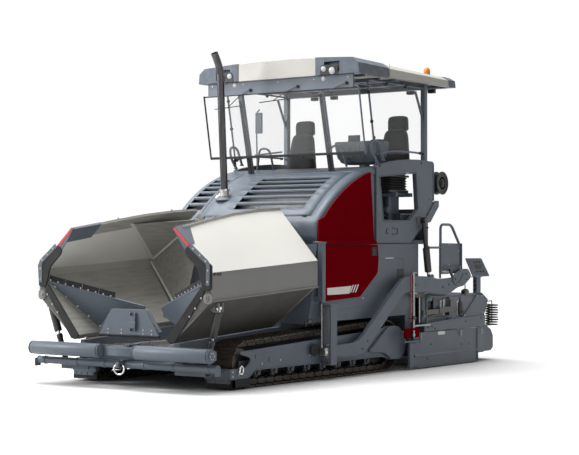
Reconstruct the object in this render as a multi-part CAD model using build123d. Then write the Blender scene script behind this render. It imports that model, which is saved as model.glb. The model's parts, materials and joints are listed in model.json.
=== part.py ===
"""Tracked asphalt paver: two-wing hopper, crawler tractor, roofed operator station, tow arms and screed.

Millimetres, +Z up.  +X is the machine's left side and +Y runs from the hopper to the screed.
Lengths along the machine are counted from where the track's ground contact begins; save() moves
every piece by the same amount so that the origin lies on the ground under the middle of the box.
"""

from build123d import *
from math import atan2, cos, pi, radians, sin
import os

os.makedirs("parts", exist_ok=True)

# ---------------------------------------------------------------- driving dimensions
# tracks
TRACK_OUT = 1137.0          # outer edge of a track shoe from the centre plane
TRACK_WIDTH = 335.0
IDLER_Y = -35.0             # front idler centre
IDLER_R = 265.0             # from its centre to the shoe tips
SPROCKET_Y = 2810.0
SPROCKET_R = 325.0
BAND = 85.0                 # shoe tip to the inner face of the chain
SHOE_DEPTH = 22.0           # gap between two shoes
SHOE_PITCH = 160.0
SHOE_GAP = 20.0
WHEEL_GAP = 4.0             # running gap inside the chain
BEAM_IN = TRACK_OUT - 267
BEAM_OUT = TRACK_OUT - 67
GUARD_IN = TRACK_OUT + 8
GUARD_T = 20.0
ARM_Z = 115.0               # lower edge of the front arm
ROLLER_COUNT = 8

# front
ROLLER_Y = -880.0
ROLLER_Z = 408.0
ROLLER_R = 78.0
ROLLER_OUT = 1290.0
ROLLER_IN = 270.0
BEAM_PIVOT_Y = -700.0       # the push beam swings here
BEAM_SWING = 5.0
FORK_Y = -600.0             # hopper floor and front cross member begin here
BUMPER_Y = -770.0
BUMPER_Z = 262.0
BUMPER_R = 42.0
BUMPER_OUT = 1330.0
TOW_EYE_Y = -850.0          # towing eye on the bumper
TOW_EYE_R = 22.0
TOW_EYE_T = 40.0
TIE_Y = -200.0              # lashing holes in the front arms of the track frames
TIE_Z = 174.0
TIE_R = 22.0
APRON_Y = -700.0
APRON_Z = 575.0

# hopper
WING_FRONT = -810.0
WING_REAR = 1136.0
WING_SLOPE = 0.058          # rise of the hinge line to the rear
HINGE_X = 700.0
HINGE_Z = 545.0             # at WING_FRONT
FOLD_X = 1270.0
WING_WALL = 16.0
HOPPER_REAR = 1150.0
RAIL_OUT = HINGE_X + 30
RAIL_IN = HINGE_X - 60
RAIL_DROP = 45.0            # side rail's top under the hinge line
TUNNEL = (45.0, 600.0, 400.0, 640.0)     # x in, x out, z low, z high
FLOOR_T = 30.0
SLAT_PITCH = 210.0
TIP_X = 754.0
TIP_Z = 1769.0
BAND_LOW = 993.0
BAND_TOP = 1288.0
REAR_WALL = [(1240, 1085, 1385), (645, 1020, 655), (470, 1215, 1940), (520, 1215, 1985)]
FLAP_T = 12.0
APRON_T = 14.0
CORNER_T = 10.0

# wing cylinders stand at the front corners, square to the hinge line
FOOT_Y = -615.0
WING_FOOT = (1020.0, FOOT_Y, 200.0)
WING_EYE = (1235.0, FOOT_Y - 705.0 * WING_SLOPE, 905.0)
BARREL_R = 36.0
WING_ROD_R = 18.0
BARREL_LENGTH = 372.0
EYE_R = 28.0
EYE_T = 36.0
PIN_R = 14.0
PIN_GAP = 0.3
MOVE_GAP = 8.0
EYE_DRIFT = 17.0            # play of a rod's pin in its bracket

# tractor body
FLANK = 1130.0              # outer face of the side walls
FLANK_T = 20.0
BULKHEAD_Y = 1330.0
STATION_Y = 2620.0          # front wall of the operator station
STATION_END = STATION_Y + 1365
BODY_REAR = STATION_Y + 1000
DECK_Z = 1600.0
DECK_T = 40.0
BAY_FLOOR = 700.0
HOOD_T = 25.0
DOOR_OUT = 1200.0
DOOR_T = 35.0
DOOR_FRONT = 1350.0
DOOR_TOP = 1585.0
DOOR_HINGE_Y = 1340.0
DOOR_HINGE_X = 1188.0
DOOR_WINDOW = [(1400, 975), (2130, 985), (2480, 1235), (2500, 1413), (2490, 1560), (1400, 1560)]
HOOD_START = (BULKHEAD_Y, 1840.0)
HOOD_MID = (1850.0, 2272.0)
HOOD_END = (STATION_Y, 2556.0)
SLOTS = 6
HOOD_FLATS = 12
GRILLES = [(-250.0, 800.0), (-1080.0, -760.0)]       # x from, x to
GRILLE_Y = (1505.0, 2165.0)
EXHAUST = (-540.0, 1700.0)
SIDE_IN = 1060.0
POST_Y = STATION_Y + 1160
POST_X = 625.0
SEAT_X = 745.0
SEAT_Y = STATION_Y + 860
SEAT_Z = 2580.0             # top of the cushion

# levelling rod and guides ahead of the side door
ROD_X = 1225.0
ROD_Y = 1285.0
ROD_R = 16.0
POST_WIDE = 66.0            # the box post around the rod
POST_Z = (915.0, 1598.0)
GUIDE_Y = (1350.0, 1480.0)
GUIDE_Z = (175.0, 883.0)
GUIDE_IN = (1192.0, 1212.0)
GUIDE_OUT = (1290.0, 1310.0)

# roof
ROOF_FRONT = 2060.0
ROOF_REAR = 4390.0
ROOF_HALF = 1235.0
ROOF_LOW = 3665.0           # eaves
ROOF_RISE = 227.0           # crown above the eaves at the front
ROOF_SHOULDER = 185.0
ROOF_FALL = 57.0            # the crown's drop to the rear
ROOF_T = 35.0
CAP_X = 600.0
CAP_REAR = 2750.0
CAP_PROUD = 8.0

# screed
ARM_IN = 1225.0
ARM_T = 60.0
TOW_Y = 1425.0
TOW_Z = 335.0
PIVOT_R = 34.0
PLATE_OUT = 1275.0
PLATE_T = 20.0
END_FRONT = 3260.0
END_REAR = 4930.0
SCREED_FRONT = 3720.0
MAIN_REAR = 4230.0
EXT_REAR = 5519.0
LIFT_X = 1180.0             # lifting cylinders
LIFT_TOP = (STATION_Y + 1050, 1900.0)
LIFT_EYE = (3800.0, 1150.0)
LIFT_R = 40.0
LIFT_BARREL = 415.0
LIFT_ROD_R = 22.0
AUGER_Y = 3400.0
AUGER_Z = 430.0
AUGER_R = 170.0
TONGUE = (1236.0, 1266.0)   # the arm's eye between the two sliding blocks
RAISE = 7.0                 # degrees the arms swing up
SHAFT_R = 40.0
FLIGHT_T = 16.0
AUGER_IN = 60.0
AUGER_OUT = 1080.0
FLIGHT_PITCH = 300.0
TUBE_R = 44.0
TUBE_Y = 4298.0
TUBE_LEFT_Z = 570.0
TUBE_RIGHT_Z = 420.0
TUBE_OUT = 1236.0
TUBE_IN = -1090.0
SLEEVES = [(150.0, 300.0), (850.0, 1000.0)]
SCREED_LOW = 120.0
MAIN_HALF = 1190.0

FRONT_END = ROLLER_Y - ROLLER_R
REAR_END = EXT_REAR
MID_Y = (FRONT_END + REAR_END) / 2


# ---------------------------------------------------------------- helpers
def box(x0, x1, y0, y1, z0, z1):
    """Block between two corners."""
    centre = ((x0 + x1) / 2, (y0 + y1) / 2, (z0 + z1) / 2)
    return Pos(*centre) * Box(abs(x1 - x0), abs(y1 - y0), abs(z1 - z0))


def side_outline(points, radii=None):
    """Face in the plane X = 0 from (y, z) corners; radii rounds them in the same order."""
    corners = [(0, y, z) for y, z in points]
    if radii is None:
        return make_face(Polyline(*corners, close=True))
    return make_face(FilletPolyline(*corners, radius=radii, close=True))


def side_plate(points, x0, x1, radii=None):
    """Plate with a side-view outline, from x0 to x1."""
    return Pos(x0, 0, 0) * extrude(side_outline(points, radii), amount=x1 - x0, dir=(1, 0, 0))


def front_plate(points, y0, y1, radii=None):
    """Plate with a front-view outline of (x, z) corners, from y0 to y1."""
    corners = [(x, 0, z) for x, z in points]
    if radii is None:
        face = make_face(Polyline(*corners, close=True))
    else:
        face = make_face(FilletPolyline(*corners, radius=radii, close=True))
    return Pos(0, y0, 0) * extrude(face, amount=y1 - y0, dir=(0, 1, 0))


def flats(radius):
    """Number of flats that stand for a round of this radius."""
    return 8 if radius < 32 else 10 if radius < 60 else 16


def rod(start, end, radius, sides=0):
    """Round bar of even flats between two points, its corners on the radius."""
    axis = Vector(*end) - Vector(*start)
    profile = Plane(origin=start, z_dir=axis) * RegularPolygon(radius, sides or flats(radius))
    return extrude(profile, amount=axis.length)


def hole(start, end, radius, sides=0):
    """Cutter between two points, its flats on the radius."""
    sides = sides or flats(radius)
    return rod(start, end, radius / cos(pi / sides), sides)


def x_rod(x0, x1, y, z, radius, sides=0):
    """Round bar of even flats along X."""
    return rod((min(x0, x1), y, z), (max(x0, x1), y, z), radius, sides)


def x_hole(x0, x1, y, z, radius, sides=0):
    """Cutter of even flats along X."""
    return hole((min(x0, x1), y, z), (max(x0, x1), y, z), radius, sides)


def x_bore(x0, x1, y, z, radius):
    """True round bore along X."""
    return Pos((x0 + x1) / 2, y, z) * Rot(0, 90, 0) * Cylinder(radius, abs(x1 - x0))


def upright(x, y, z0, z1, radius, sides=0):
    """Round bar of even flats along Z."""
    return rod((x, y, z0), (x, y, z1), radius, sides)


def bar(start, end, width, depth):
    """Rectangular bar between two points, its width along X."""
    axis = Vector(*end) - Vector(*start)
    place = Plane(origin=start, x_dir=(1, 0, 0), z_dir=axis)
    return place * Box(width, depth, axis.length, align=(Align.CENTER, Align.CENTER, Align.MIN))


def tube(points, radius, bend, sides=8):
    """Rail of even flats along a path, each corner cut off by bend."""
    corners = [Vector(*point) for point in points]
    path = [corners[0]]
    for before, corner, after in zip(corners, corners[1:], corners[2:]):
        path.append(corner + (before - corner).normalized() * bend)
        path.append(corner + (after - corner).normalized() * bend)
    path.append(corners[-1])
    line = Polyline(*path)
    profile = Plane(origin=line @ 0, z_dir=line % 0) * RegularPolygon(radius, sides)
    return sweep(profile, path=line, transition=Transition.RIGHT)


def flat_plate(points, thickness):
    """Plate through three corners; later corners are dropped onto its plane."""
    first, second, third = (Vector(*point) for point in points[:3])
    normal = (second - first).cross(third - first).normalized()
    corners = [Vector(*point) for point in points]
    corners = [corner - normal * (corner - first).dot(normal) for corner in corners]
    return extrude(make_face(Polyline(*corners, close=True)), amount=thickness, dir=normal)


def along(start, end, distance):
    """Point at a distance from start towards end."""
    way = (Vector(*end) - Vector(*start)).normalized()
    return tuple(Vector(*start) + way * distance)


def cross_line(point, half):
    """Two ends of a line through a point, parallel to the wing's hinge line."""
    x, y, z = point
    return (x, y - half, z - half * WING_SLOPE), (x, y + half, z + half * WING_SLOPE)


def cross_pin(point, half, radius):
    """Round bar through a point, parallel to the wing's hinge line."""
    return rod(*cross_line(point, half), radius)


def cross_hole(point, half, radius):
    """Cutter through a point, parallel to the wing's hinge line."""
    return hole(*cross_line(point, half), radius)


def both(shape):
    """The piece and its mirror image across the centre plane."""
    return [shape, mirror(shape, about=Plane.YZ)]


def join(pieces):
    """Fuse a list of pieces."""
    whole = pieces[0]
    for piece in pieces[1:]:
        whole = whole + piece
    return whole


def save(node, shape):
    """Write one node, moved so that the origin lies under the middle."""
    if isinstance(shape, list):
        solids = [solid for piece in shape for solid in piece.solids()]
    else:
        solids = list(shape.solids())
    placed = [Pos(0, -MID_Y, 0) * solid for solid in solids]
    export_step(placed[0] if len(placed) == 1 else Compound(placed), f"parts/{node}.step")


def save_pair(node, shape):
    """Write the left piece and its mirrored right twin."""
    save(f"{node}_left", shape)
    save(f"{node}_right", mirror(shape, about=Plane.YZ))


# ---------------------------------------------------------------- tracks
LEAN = atan2(SPROCKET_R - IDLER_R, SPROCKET_Y - IDLER_Y)
TOP_ANGLE = pi / 2 + 2 * LEAN


def loop_lengths():
    """Ground run, rear arc, top run and front arc of the shoe-tip loop."""
    ground = SPROCKET_Y - IDLER_Y
    rear = SPROCKET_R * (TOP_ANGLE + pi / 2)
    front = IDLER_R * (3 * pi / 2 - TOP_ANGLE)
    return ground, rear, ground, front


def loop_point(distance, depth):
    """Point of the loop at a distance along it and a depth under the shoe tips."""
    ground, rear, top, front = loop_lengths()
    distance = distance % (ground + rear + top + front)
    if distance < ground:
        return IDLER_Y + distance, depth
    distance -= ground
    if distance < rear:
        angle = -pi / 2 + distance / SPROCKET_R
        radius = SPROCKET_R - depth
        return SPROCKET_Y + radius * cos(angle), SPROCKET_R + radius * sin(angle)
    distance -= rear
    if distance < top:
        share = distance / top
        radius = SPROCKET_R + (IDLER_R - SPROCKET_R) * share - depth
        y = SPROCKET_Y + (IDLER_Y - SPROCKET_Y) * share
        z = SPROCKET_R + (IDLER_R - SPROCKET_R) * share
        return y + radius * cos(TOP_ANGLE), z + radius * sin(TOP_ANGLE)
    distance -= top
    angle = TOP_ANGLE + distance / IDLER_R
    radius = IDLER_R - depth
    return IDLER_Y + radius * cos(angle), IDLER_R + radius * sin(angle)


def inner_loop():
    """Outline of the chain's inner face, two arcs and two runs."""
    front, rear = IDLER_R - BAND, SPROCKET_R - BAND

    def on(y, z, radius, angle):
        return (0, y + radius * cos(angle), z + radius * sin(angle))

    rear_points = [on(SPROCKET_Y, SPROCKET_R, rear, a) for a in (-pi / 2, LEAN, TOP_ANGLE)]
    front_points = [on(IDLER_Y, IDLER_R, front, a) for a in (TOP_ANGLE, LEAN + pi, 3 * pi / 2)]
    edges = [
        Line(front_points[2], rear_points[0]),
        ThreePointArc(*rear_points),
        Line(rear_points[2], front_points[0]),
        ThreePointArc(*front_points),
    ]
    return make_face(Wire([edge.edge() for edge in edges]))


def track():
    """One endless track, its shoes standing out of the outline."""
    length = sum(loop_lengths())
    count = round(length / SHOE_PITCH)
    pitch = length / count
    outline = []
    for shoe in range(count):
        start = shoe * pitch + SHOE_GAP / 2
        end = (shoe + 1) * pitch - SHOE_GAP / 2
        outline += [loop_point(start, SHOE_DEPTH), loop_point(start, 0)]
        outline += [loop_point(end, 0), loop_point(end, SHOE_DEPTH)]
    face = side_outline(outline) - inner_loop()
    return Pos(TRACK_OUT - TRACK_WIDTH, 0, 0) * extrude(face, amount=TRACK_WIDTH, dir=(1, 0, 0))


save_pair("track", track())

# ---------------------------------------------------------------- track frames
def track_frame():
    """Side beam, rollers, idler, sprocket, outer plate and sprocket guard."""
    idler = IDLER_R - BAND - WHEEL_GAP
    sprocket = SPROCKET_R - BAND - WHEEL_GAP
    pieces = [
        side_plate([(150, 235), (2560, 235), (2560, 400), (150, 400)], BEAM_IN, BEAM_OUT),
        x_rod(BEAM_IN + 30, BEAM_OUT - 30, IDLER_Y, IDLER_R, idler),
        x_rod(BEAM_IN + 30, BEAM_OUT - 30, SPROCKET_Y, SPROCKET_R, sprocket),
        x_rod(BEAM_IN - 140, BEAM_OUT, SPROCKET_Y, SPROCKET_R, 150, 12),
        x_rod(BEAM_IN, BEAM_OUT, IDLER_Y, IDLER_R, 45, 8),
    ]
    for x0, x1 in ((BEAM_IN, BEAM_IN + 26), (BEAM_OUT - 26, BEAM_OUT)):
        pieces.append(box(x0, x1, IDLER_Y - 50, 160, IDLER_R - 35, IDLER_R + 35))
        pieces.append(box(x0, x1, 2550, SPROCKET_Y, SPROCKET_R - 60, SPROCKET_R + 60))
    roller = 60.0
    centre = BAND + roller + WHEEL_GAP
    for step in range(ROLLER_COUNT):
        y = 250 + step * (SPROCKET_Y - 560) / (ROLLER_COUNT - 1)
        pieces.append(x_rod(BEAM_IN + 10, BEAM_OUT - 10, y, centre, roller, 8))
    for x0, x1 in ((BEAM_IN, BEAM_IN + 20), (BEAM_OUT - 20, BEAM_OUT)):
        pieces.append(box(x0, x1, 210, SPROCKET_Y - 270, centre + roller - 20, 240))
    plate = [
        (-370, ARM_Z), (-10, ARM_Z), (75, 205), (1410, 190), (2720, 190), (2850, 145),
        (3100, 144), (3210, 263), (3160, 459), (3050, 561), (2800, 571), (2640, 530),
        (1410, 484), (-190, 415), (-190, 385), (20, 330), (-80, 232), (-370, 232),
    ]
    guard = [
        (2340, 273), (2720, 237), (2850, 145), (3100, 144), (3210, 263), (3160, 459),
        (3050, 561), (2800, 571),
    ]
    bore = x_bore(GUARD_IN - 1, GUARD_IN + GUARD_T + 1, TIE_Y, TIE_Z, TIE_R)
    pieces.append(side_plate(plate, GUARD_IN, GUARD_IN + GUARD_T) - bore)
    pieces.append(side_plate(guard, GUARD_IN + GUARD_T, GUARD_IN + GUARD_T + 34))
    pieces.append(box(TRACK_OUT - TRACK_WIDTH, GUARD_IN, -370, -310, ARM_Z, 232))
    for y in (420, 1240, 2060):
        pieces.append(box(BEAM_OUT, GUARD_IN, y - 60, y + 60, 250, 385))
    return join(pieces)


save_pair("track_frame", track_frame())


def deflector():
    """Rubber block that clears the ground in front of a track, with its outer skirt."""
    front = box(TRACK_OUT - TRACK_WIDTH, GUARD_IN + 27, -352, -285, 25, ARM_Z)
    return front + box(GUARD_IN + 3, GUARD_IN + 27, -352, -15, 25, ARM_Z)


save("deflectors", both(deflector()))

# ---------------------------------------------------------------- chassis
def hinge_z(y):
    """Height of the wing's hinge line."""
    return HINGE_Z + (y - WING_FRONT) * WING_SLOPE


def chassis():
    """Main box between the tracks, hopper rails, engine bay walls and rear body."""
    core = box(-RAIL_OUT, RAIL_OUT, -300, 3050, 260, BAY_FLOOR)
    hopper_room = side_plate(
        [(-310, 400), (HOPPER_REAR, 400), (HOPPER_REAR, BAY_FLOOR + 10), (-310, BAY_FLOOR + 10)],
        -RAIL_OUT - 1, RAIL_OUT + 1,
    )
    core -= hopper_room
    rail = side_plate(
        [(-700, 330), (-300, 260), (HOPPER_REAR, 260), (HOPPER_REAR, hinge_z(HOPPER_REAR) - RAIL_DROP),
         (-700, hinge_z(-700) - RAIL_DROP)],
        RAIL_IN, RAIL_OUT,
    )
    pieces = [core] + both(rail)
    pieces.append(box(-RAIL_OUT, RAIL_OUT, FORK_Y, FORK_Y + 40, 290, 400))
    pieces.append(box(-160, 160, FORK_Y, -290, 290, 390))
    for z0, z1 in ((ROLLER_Z - 72, ROLLER_Z - 52), (ROLLER_Z + 52, ROLLER_Z + 72)):
        pieces.append(box(-120, 120, BEAM_PIVOT_Y - 50, FORK_Y + 40, z0, z1))
    pieces.append(box(-120, 120, FORK_Y, FORK_Y + 40, ROLLER_Z - 72, ROLLER_Z + 72))
    pieces.append(upright(0, BEAM_PIVOT_Y, ROLLER_Z - 70, ROLLER_Z + 70, 25))
    cheek = [(RAIL_IN, 345), (RAIL_OUT, 345), (RAIL_OUT + 20, 245), (1055, 245), (1055, 165), (RAIL_IN, 165)]
    for y in (FOOT_Y - BARREL_R - MOVE_GAP - 16, FOOT_Y + BARREL_R + MOVE_GAP):
        pieces += both(front_plate(cheek, y, y + 16))
    pieces += both(cross_pin(WING_FOOT, BARREL_R + MOVE_GAP + 14, PIN_R))
    flank = side_plate(
        [(HOPPER_REAR, BAY_FLOOR - 30), (STATION_Y + 680, BAY_FLOOR - 10), (BODY_REAR, 1000),
         (BODY_REAR, DECK_Z - 10), (BULKHEAD_Y, DECK_Z - 10)],
        FLANK - FLANK_T, FLANK,
    )
    flank -= side_plate(DOOR_WINDOW, FLANK - FLANK_T - 1, FLANK + 1)
    pieces += both(flank)
    inner = FLANK - FLANK_T
    pieces.append(side_plate(
        [(HOPPER_REAR, BAY_FLOOR - 40), (BULKHEAD_Y, BAY_FLOOR - 40), (BULKHEAD_Y, DECK_Z - 10)],
        -inner, inner,
    ))
    pieces.append(box(-inner, inner, BULKHEAD_Y, STATION_Y, BAY_FLOOR - 10, BAY_FLOOR + 20))
    pieces.append(side_plate(
        [(STATION_Y, BAY_FLOOR - 10), (STATION_Y + 680, BAY_FLOOR - 10), (BODY_REAR, 1000),
         (BODY_REAR, DECK_Z - 10), (STATION_Y, DECK_Z - 10)],
        -inner, inner,
    ))
    whole = join(pieces)
    x0, x1, z0, z1 = TUNNEL
    for tunnel in both(box(x0, x1, -900, 3400, z0, z1)):
        whole -= tunnel
    return whole


def front_post():
    """Post ahead of the side door; the levelling cylinder's rod runs up inside it."""
    low, high = POST_Z
    half = POST_WIDE / 2
    y0, y1 = ROD_Y - half, ROD_Y + half
    post = box(ROD_X - half, ROD_X + half, y0, y1, low, high)
    post += box(FLANK, ROD_X + half + 8, y0 - 8, y1 + 8, high, high + 12)
    post += box(FLANK, ROD_X - half, y0 + 10, y1 - 10, low, low + 70)
    return post - hole((ROD_X, ROD_Y, low - 15), (ROD_X, ROD_Y, high - 135), ROD_R + 1)


def tow_guide():
    """Two upright cheeks with a foot and a cap; the tow point slides between them."""
    y0, y1 = GUIDE_Y
    z0, z1 = GUIDE_Z
    pieces = [
        box(*GUIDE_IN, y0, y1, z0, z1),
        box(*GUIDE_OUT, y0, y1, z0, z1),
        box(GUIDE_IN[0], GUIDE_OUT[1], y0, y1, z0, z0 + 25),
        box(GUIDE_IN[0], GUIDE_OUT[1], y0, y1, z1 - 25, z1),
        box(GUARD_IN + GUARD_T, GUIDE_IN[0], y0, y1, 230, 440),
        box(FLANK, GUIDE_IN[0], y0, y1, 760, z1),
    ]
    return join(pieces)


save("chassis", chassis())
save("levelling_guides", both(front_post()) + both(tow_guide()))

# ---------------------------------------------------------------- conveyor floor
def conveyor_floor():
    """Hopper floor between the rails with the conveyor's cross bars on it."""
    z0 = TUNNEL[2]
    deck = box(-RAIL_IN, RAIL_IN, FORK_Y + 41, HOPPER_REAR, z0, z0 + FLOOR_T)
    bars = []
    count = int((HOPPER_REAR + 530) / SLAT_PITCH)
    for step in range(count):
        y = -530 + step * SLAT_PITCH
        bars += both(box(60, 570, y, y + 40, z0 + FLOOR_T - 1, z0 + FLOOR_T + 22))
    ridge = box(-30, 30, FORK_Y + 41, HOPPER_REAR, z0 + FLOOR_T - 1, z0 + FLOOR_T + 60)
    return join([deck, ridge] + bars)


save("conveyor_floor", conveyor_floor())

# ---------------------------------------------------------------- hopper wings
def wing():
    """Hollow floor wedge, upright band and inward-leaning wall along the sloping hinge line."""
    length = WING_REAR + 260 - WING_FRONT
    lean = (TIP_Z - BAND_TOP) / (FOLD_X - TIP_X)
    reach = 860.0            # the wall runs on to here and is cut by the side outline
    top_x = FOLD_X - reach
    top_z = BAND_TOP + reach * lean
    size = (1 + lean * lean) ** 0.5
    step_x, step_z = -lean / size * WING_WALL, -1 / size * WING_WALL
    section = [
        (HINGE_X - 40, HINGE_Z - 18), (HINGE_X + 25, HINGE_Z - 25), (FOLD_X, BAND_LOW), (FOLD_X, BAND_TOP),
        (top_x, top_z), (top_x + step_x, top_z + step_z), (FOLD_X - 34, BAND_TOP - 14),
        (HINGE_X - 52, HINGE_Z + 22),
    ]
    face = make_face(Polyline(*[(x, WING_FRONT, z) for x, z in section], close=True))
    prism = extrude(face, amount=length * (1 + WING_SLOPE ** 2) ** 0.5, dir=(0, 1, WING_SLOPE))
    keep_side = make_face(Wire([edge.edge() for edge in (
        Line((0, WING_FRONT, 400), (0, 985, 400)),
        Line((0, 985, 400), (0, WING_REAR, 1100)),
        Line((0, WING_REAR, 1100), (0, WING_REAR, 1400)),
        Line((0, WING_REAR, 1400), (0, 1315, 2032)),
        ThreePointArc((0, 1315, 2032), (0, 320, 1950), (0, -560, 1806)),
        Line((0, -560, 1806), (0, WING_FRONT, TIP_Z)),
        Line((0, WING_FRONT, TIP_Z), (0, WING_FRONT, 400)),
    )]))
    prism = prism & extrude(keep_side, amount=1500, dir=(1, 0, 0))
    knuckles = rod(
        (HINGE_X, WING_FRONT + 4, hinge_z(WING_FRONT + 4)), (HINGE_X, 970, hinge_z(970)), 30, 10
    )
    rear = flat_plate(REAR_WALL, 12)
    x, y, z = WING_EYE
    cheek = front_plate([(x - 95, z - 15), (x - 38, z - 45), (x + 30, z - 45), (x + 35, z + 75)], 0, 14)
    cheek -= hole((x, -5, z), (x, 25, z), PIN_R + EYE_DRIFT)
    pieces = [prism, rear, knuckles]
    for offset in (-EYE_T / 2 - MOVE_GAP - 14, EYE_T / 2 + MOVE_GAP):
        pieces.append(Pos(0, y + offset, 0) * cheek)
    return join(pieces)


def wing_flap():
    """Rubber along the front edge of a wing: corner flap, lower strip and the apron's top lip."""
    y1 = WING_FRONT
    y0 = WING_FRONT - FLAP_T
    corner = front_plate(
        [(1278, 1384), (968, 1603), (895, 1530), (925, 1480), (1115, 1330), (1150, 1150), (1195, 1080),
         (1262, 1110)], y0, y1
    )
    strip = front_plate(
        [(1245, 1110), (1150, 1115), (HINGE_X - 70, HINGE_Z + 5), (HINGE_X + 30, HINGE_Z - 50)], y0, y1
    )
    return corner + strip


def wing_apron():
    """Plate that rises from a wing's floor and closes the hopper's front corner."""
    return flat_plate(
        [(135, -275, 875), (1150, -800, 1160), (660, -385, 585), (560, -380, 590), (150, -290, 765)], APRON_T
    ) - wing()


def wing_lip():
    """Rubber strip standing on the outer part of the apron's top edge."""
    strip = [(1120, -792, 1158), (560, -518, 1008), (520, -490, 1085), (1150, -790, 1250)]
    return flat_plate(strip, 10) - wing()


def wing_corner():
    """Folded steel corner on the wall's front tip."""
    x_tip, z_tip = TIP_X, TIP_Z
    outer = flat_plate(
        [(x_tip, WING_FRONT, z_tip), (968, WING_FRONT, 1569), (965, -765, 1573), (800, -730, 1730),
         (757, -410, 1789)], CORNER_T
    )
    return outer


plates = [wing_apron(), wing_corner() - wing()]
rubbers = [wing_flap() - plates[0] - plates[1], wing_lip() - plates[0]]
save("wing_flap_left", rubbers)
save("wing_flap_right", [mirror(piece, about=Plane.YZ) for piece in rubbers])
save("wing_apron_left", plates)
save("wing_apron_right", [mirror(piece, about=Plane.YZ) for piece in plates])


def wing_barrel():
    """Cylinder barrel with its foot eye, bored for the rod."""
    body = rod(WING_FOOT, along(WING_FOOT, WING_EYE, BARREL_LENGTH), BARREL_R)
    body += cross_pin(WING_FOOT, BARREL_R, BARREL_R - 2)
    body -= cross_hole(WING_FOOT, 80, PIN_R + PIN_GAP)
    return body - hole(along(WING_FOOT, WING_EYE, 30), along(WING_FOOT, WING_EYE, 600), WING_ROD_R + 1)


def wing_rod():
    """Rod with its eye and pin."""
    body = rod(along(WING_FOOT, WING_EYE, 335), WING_EYE, WING_ROD_R)
    body += cross_pin(WING_EYE, EYE_T / 2, EYE_R)
    return body + cross_pin(WING_EYE, EYE_T / 2 + MOVE_GAP + 12, PIN_R)


save_pair("hopper_wing", wing())
save_pair("wing_barrel", wing_barrel())
save_pair("wing_rod", wing_rod())

# ---------------------------------------------------------------- front apron
def front_apron():
    """Centre flap with a turned-back rim, two straps and the hinge tube along its lower edge."""
    low, high, wide, narrow = APRON_Z, 870.0, 450.0, 255.0
    outline = [(-wide, low), (wide, low), (narrow, high), (-narrow, high)]
    inner = [(-wide + 14, low - 20), (wide - 14, low - 20), (narrow - 8, high - 12), (8 - narrow, high - 12)]
    face = front_plate(outline, APRON_Y - 10, APRON_Y)
    rim = front_plate(outline, APRON_Y - 10, APRON_Y + 48) - front_plate(inner, APRON_Y - 20, APRON_Y + 60)
    rim = rim & box(-wide, wide, APRON_Y - 20, APRON_Y + 60, low + 40, high)
    pieces = [face, rim, x_rod(-wide, wide, APRON_Y, low, 16)]
    for x in (40, 110):
        pieces.append(side_plate([(-732, 640), (-732, 830), (-709, 850), (-709, 620)], x, x + 30))
    return join(pieces)


save("front_apron", front_apron())

# ---------------------------------------------------------------- push rollers
def push_beam():
    """Bowed beam on a centre pivot with the rollers' end brackets."""
    half = 45.0
    low, high = ROLLER_Z - half, ROLLER_Z + half
    spine = box(-ROLLER_OUT - 20, ROLLER_OUT + 20, -797, -787, low, high)
    centre = box(-ROLLER_IN + 20, ROLLER_IN - 20, -905, -790, low, high)
    tongue = box(-80, 80, -791, BEAM_PIVOT_Y, low, high)
    tongue += upright(0, BEAM_PIVOT_Y, low, high, 80, 16)
    tongue -= hole((0, BEAM_PIVOT_Y, low - 5), (0, BEAM_PIVOT_Y, high + 5), 25 + PIN_GAP)
    pieces = [spine, centre, tongue]
    for x0, x1 in ((ROLLER_IN - 20, ROLLER_IN - 5), (ROLLER_OUT + 5, ROLLER_OUT + 20)):
        cheek = box(x0, x1, ROLLER_Y, -787, low, high)
        pieces += both(cheek + x_rod(x0, x1, ROLLER_Y, ROLLER_Z, ROLLER_R - 2, 16))
    beam = join(pieces)
    for shaft in both(x_hole(ROLLER_IN - 30, ROLLER_OUT + 30, ROLLER_Y, ROLLER_Z, 25 + PIN_GAP)):
        beam -= shaft
    return beam


def push_roller():
    """Steel roller with its stub shafts."""
    drum = x_rod(ROLLER_IN + 3, ROLLER_OUT - 3, ROLLER_Y, ROLLER_Z, ROLLER_R)
    return drum + x_rod(ROLLER_IN - 18, ROLLER_OUT + 18, ROLLER_Y, ROLLER_Z, 25)


save("push_beam", push_beam())
save_pair("push_roller", push_roller())


def bumper_tube():
    """Lower cross tube on two arms with the towing eye."""
    pieces = [x_rod(-BUMPER_OUT, BUMPER_OUT, BUMPER_Y, BUMPER_Z, BUMPER_R)]
    for x in (720, 1210):
        pieces += both(x_rod(x, x + 30, BUMPER_Y, BUMPER_Z, BUMPER_R + 8))
    pieces += both(box(540, 610, BUMPER_Y, FORK_Y, 230, 305))
    pieces.append(box(-TOW_EYE_T / 2, TOW_EYE_T / 2, TOW_EYE_Y - 50, BUMPER_Y, BUMPER_Z - 38, BUMPER_Z + 38))
    return join(pieces) - x_bore(-50, 50, TOW_EYE_Y, BUMPER_Z, TOW_EYE_R)


save("bumper_tube", bumper_tube())

# ---------------------------------------------------------------- hood and side panels
def arc_points(start, middle, end, count):
    """Points on the arc through three (y, z) points, count steps from start to end."""
    arc = ThreePointArc(*[(0, y, z) for y, z in (start, middle, end)])
    return [((arc @ (step / count)).Y, (arc @ (step / count)).Z) for step in range(count + 1)]


def hood_curve(depth):
    """Hood's side-view curve, a depth inside its skin."""
    start = (HOOD_START[0] + depth, HOOD_START[1] - 0.6 * depth)
    middle = (HOOD_MID[0] + 0.56 * depth, HOOD_MID[1] - 0.83 * depth)
    return arc_points(start, middle, (HOOD_END[0], HOOD_END[1] - depth), HOOD_FLATS)


def hood_face():
    """Cross-section of the hood's skin."""
    outer, inner = hood_curve(0), hood_curve(HOOD_T)
    low = DECK_Z - 10
    return side_outline([(outer[0][0], low)] + outer + inner[::-1] + [(inner[0][0], low)])


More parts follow.
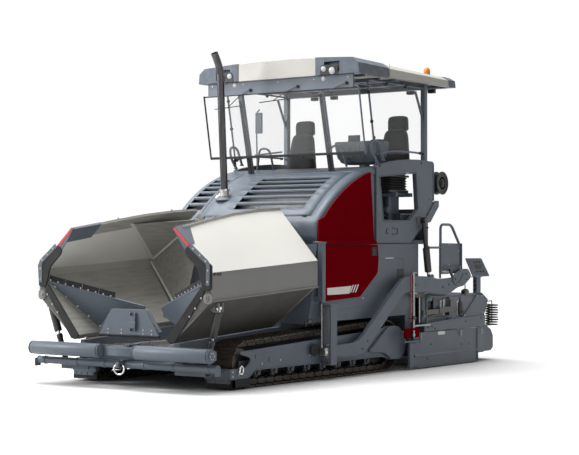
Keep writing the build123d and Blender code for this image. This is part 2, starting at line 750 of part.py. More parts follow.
def hood():
    """Arched cover with two louvred grilles and the exhaust's hole."""
    skin = Pos(-FLANK, 0, 0) * extrude(hood_face(), amount=2 * FLANK, dir=(1, 0, 0))
    y0, y1 = GRILLE_Y
    pitch = (y1 - y0) / SLOTS
    for x0, x1 in GRILLES:
        for slot in range(SLOTS):
            start = y0 + slot * pitch
            skin -= box(x0, x1, start, start + pitch - 26, 1900, 2500)
    return skin - hole((*EXHAUST, 1850), (*EXHAUST, 2350), 58)


save("engine_hood", hood())


def side_panel():
    """Curved upper side panel with the ledge over the door."""
    low = 1640.0
    first, last = (BULKHEAD_Y + 15, HOOD_START[1] + 22), (STATION_Y - 140, HOOD_END[1] - 32)
    top = arc_points(first, HOOD_MID, last, HOOD_FLATS - 2)
    skin = side_plate([(first[0], low)] + top + [(STATION_Y - 80, low)], FLANK, FLANK + 20)
    ledge = front_plate(
        [(FLANK, DOOR_TOP + 7), (DOOR_OUT, DOOR_TOP + 7), (DOOR_OUT, DOOR_TOP + 15),
         (FLANK + 20, low), (FLANK, low)],
        BULKHEAD_Y + 15, 2545,
    )
    return skin + ledge


save("side_panels", both(side_panel()))


def side_door():
    """Lower side door on a vertical hinge at its front edge."""
    outline = [
        (DOOR_FRONT, 922), (2150, 955), (2545, 1233), (2570, 1413),
        (2545, DOOR_TOP), (DOOR_FRONT, DOOR_TOP),
    ]
    leaf = side_plate(outline, DOOR_OUT - DOOR_T, DOOR_OUT)
    latch = box(DOOR_OUT - 1, DOOR_OUT + 6, 2440, 2515, 1440, 1545)
    pieces = [leaf, latch]
    for z in (1000, 1480):
        pieces.append(upright(DOOR_HINGE_X, DOOR_HINGE_Y, z - 30, z + 30, 9, 8))
        pieces.append(box(DOOR_HINGE_X - 6, DOOR_HINGE_X + 6, DOOR_HINGE_Y, DOOR_FRONT + 1, z - 30, z + 30))
    return join(pieces)


save_pair("side_door", side_door())

save("engine_block", box(-420, 420, BULKHEAD_Y + 150, STATION_Y - 140, BAY_FLOOR + 20, 1850))


def exhaust_pipe():
    """Leaning stack with a cut elbow on top."""
    x, y = EXHAUST
    return tube([(x, y, 2130), (x - 4, y - 90, 3800), (x - 16, y - 190, 3985)], 50, 70, 12)


save("exhaust_pipe", exhaust_pipe())

# ---------------------------------------------------------------- operator station
def side_frame():
    """Side wall of the station with its arched top and see-through opening."""
    y = STATION_Y
    rear = STATION_END
    outline = [(y - 70, DECK_Z), (y + 780, DECK_Z), (rear + 145, 2080), (rear + 145, 2150), (rear, 2150)]
    outline += arc_points((rear, 2668), (y + 580, 2660), (y - 140, 2530), 8)
    wall = side_plate(outline, SIDE_IN, FLANK)
    window = side_plate(
        [(y + 64, 2440), (y + 965, 2517), (y + 1012, 2041), (y + 807, 1881), (y + 152, 1874)],
        SIDE_IN - 1, FLANK + 1,
    )
    front = box(SIDE_IN - 1, FLANK + 1, y - 220, y + 25, 1500, 2600)
    pin = x_rod(FLANK - 1, LIFT_X + LIFT_R + 4, *LIFT_TOP, PIN_R)
    return wall - window - front - rear_post() + pin


def rear_post():
    """Upright roof post standing in the side frame's top."""
    return box(1070, FLANK, POST_Y, POST_Y + 70, 2640, ROOF_LOW - 65)


def platform():
    """Deck, front wall, rear wall and the two seat pedestals."""
    deck = box(-SIDE_IN, SIDE_IN, STATION_Y, STATION_END, DECK_Z - 10, DECK_Z + DECK_T)
    front = box(-FLANK, FLANK, STATION_Y, STATION_Y + 25, DECK_Z - 10, 2530)
    rear = box(-SIDE_IN, SIDE_IN, STATION_END - 40, STATION_END, DECK_Z, 2050)
    pieces = [deck, front, rear]
    low, high = DECK_Z + DECK_T - 1, SEAT_Z - 330
    pieces += both(box(SEAT_X - 110, SEAT_X + 110, SEAT_Y - 110, SEAT_Y + 110, low, high))
    return join(pieces)


def seat_base():
    """Bellows and pan under a seat."""
    plate = box(SEAT_X - 250, SEAT_X + 250, SEAT_Y - 300, SEAT_Y + 400, SEAT_Z - 330, SEAT_Z - 300)
    bellows = box(SEAT_X - 190, SEAT_X + 190, SEAT_Y - 250, SEAT_Y + 230, SEAT_Z - 301, SEAT_Z - 130)
    pan = box(SEAT_X - 230, SEAT_X + 230, SEAT_Y - 280, SEAT_Y + 240, SEAT_Z - 131, SEAT_Z - 100)
    return join([plate, bellows, pan])


def seat():
    """Cushion, tapering back and headrest."""
    cushion = box(SEAT_X - 240, SEAT_X + 240, SEAT_Y - 290, SEAT_Y + 170, SEAT_Z - 100, SEAT_Z)
    lower = side_plate(
        [(SEAT_Y + 150, SEAT_Z - 100), (SEAT_Y + 270, SEAT_Z - 100), (SEAT_Y + 330, SEAT_Z + 505),
         (SEAT_Y + 240, SEAT_Z + 505), (SEAT_Y + 170, SEAT_Z)],
        SEAT_X - 230, SEAT_X + 230,
    )
    taper = front_plate(
        [(SEAT_X - 230, SEAT_Z - 100), (SEAT_X + 230, SEAT_Z - 100), (SEAT_X + 230, SEAT_Z + 260),
         (SEAT_X + 165, SEAT_Z + 505), (SEAT_X - 165, SEAT_Z + 505), (SEAT_X - 230, SEAT_Z + 260)],
        SEAT_Y, SEAT_Y + 500,
    )
    head = side_plate(
        [(SEAT_Y + 235, SEAT_Z + 504), (SEAT_Y + 330, SEAT_Z + 504), (SEAT_Y + 345, SEAT_Z + 690),
         (SEAT_Y + 260, SEAT_Z + 690)],
        SEAT_X - 155, SEAT_X + 155,
    )
    return join([cushion, lower & taper, head])


save_pair("side_frame", side_frame())
save("operator_platform", platform())
save("seat_bases", both(seat_base()))
save_pair("seat", seat())


def console():
    """Control pod in front of the left seat on its column."""
    column = box(SEAT_X - 60, SEAT_X + 60, STATION_Y + 260, STATION_Y + 380, DECK_Z + DECK_T, 2640)
    pod = front_plate([(520, 2600), (880, 2600), (1000, 2780), (1040, 2870), (370, 2885), (400, 2760)],
                      STATION_Y + 180, STATION_Y + 460)
    outline = [(160, 2780), (280, 2590), (470, 2590), (470, 2800), (340, 2900), (160, 2900)]
    slope = side_plate([(STATION_Y + y, z) for y, z in outline], 300, 1100)
    return column + (pod & slope)


save("control_console", console())

# ---------------------------------------------------------------- roof
def roof_section(rise, shoulder, low, inset):
    """Roof's front-view outline: crown of even flats, sloping shoulders and level eaves."""
    half = ROOF_HALF - inset
    edge = half - 95
    steps = [edge * share for share in (1.0, 0.6, 0.2)]
    crown = [(x, low + rise - (rise - shoulder) * (x / edge) ** 2) for x in steps]
    right = [(half, low), (half - 12, low + 0.65 * shoulder)] + crown
    left = [(-x, z) for x, z in reversed(right)]
    return make_face(Polyline(*[(x, 0, z) for x, z in right + left], close=True))


def roof_loft(inset, low, thickness):
    """Roof block, all heights lowered by thickness and its outline drawn in by inset."""
    sections = []
    for y, fall in ((ROOF_FRONT + inset, 0), (ROOF_REAR - inset, ROOF_FALL)):
        rise = ROOF_RISE - fall - thickness
        section = roof_section(rise, ROOF_SHOULDER - fall - thickness, low, inset)
        sections.append(Pos(0, y, 0) * section)
    return loft(sections, ruled=True)


def roof_shell(proud):
    """Roof block grown outwards by proud."""
    return roof_loft(-proud, ROOF_LOW, -proud)


def roof_pocket():
    """Room under the roof's skin."""
    return roof_loft(70, ROOF_LOW - 5, ROOF_T - 5)


def front_post_bar():
    """Leaning windscreen post from the hood's crest to the header."""
    return bar((POST_X, 2380, 2470), (POST_X, 2140, ROOF_LOW - 145), 60, 50)


def roof_posts():
    """Two leaning front posts and two upright rear posts."""
    front = front_post_bar() - box(-2000, 2000, 2000, 2500, ROOF_LOW - 165, ROOF_LOW + 35)
    front -= Pos(-FLANK, 0, 0) * extrude(hood_solid_face(), amount=2 * FLANK, dir=(1, 0, 0))
    return both(front) + both(rear_post())


def hood_solid_face():
    """Everything under the hood's outer curve."""
    curve = hood_curve(0)
    low = DECK_Z - 10
    return side_outline([(curve[0][0], low)] + curve + [(curve[-1][0], low)])


def roof_frame():
    """Header plate and the cross members under the roof."""
    header = box(-1124, 1124, 2100, 2128, ROOF_LOW - 165, ROOF_LOW)
    pieces = [header]
    for y in (2700, 3300):
        pieces.append(box(-1100, 1100, y, y + 50, ROOF_LOW - 45, ROOF_LOW))
    pieces.append(box(-FLANK, FLANK, POST_Y, POST_Y + 70, ROOF_LOW - 65, ROOF_LOW))
    return pieces


save("roof_frame", roof_posts() + roof_frame())


def roof():
    """Roof panel and its two front corner caps with lamp recesses."""
    low, high = ROOF_LOW - 50, ROOF_LOW + 400
    caps_room = both(box(CAP_X, ROOF_HALF + 100, ROOF_FRONT - 100, CAP_REAR, low, high))
    rear_room = both(box(ROOF_HALF - 330, ROOF_HALF + 100, ROOF_REAR - 150, ROOF_REAR + 100, low, high))
    shell = roof_shell(0) - roof_pocket()
    cap_block = roof_shell(CAP_PROUD) - roof_pocket()
    panel = shell
    caps = []
    for room in caps_room + rear_room:
        panel = panel - room
        caps.append(cap_block & room)
    recesses = both(box(730, 960, ROOF_FRONT - 100, ROOF_FRONT + 55, ROOF_LOW + 30, ROOF_LOW + 160))
    shaped = []
    for cap in caps:
        for recess in recesses:
            cap = cap - recess
        shaped.append(cap)
    return panel, shaped


panel, caps = roof()
save("roof_panel", panel)
save("roof_caps", caps)


def lamps():
    """Round work lamps in the front recesses."""
    return both(rod((870, ROOF_FRONT - 5, ROOF_LOW + 95), (870, ROOF_FRONT + 55, ROOF_LOW + 95), 52))


save("work_lamps", lamps())


def beacon():
    """Warning beacon on a short foot."""
    foot = upright(1000, 4060, ROOF_LOW + 55, ROOF_LOW + 185, 38)
    dome = upright(1000, 4060, ROOF_LOW + 165, ROOF_LOW + 260, 42)
    return foot + dome - roof_shell(0)


save("beacon", beacon())


def cab_glass():
    """Windscreen and the two side panes."""
    top = ROOF_LOW - 166
    screen = side_plate([(2358, 2720), (2364, 2720), (2222, top), (2216, top)], -1110, 1110)
    top = ROOF_LOW - 70
    pane = side_plate([(2600, 2700), (POST_Y - 10, 2700), (POST_Y - 10, top), (2460, top)], 1085, 1091)
    return [screen] + both(pane)


save("cab_glass", cab_glass())


def handrails():
    """Looped rails at the station's corners."""
    loop = [(40, 2596), (-60, 2830), (80, 2865), (180, 2640)]
    front = tube([(1112, STATION_Y + y, z) for y, z in loop], 17, 45)
    rear = tube([(1095, STATION_END + y, z) for y, z in ((1, 2640), (75, 2640), (75, 2150))], 17, 40)
    return both(front) + both(rear)


save("handrails", handrails())


def hose_reel():
    """Drum of sprayer hose on a bracket behind the station."""
    y = STATION_END + 305
    drum = x_rod(1010, 1100, y, 2400, 155, 24)
    bracket = box(1030, 1060, STATION_END, y, 2350, 2420)
    return drum + bracket


save("hose_reel", hose_reel())

# ---------------------------------------------------------------- tow points, arms
def tow_point():
    """Sliding blocks in the guide, their pin and the levelling cylinder's rod."""
    x0, x1 = GUIDE_IN[1] + 1, GUIDE_OUT[0] - 1
    pieces = [
        box(x0, TONGUE[0] - 2, 1372, 1468, TOW_Z - 80, TOW_Z + 80),
        box(TONGUE[1] + 2, x1, 1372, 1468, TOW_Z - 80, TOW_Z + 80),
        box(x0, x1, ROD_Y - 25, 1373, TOW_Z - 45, TOW_Z + 45),
        x_rod(x0, x1, TOW_Y, TOW_Z, PIVOT_R),
        rod((ROD_X, ROD_Y, TOW_Z + 20), (ROD_X, ROD_Y, 1060), ROD_R),
    ]
    return join(pieces)


save("tow_points", both(tow_point()))


def tow_arm():
    """Cranked arm from the tow point over the track to the screed."""
    outline = [
        (1500, 400), (1900, 408), (2040, 450), (2780, 1004), (2960, 1136), (3080, 1181), (3580, 1181),
        (3900, 1135), (4340, 1152), (4580, 1250), (4710, 1231), (4750, 1145), (4540, 1030), (4400, 1024),
        (4200, 953), (4000, 925), (3490, 971), (3080, 981), (2970, 934), (2120, 278), (1990, 249),
        (1640, 246), (1500, 270),
    ]
    pieces = [side_plate(outline, ARM_IN, ARM_IN + ARM_T)]
    pieces.append(box(*TONGUE, TOW_Y, 1501, TOW_Z - 40, TOW_Z + 40))
    pieces.append(x_rod(*TONGUE, TOW_Y, TOW_Z, 40))
    arm = join(pieces) - x_hole(1200, 1300, TOW_Y, TOW_Z, PIVOT_R + PIN_GAP)
    return arm - x_hole(ARM_IN - 1, ARM_IN + 35, *LIFT_EYE, PIN_R + EYE_DRIFT)


save("tow_arms", both(tow_arm()))


def lift_point(distance):
    """Point of the lifting cylinder's line, counted from its upper eye."""
    return along((LIFT_X, *LIFT_TOP), (LIFT_X, *LIFT_EYE), distance)


def lift_barrel():
    """Lifting cylinder's barrel with its upper eye."""
    body = rod(lift_point(0), lift_point(LIFT_BARREL), LIFT_R)
    body += x_rod(LIFT_X - LIFT_R, LIFT_X + LIFT_R, *LIFT_TOP, LIFT_R - 2)
    body -= x_hole(LIFT_X - 80, LIFT_X + 80, *LIFT_TOP, PIN_R + PIN_GAP)
    return body - hole(lift_point(40), lift_point(900), LIFT_ROD_R + 1)


def lift_rod():
    """Lifting cylinder's rod with its lower eye and the pin that reaches into the arm."""
    length = (Vector(0, *LIFT_TOP) - Vector(0, *LIFT_EYE)).length
    body = rod(lift_point(350), lift_point(length), LIFT_ROD_R)
    body += x_rod(LIFT_X - EYE_T / 2, LIFT_X + EYE_T / 2, *LIFT_EYE, EYE_R)
    return body + x_rod(LIFT_X - EYE_T / 2, ARM_IN + 30, *LIFT_EYE, PIN_R)


save("lift_barrels", both(lift_barrel()))
save("lift_rods", both(lift_rod()))


# ---------------------------------------------------------------- augers
def auger():
    """Half auger: shaft with half-turn blades set along it."""
    pieces = [x_rod(AUGER_IN, AUGER_OUT, AUGER_Y, AUGER_Z, SHAFT_R)]
    reach = (AUGER_R - 12) * sin(radians(24)) + FLIGHT_T
    count = int((AUGER_OUT - AUGER_IN - 2 * reach) / (FLIGHT_PITCH / 2)) + 1
    for step in range(count):
        x = AUGER_IN + reach + step * FLIGHT_PITCH / 2
        tilt = 24 if step % 2 == 0 else -24
        blade = x_rod(-FLIGHT_T / 2, FLIGHT_T / 2, 0, 0, AUGER_R - 12, 16)
        half = Pos(0, 0, 200 if step % 2 == 0 else -200) * Box(400, 400, 400)
        pieces.append(Pos(x, AUGER_Y, AUGER_Z) * (Rot(0, 0, tilt) * blade & half))
    return join(pieces)


save_pair("auger", auger())


def auger_hangers():
    """Centre gearbox and end bearings under the rear body."""
    gearbox = box(-44, 44, AUGER_Y - 70, AUGER_Y + 70, AUGER_Z - 75, BAY_FLOOR - 11)
    pieces = [gearbox + box(-40, 40, 3051, AUGER_Y - 60, 620, BAY_FLOOR - 11)]
    plate = side_plate([(3330, BAY_FLOOR - 11), (3330, 480), (3360, 370), (3440, 370), (3470, 480),
                        (3470, BAY_FLOOR + 120)], 0, 20)
    plate -= x_hole(-1, 21, AUGER_Y, AUGER_Z, SHAFT_R + 8)
    return pieces + both(Pos(AUGER_OUT + 8, 0, 0) * plate)


# ---------------------------------------------------------------- screed
save("auger_hangers", auger_hangers())


def screed_main():
    """Basic screed with its end brackets under the arms and the guide sleeves behind."""
    body = side_plate(
        [(SCREED_FRONT, SCREED_LOW + 40), (SCREED_FRONT + 40, SCREED_LOW), (MAIN_REAR, SCREED_LOW),
         (MAIN_REAR, 640), (4100, 700), (SCREED_FRONT + 60, 700), (SCREED_FRONT, 620)],
        -MAIN_HALF, MAIN_HALF,
    )
    pieces = [body]
    pieces += both(box(1140, ARM_IN, 3960, 4200, 600, 1120))
    for low, high in SLEEVES:
        for z in (TUBE_LEFT_Z, TUBE_RIGHT_Z):
            for sleeve in both(box(low, high, MAIN_REAR - 1, TUBE_Y + 20, z - 58, z + 58)):
                pieces.append(sleeve)
    whole = join(pieces)
    for z in (TUBE_LEFT_Z, TUBE_RIGHT_Z):
        whole -= x_hole(-1300, 1300, TUBE_Y, z, TUBE_R + 1)
    return whole


save("screed_main", screed_main())


def screed_extension(tube_z):
    """Sliding rear screed with its end plate, guide tube, cover and ledge."""
    inner = 10.0
    outer = PLATE_OUT - PLATE_T
    pieces = [
        box(inner, outer, 4380, 5143, SCREED_LOW, 460),
        side_plate([(5100, 457), (5145, 457), (EXT_REAR, 340), (EXT_REAR, 132), (5124, SCREED_LOW),
                    (5100, SCREED_LOW)], inner, outer),
        side_plate(
            [(4250, 477), (5142, 477), (5143, 626), (5260, 831), (5090, 927), (4947, 925), (4527, 614),
             (4250, 600)],
            outer - 20, outer,
        ),
        box(outer - 20, outer, 4250, 4400, 340, 480),
        side_plate([(4527, 594), (4947, 905), (5090, 905), (5260, 811), (5260, 831), (5090, 927),
                    (4947, 925), (4527, 614)], inner + 20, outer),
        box(inner + 20, inner + 40, 4527, 5143, 455, 620),
        side_plate([(4527, 590), (5143, 590), (5260, 820), (5090, 915), (4947, 915)], inner + 20, inner + 40),
        x_rod(TUBE_IN, TUBE_OUT, TUBE_Y, tube_z, TUBE_R),
        tube(
            [(1240, 4940, 880), (1240, 4900, 905), (1240, 3700, 912), (1240, 3640, 880), (1240, 3640, 560)],
            13, 20,
        ),
        box(outer - 20, outer, 3600, 4260, 477, 575),
    ]
    return join(pieces)


save("screed_extension_left", screed_extension(TUBE_LEFT_Z))
save("screed_extension_right", mirror(screed_extension(TUBE_RIGHT_Z), about=Plane.YZ))


def end_gate():
    """End gate, the channel over it and its handle tube."""
    outer = PLATE_OUT - PLATE_T
    plate = side_plate(
        [(END_FRONT, 60), (END_FRONT + 40, 20), (END_REAR, 20), (END_REAR, 466), (END_FRONT, 466)],
        outer, PLATE_OUT,
    )
    slot = [
        (3900, 275), (3925, 250), (4075, 250), (4100, 275),
        (4100, 305), (4075, 330), (3925, 330), (3900, 305),
    ]
    plate -= side_plate(slot, outer - 5, PLATE_OUT + 5)
    channel = side_plate([(3535, 465), (5142, 477), (5143, 626), (4527, 614), (3535, 570)], outer, PLATE_OUT)
    return plate + channel


def remote_panel():
    """Sloping control panel on its post above the end plate."""
    post = box(1215, 1245, 4955, 4985, 927, 1160)
    panel = side_plate([(4650, 1393), (5016, 1401), (5269, 1153), (4850, 1147)], 1165, 1280)
    return post + panel


save_pair("remote_panel", remote_panel())


def screed_guard():
    """Upright plate with its rail above the arm."""
    plate = box(1240, 1280, 3942, 4508, 1200, 1604)
    rail = tube([(1262, 3960, 1210), (1262, 3960, 1860), (1262, 4242, 1860), (1262, 4454, 1590)], 18, 50)
    stub = tube([(1262, 3660, 1545), (1262, 3960, 1545)], 15, 20)
    return join([plate, rail, stub]) - tow_arm()


save("screed_guards", both(screed_guard()))


def levelling_mast():
    """Upright rod beside the end gate's front with its brackets and slider."""
    x, y = ARM_IN + ARM_T + 20, END_FRONT - 45
    mast = extrude(Pos(x, y, 410) * RegularPolygon(16, 12), amount=830)
    pieces = [
        mast,
        box(PLATE_OUT - 2, x + 8, y, END_FRONT + 60, 425, 450),
        box(PLATE_OUT - 2, x + 8, y, 3620, 545, 566),
        box(x - 14, x + 14, y - 24, y + 24, 950, 985),
        box(x - 10, x + 10, y + 10, y + 110, 905, 1005),
    ]
    return join(pieces)


gate = end_gate() + levelling_mast()
save_pair("end_gate", gate)
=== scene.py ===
# %% [markdown]
# # A tracked asphalt paver, surface by surface
#
# The machine stands parked: the two wings of its hopper are folded up, and the screed rests on the
# ground behind it. The frame that this lesson starts from holds the pieces at their real size and
# place. Every cell adds one kind of surface over it: painted plate, rubber, chain, cloth or glass.
#
# Lengths are metres. X points to the machine's left side and Z up. Along the machine, lengths are
# counted here from the front end of the tracks' ground contact, because that is where the drawing
# starts; one number, MIDDLE, takes them to the frame's own origin.

# %% Load the frame
import json
import math

import bmesh
import bpy
import numpy as np
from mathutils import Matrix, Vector
from mathutils.geometry import tessellate_polygon


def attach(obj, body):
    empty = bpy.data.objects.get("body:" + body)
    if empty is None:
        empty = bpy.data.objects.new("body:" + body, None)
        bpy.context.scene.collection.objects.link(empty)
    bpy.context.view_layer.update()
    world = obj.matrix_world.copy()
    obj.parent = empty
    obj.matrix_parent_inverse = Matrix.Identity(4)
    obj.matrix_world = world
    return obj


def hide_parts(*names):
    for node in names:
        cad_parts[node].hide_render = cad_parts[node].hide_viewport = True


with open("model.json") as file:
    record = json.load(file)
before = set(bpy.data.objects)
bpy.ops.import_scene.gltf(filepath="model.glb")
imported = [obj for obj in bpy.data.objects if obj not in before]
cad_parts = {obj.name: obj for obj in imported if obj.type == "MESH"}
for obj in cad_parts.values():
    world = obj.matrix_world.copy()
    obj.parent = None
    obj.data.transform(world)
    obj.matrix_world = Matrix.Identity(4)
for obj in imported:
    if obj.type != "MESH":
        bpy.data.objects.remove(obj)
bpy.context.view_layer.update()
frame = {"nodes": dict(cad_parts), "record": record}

MIDDLE = 2.2805


# %% [markdown]
# ## Shapes as arrays
#
# A shape is a pair: an array of points and a list of face arrays. It could be made by adding cubes
# and cylinders and pulling at them, but a formula over whole arrays says what the surface is, and a
# size can be changed in one place. The first helper turns a grid of points into quads.

# %% A grid of points becomes quads
def grid(points, round_u=False, round_v=False):
    """Quads between neighbours of a grid: (i, j), (i+1, j), (i+1, j+1), (i, j+1).
    A round direction also joins its last row to its first."""
    rows, columns = points.shape[:2]
    i = np.arange(rows if round_u else rows - 1)
    j = np.arange(columns if round_v else columns - 1)
    i, j = np.meshgrid(i, j, indexing="ij")
    ii, jj = (i + 1) % rows, (j + 1) % columns
    quads = np.stack([i * columns + j, ii * columns + j, ii * columns + jj, i * columns + jj], axis=-1)
    return points.reshape(-1, 3), [quads.reshape(-1, 4)]


def loft(loops):
    """Skin over loops with equal numbers of points, closed at both ends."""
    loops = np.asarray(loops, float)
    shape = grid(loops, round_v=True)
    around = np.arange(loops.shape[1])[None]
    return shape[0], shape[1] + [around, around[:, ::-1] + (len(loops) - 1) * loops.shape[1]]


def joined(*shapes):
    """One shape from several: points stacked, and each face's numbers raised by the points before."""
    points, faces, start = [], [], 0
    for own_points, own_faces in shapes:
        points.append(own_points)
        faces += [rows + start for rows in own_faces]
        start += len(own_points)
    return np.concatenate(points), faces


def mirrored(shape):
    """The shape on the other side: x changes sign and faces run the other way round."""
    return shape[0] * (-1, 1, 1), [rows[:, ::-1] for rows in shape[1]]


def both(shape):
    """The shape and its mirror image as one."""
    return joined(shape, mirrored(shape))


def moved(shape, x=0.0, y=0.0, z=0.0):
    """The shape shifted by a step."""
    return shape[0] + (x, y, z), shape[1]


def copies(shape, places, turns=None):
    """The shape repeated at each place; turns holds one 3 by 3 matrix per place.
    Point k of copy n is turn n times point k plus place n, for all at once."""
    points, faces = shape
    places = np.asarray(places, float).reshape(-1, 3)
    if turns is None:
        turns = np.tile(np.eye(3), (len(places), 1, 1))
    spread = np.einsum("nab,kb->nka", turns, points) + places[:, None]
    step = np.arange(len(places))[:, None, None] * len(points)
    return spread.reshape(-1, 3), [(rows[None] + step).reshape(-1, rows.shape[1]) for rows in faces]


# %% [markdown]
# ## Rounded corners and flat plates
#
# Nearly every sheet on the machine is a flat plate with rounded corners, cut from steel and broken
# a little at its edges. The corner is a parabola that leaves one side and meets the next; a true
# arc would look the same at this size and needs more words. The plate itself is its outline carried
# through four levels, drawn in a little at the first and last, so that its edges catch the light.

# %% Outlines
def rounded(corners, reach, steps=6, closed=True):
    """Corners softened: around each one the line follows (1-s)^2 A + 2s(1-s) C + s^2 B, where A and
    B lie reach away from corner C on its two sides. A reach of 0 keeps the corner sharp."""
    corners = np.asarray(corners, float)
    reach = np.broadcast_to(np.asarray(reach, float), len(corners)).copy()
    before, after = np.roll(corners, 1, axis=0), np.roll(corners, -1, axis=0)
    if not closed:
        reach[[0, -1]] = 0
        before[0], after[-1] = corners[0], corners[-1]
    towards = before - corners
    onwards = after - corners
    length_in = np.linalg.norm(towards, axis=1) + 1e-12
    length_on = np.linalg.norm(onwards, axis=1) + 1e-12
    a = corners + towards / length_in[:, None] * np.minimum(reach, 0.49 * length_in)[:, None]
    b = corners + onwards / length_on[:, None] * np.minimum(reach, 0.49 * length_on)[:, None]
    s = np.linspace(0, 1, steps)[None, :, None]
    line = (1 - s) ** 2 * a[:, None] + 2 * s * (1 - s) * corners[:, None] + s ** 2 * b[:, None]
    line = line.reshape(-1, corners.shape[1])
    gap = np.linalg.norm(line - np.roll(line, 1, axis=0), axis=1)
    if not closed:
        gap[0] = 1
    return line[gap > 1e-6]


def drawn_in(loop, distance):
    """The loop moved to its left: each corner slides by (n1 + n2) d / (1 + n1.n2), where n1 and n2
    are the normals of its two sides."""
    side = np.roll(loop, -1, axis=0) - loop
    side /= np.linalg.norm(side, axis=1)[:, None] + 1e-12
    normal = np.stack([-side[:, 1], side[:, 0]], axis=1)
    other = np.roll(normal, 1, axis=0)
    share = 1 + np.sum(normal * other, axis=1)
    return loop + (normal + other) * (distance / np.maximum(share, 0.3))[:, None]


def area(loop):
    """Signed area: half the sum of x_i y_(i+1) - x_(i+1) y_i."""
    nxt = np.roll(loop, -1, axis=0)
    return 0.5 * np.sum(loop[:, 0] * nxt[:, 1] - nxt[:, 0] * loop[:, 1])


def raised(flat, level, axis):
    """Plane points set up in space: across x they are (y, z), across y (x, z), across z (x, y)."""
    level = np.full(len(flat), level) if np.isscalar(level) else level
    order = {"x": (level, flat[:, 0], flat[:, 1]), "y": (flat[:, 0], level, flat[:, 1]),
             "z": (flat[:, 0], flat[:, 1], level)}
    return np.stack(order[axis], axis=1)


def slab(outline, low, high, axis="x", edge=0.003, holes=()):
    """Plate between two levels across an axis, with broken edges and any holes."""
    loops = [np.asarray(loop, float) for loop in (outline, *holes)]
    loops = [loop if (area(loop) > 0) == (n == 0) else loop[::-1] for n, loop in enumerate(loops)]
    shapes, caps = [], []
    for loop in loops:
        inner = drawn_in(loop, edge)
        caps.append(inner)
        levels = ((inner, low), (loop, low + edge), (loop, high - edge), (inner, high))
        rings = np.stack([raised(ring, level, axis) for ring, level in levels])
        shapes.append(grid(rings, round_v=True))
    flat = np.concatenate(caps)
    triangles = np.array(tessellate_polygon([[Vector((*p, 0.0)) for p in loop] for loop in caps]))
    shapes += [(raised(flat, low, axis), [triangles]), (raised(flat, high, axis), [triangles[:, ::-1]])]
    return joined(*shapes)


def block(x, y, z, edge=0.004):
    """Box from three pairs of limits, edges broken."""
    outline = [(y[0], z[0]), (y[1], z[0]), (y[1], z[1]), (y[0], z[1])]
    return slab(outline, x[0], x[1], "x", edge)


# %% [markdown]
# ## Turned and swept forms
#
# Pins, rollers, cylinders and hoses are profiles carried along a line. A turned form goes round a
# straight axis; a swept one follows a bent path. The sweep needs a steady sideways direction: the
# direction in which the path varies least is never along the path, so it serves as the reference.

# %% Turning and sweeping
def turned(start, end, profile, sides=24, ring=False):
    """Surface of revolution: at distance d along the axis and turn t the point is
    start + d axis + r (cos t side + sin t up). The profile's rows are (d, r)."""
    start, end = np.asarray(start, float), np.asarray(end, float)
    axis = (end - start) / np.linalg.norm(end - start)
    side = np.cross(axis, (0.0, 0.0, 1.0) if abs(axis[2]) < 0.9 else (1.0, 0.0, 0.0))
    side /= np.linalg.norm(side)
    up = np.cross(side, axis)
    profile = np.asarray(profile, float)
    t = np.linspace(0, 2 * np.pi, sides, endpoint=False)
    ray = np.cos(t)[:, None] * side + np.sin(t)[:, None] * up
    points = start + profile[:, 0, None, None] * axis + profile[:, 1, None, None] * ray
    return grid(points, round_u=True, round_v=True) if ring else loft(points)


def rod(start, end, radius, sides=16, edge=0.003):
    """Round bar with broken ends."""
    length = math.dist(start, end)
    edge = min(edge, radius / 3, length / 3)
    rows = [(0, radius - edge), (edge, radius), (length - edge, radius), (length, radius - edge)]
    return turned(start, end, rows, sides)


def swept(profile, path, closed=False):
    """Profile carried along a path: each of its rows (a, b) lies at path + a side + b up, where up is
    the path's steadiest direction made square to it and side is square to both."""
    profile, path = np.asarray(profile, float), np.asarray(path, float)
    if closed:
        ahead = np.roll(path, -1, axis=0) - np.roll(path, 1, axis=0)
    else:
        ahead = np.gradient(path, axis=0)
    ahead /= np.linalg.norm(ahead, axis=1)[:, None]
    steady = np.linalg.svd(path - path.mean(axis=0))[2][-1]
    side = np.cross(steady, ahead)
    side /= np.linalg.norm(side, axis=1)[:, None]
    up = np.cross(ahead, side)
    points = path[:, None] + profile[None, :, :1] * side[:, None] + profile[None, :, 1:] * up[:, None]
    return grid(points, round_u=True, round_v=True) if closed else loft(points)


def ring_of(radius, sides=12):
    """Points of a circle."""
    t = np.linspace(0, 2 * np.pi, sides, endpoint=False)
    return np.stack([radius * np.cos(t), radius * np.sin(t)], axis=1)


def tube(corners, radius, reach=0.05, sides=12, steps=6):
    """Round rail along softened corners."""
    return swept(ring_of(radius, sides), rounded(corners, reach, steps, closed=False))


def arc_loop(centre, radius, sides=24):
    """Round hole or disc outline about a centre."""
    return ring_of(radius, sides) + np.asarray(centre, float)


def bar(start, end, width, depth, across=(1.0, 0.0, 0.0), edge=0.003):
    """Straight bar of rectangular section, its width along the direction across."""
    start, end = np.asarray(start, float), np.asarray(end, float)
    ahead = (end - start) / np.linalg.norm(end - start)
    side = np.asarray(across, float) - ahead * np.dot(across, ahead)
    side /= np.linalg.norm(side)
    up = np.cross(side, ahead)
    w, d = width / 2, depth / 2
    rows = [(-w + edge, -d), (w - edge, -d), (w, -d + edge), (w, d - edge),
            (w - edge, d), (-w + edge, d), (-w, d - edge), (-w, -d + edge)]
    section = np.array(rows)[:, :1] * side + np.array(rows)[:, 1:] * up
    return loft([section + start, section + end])


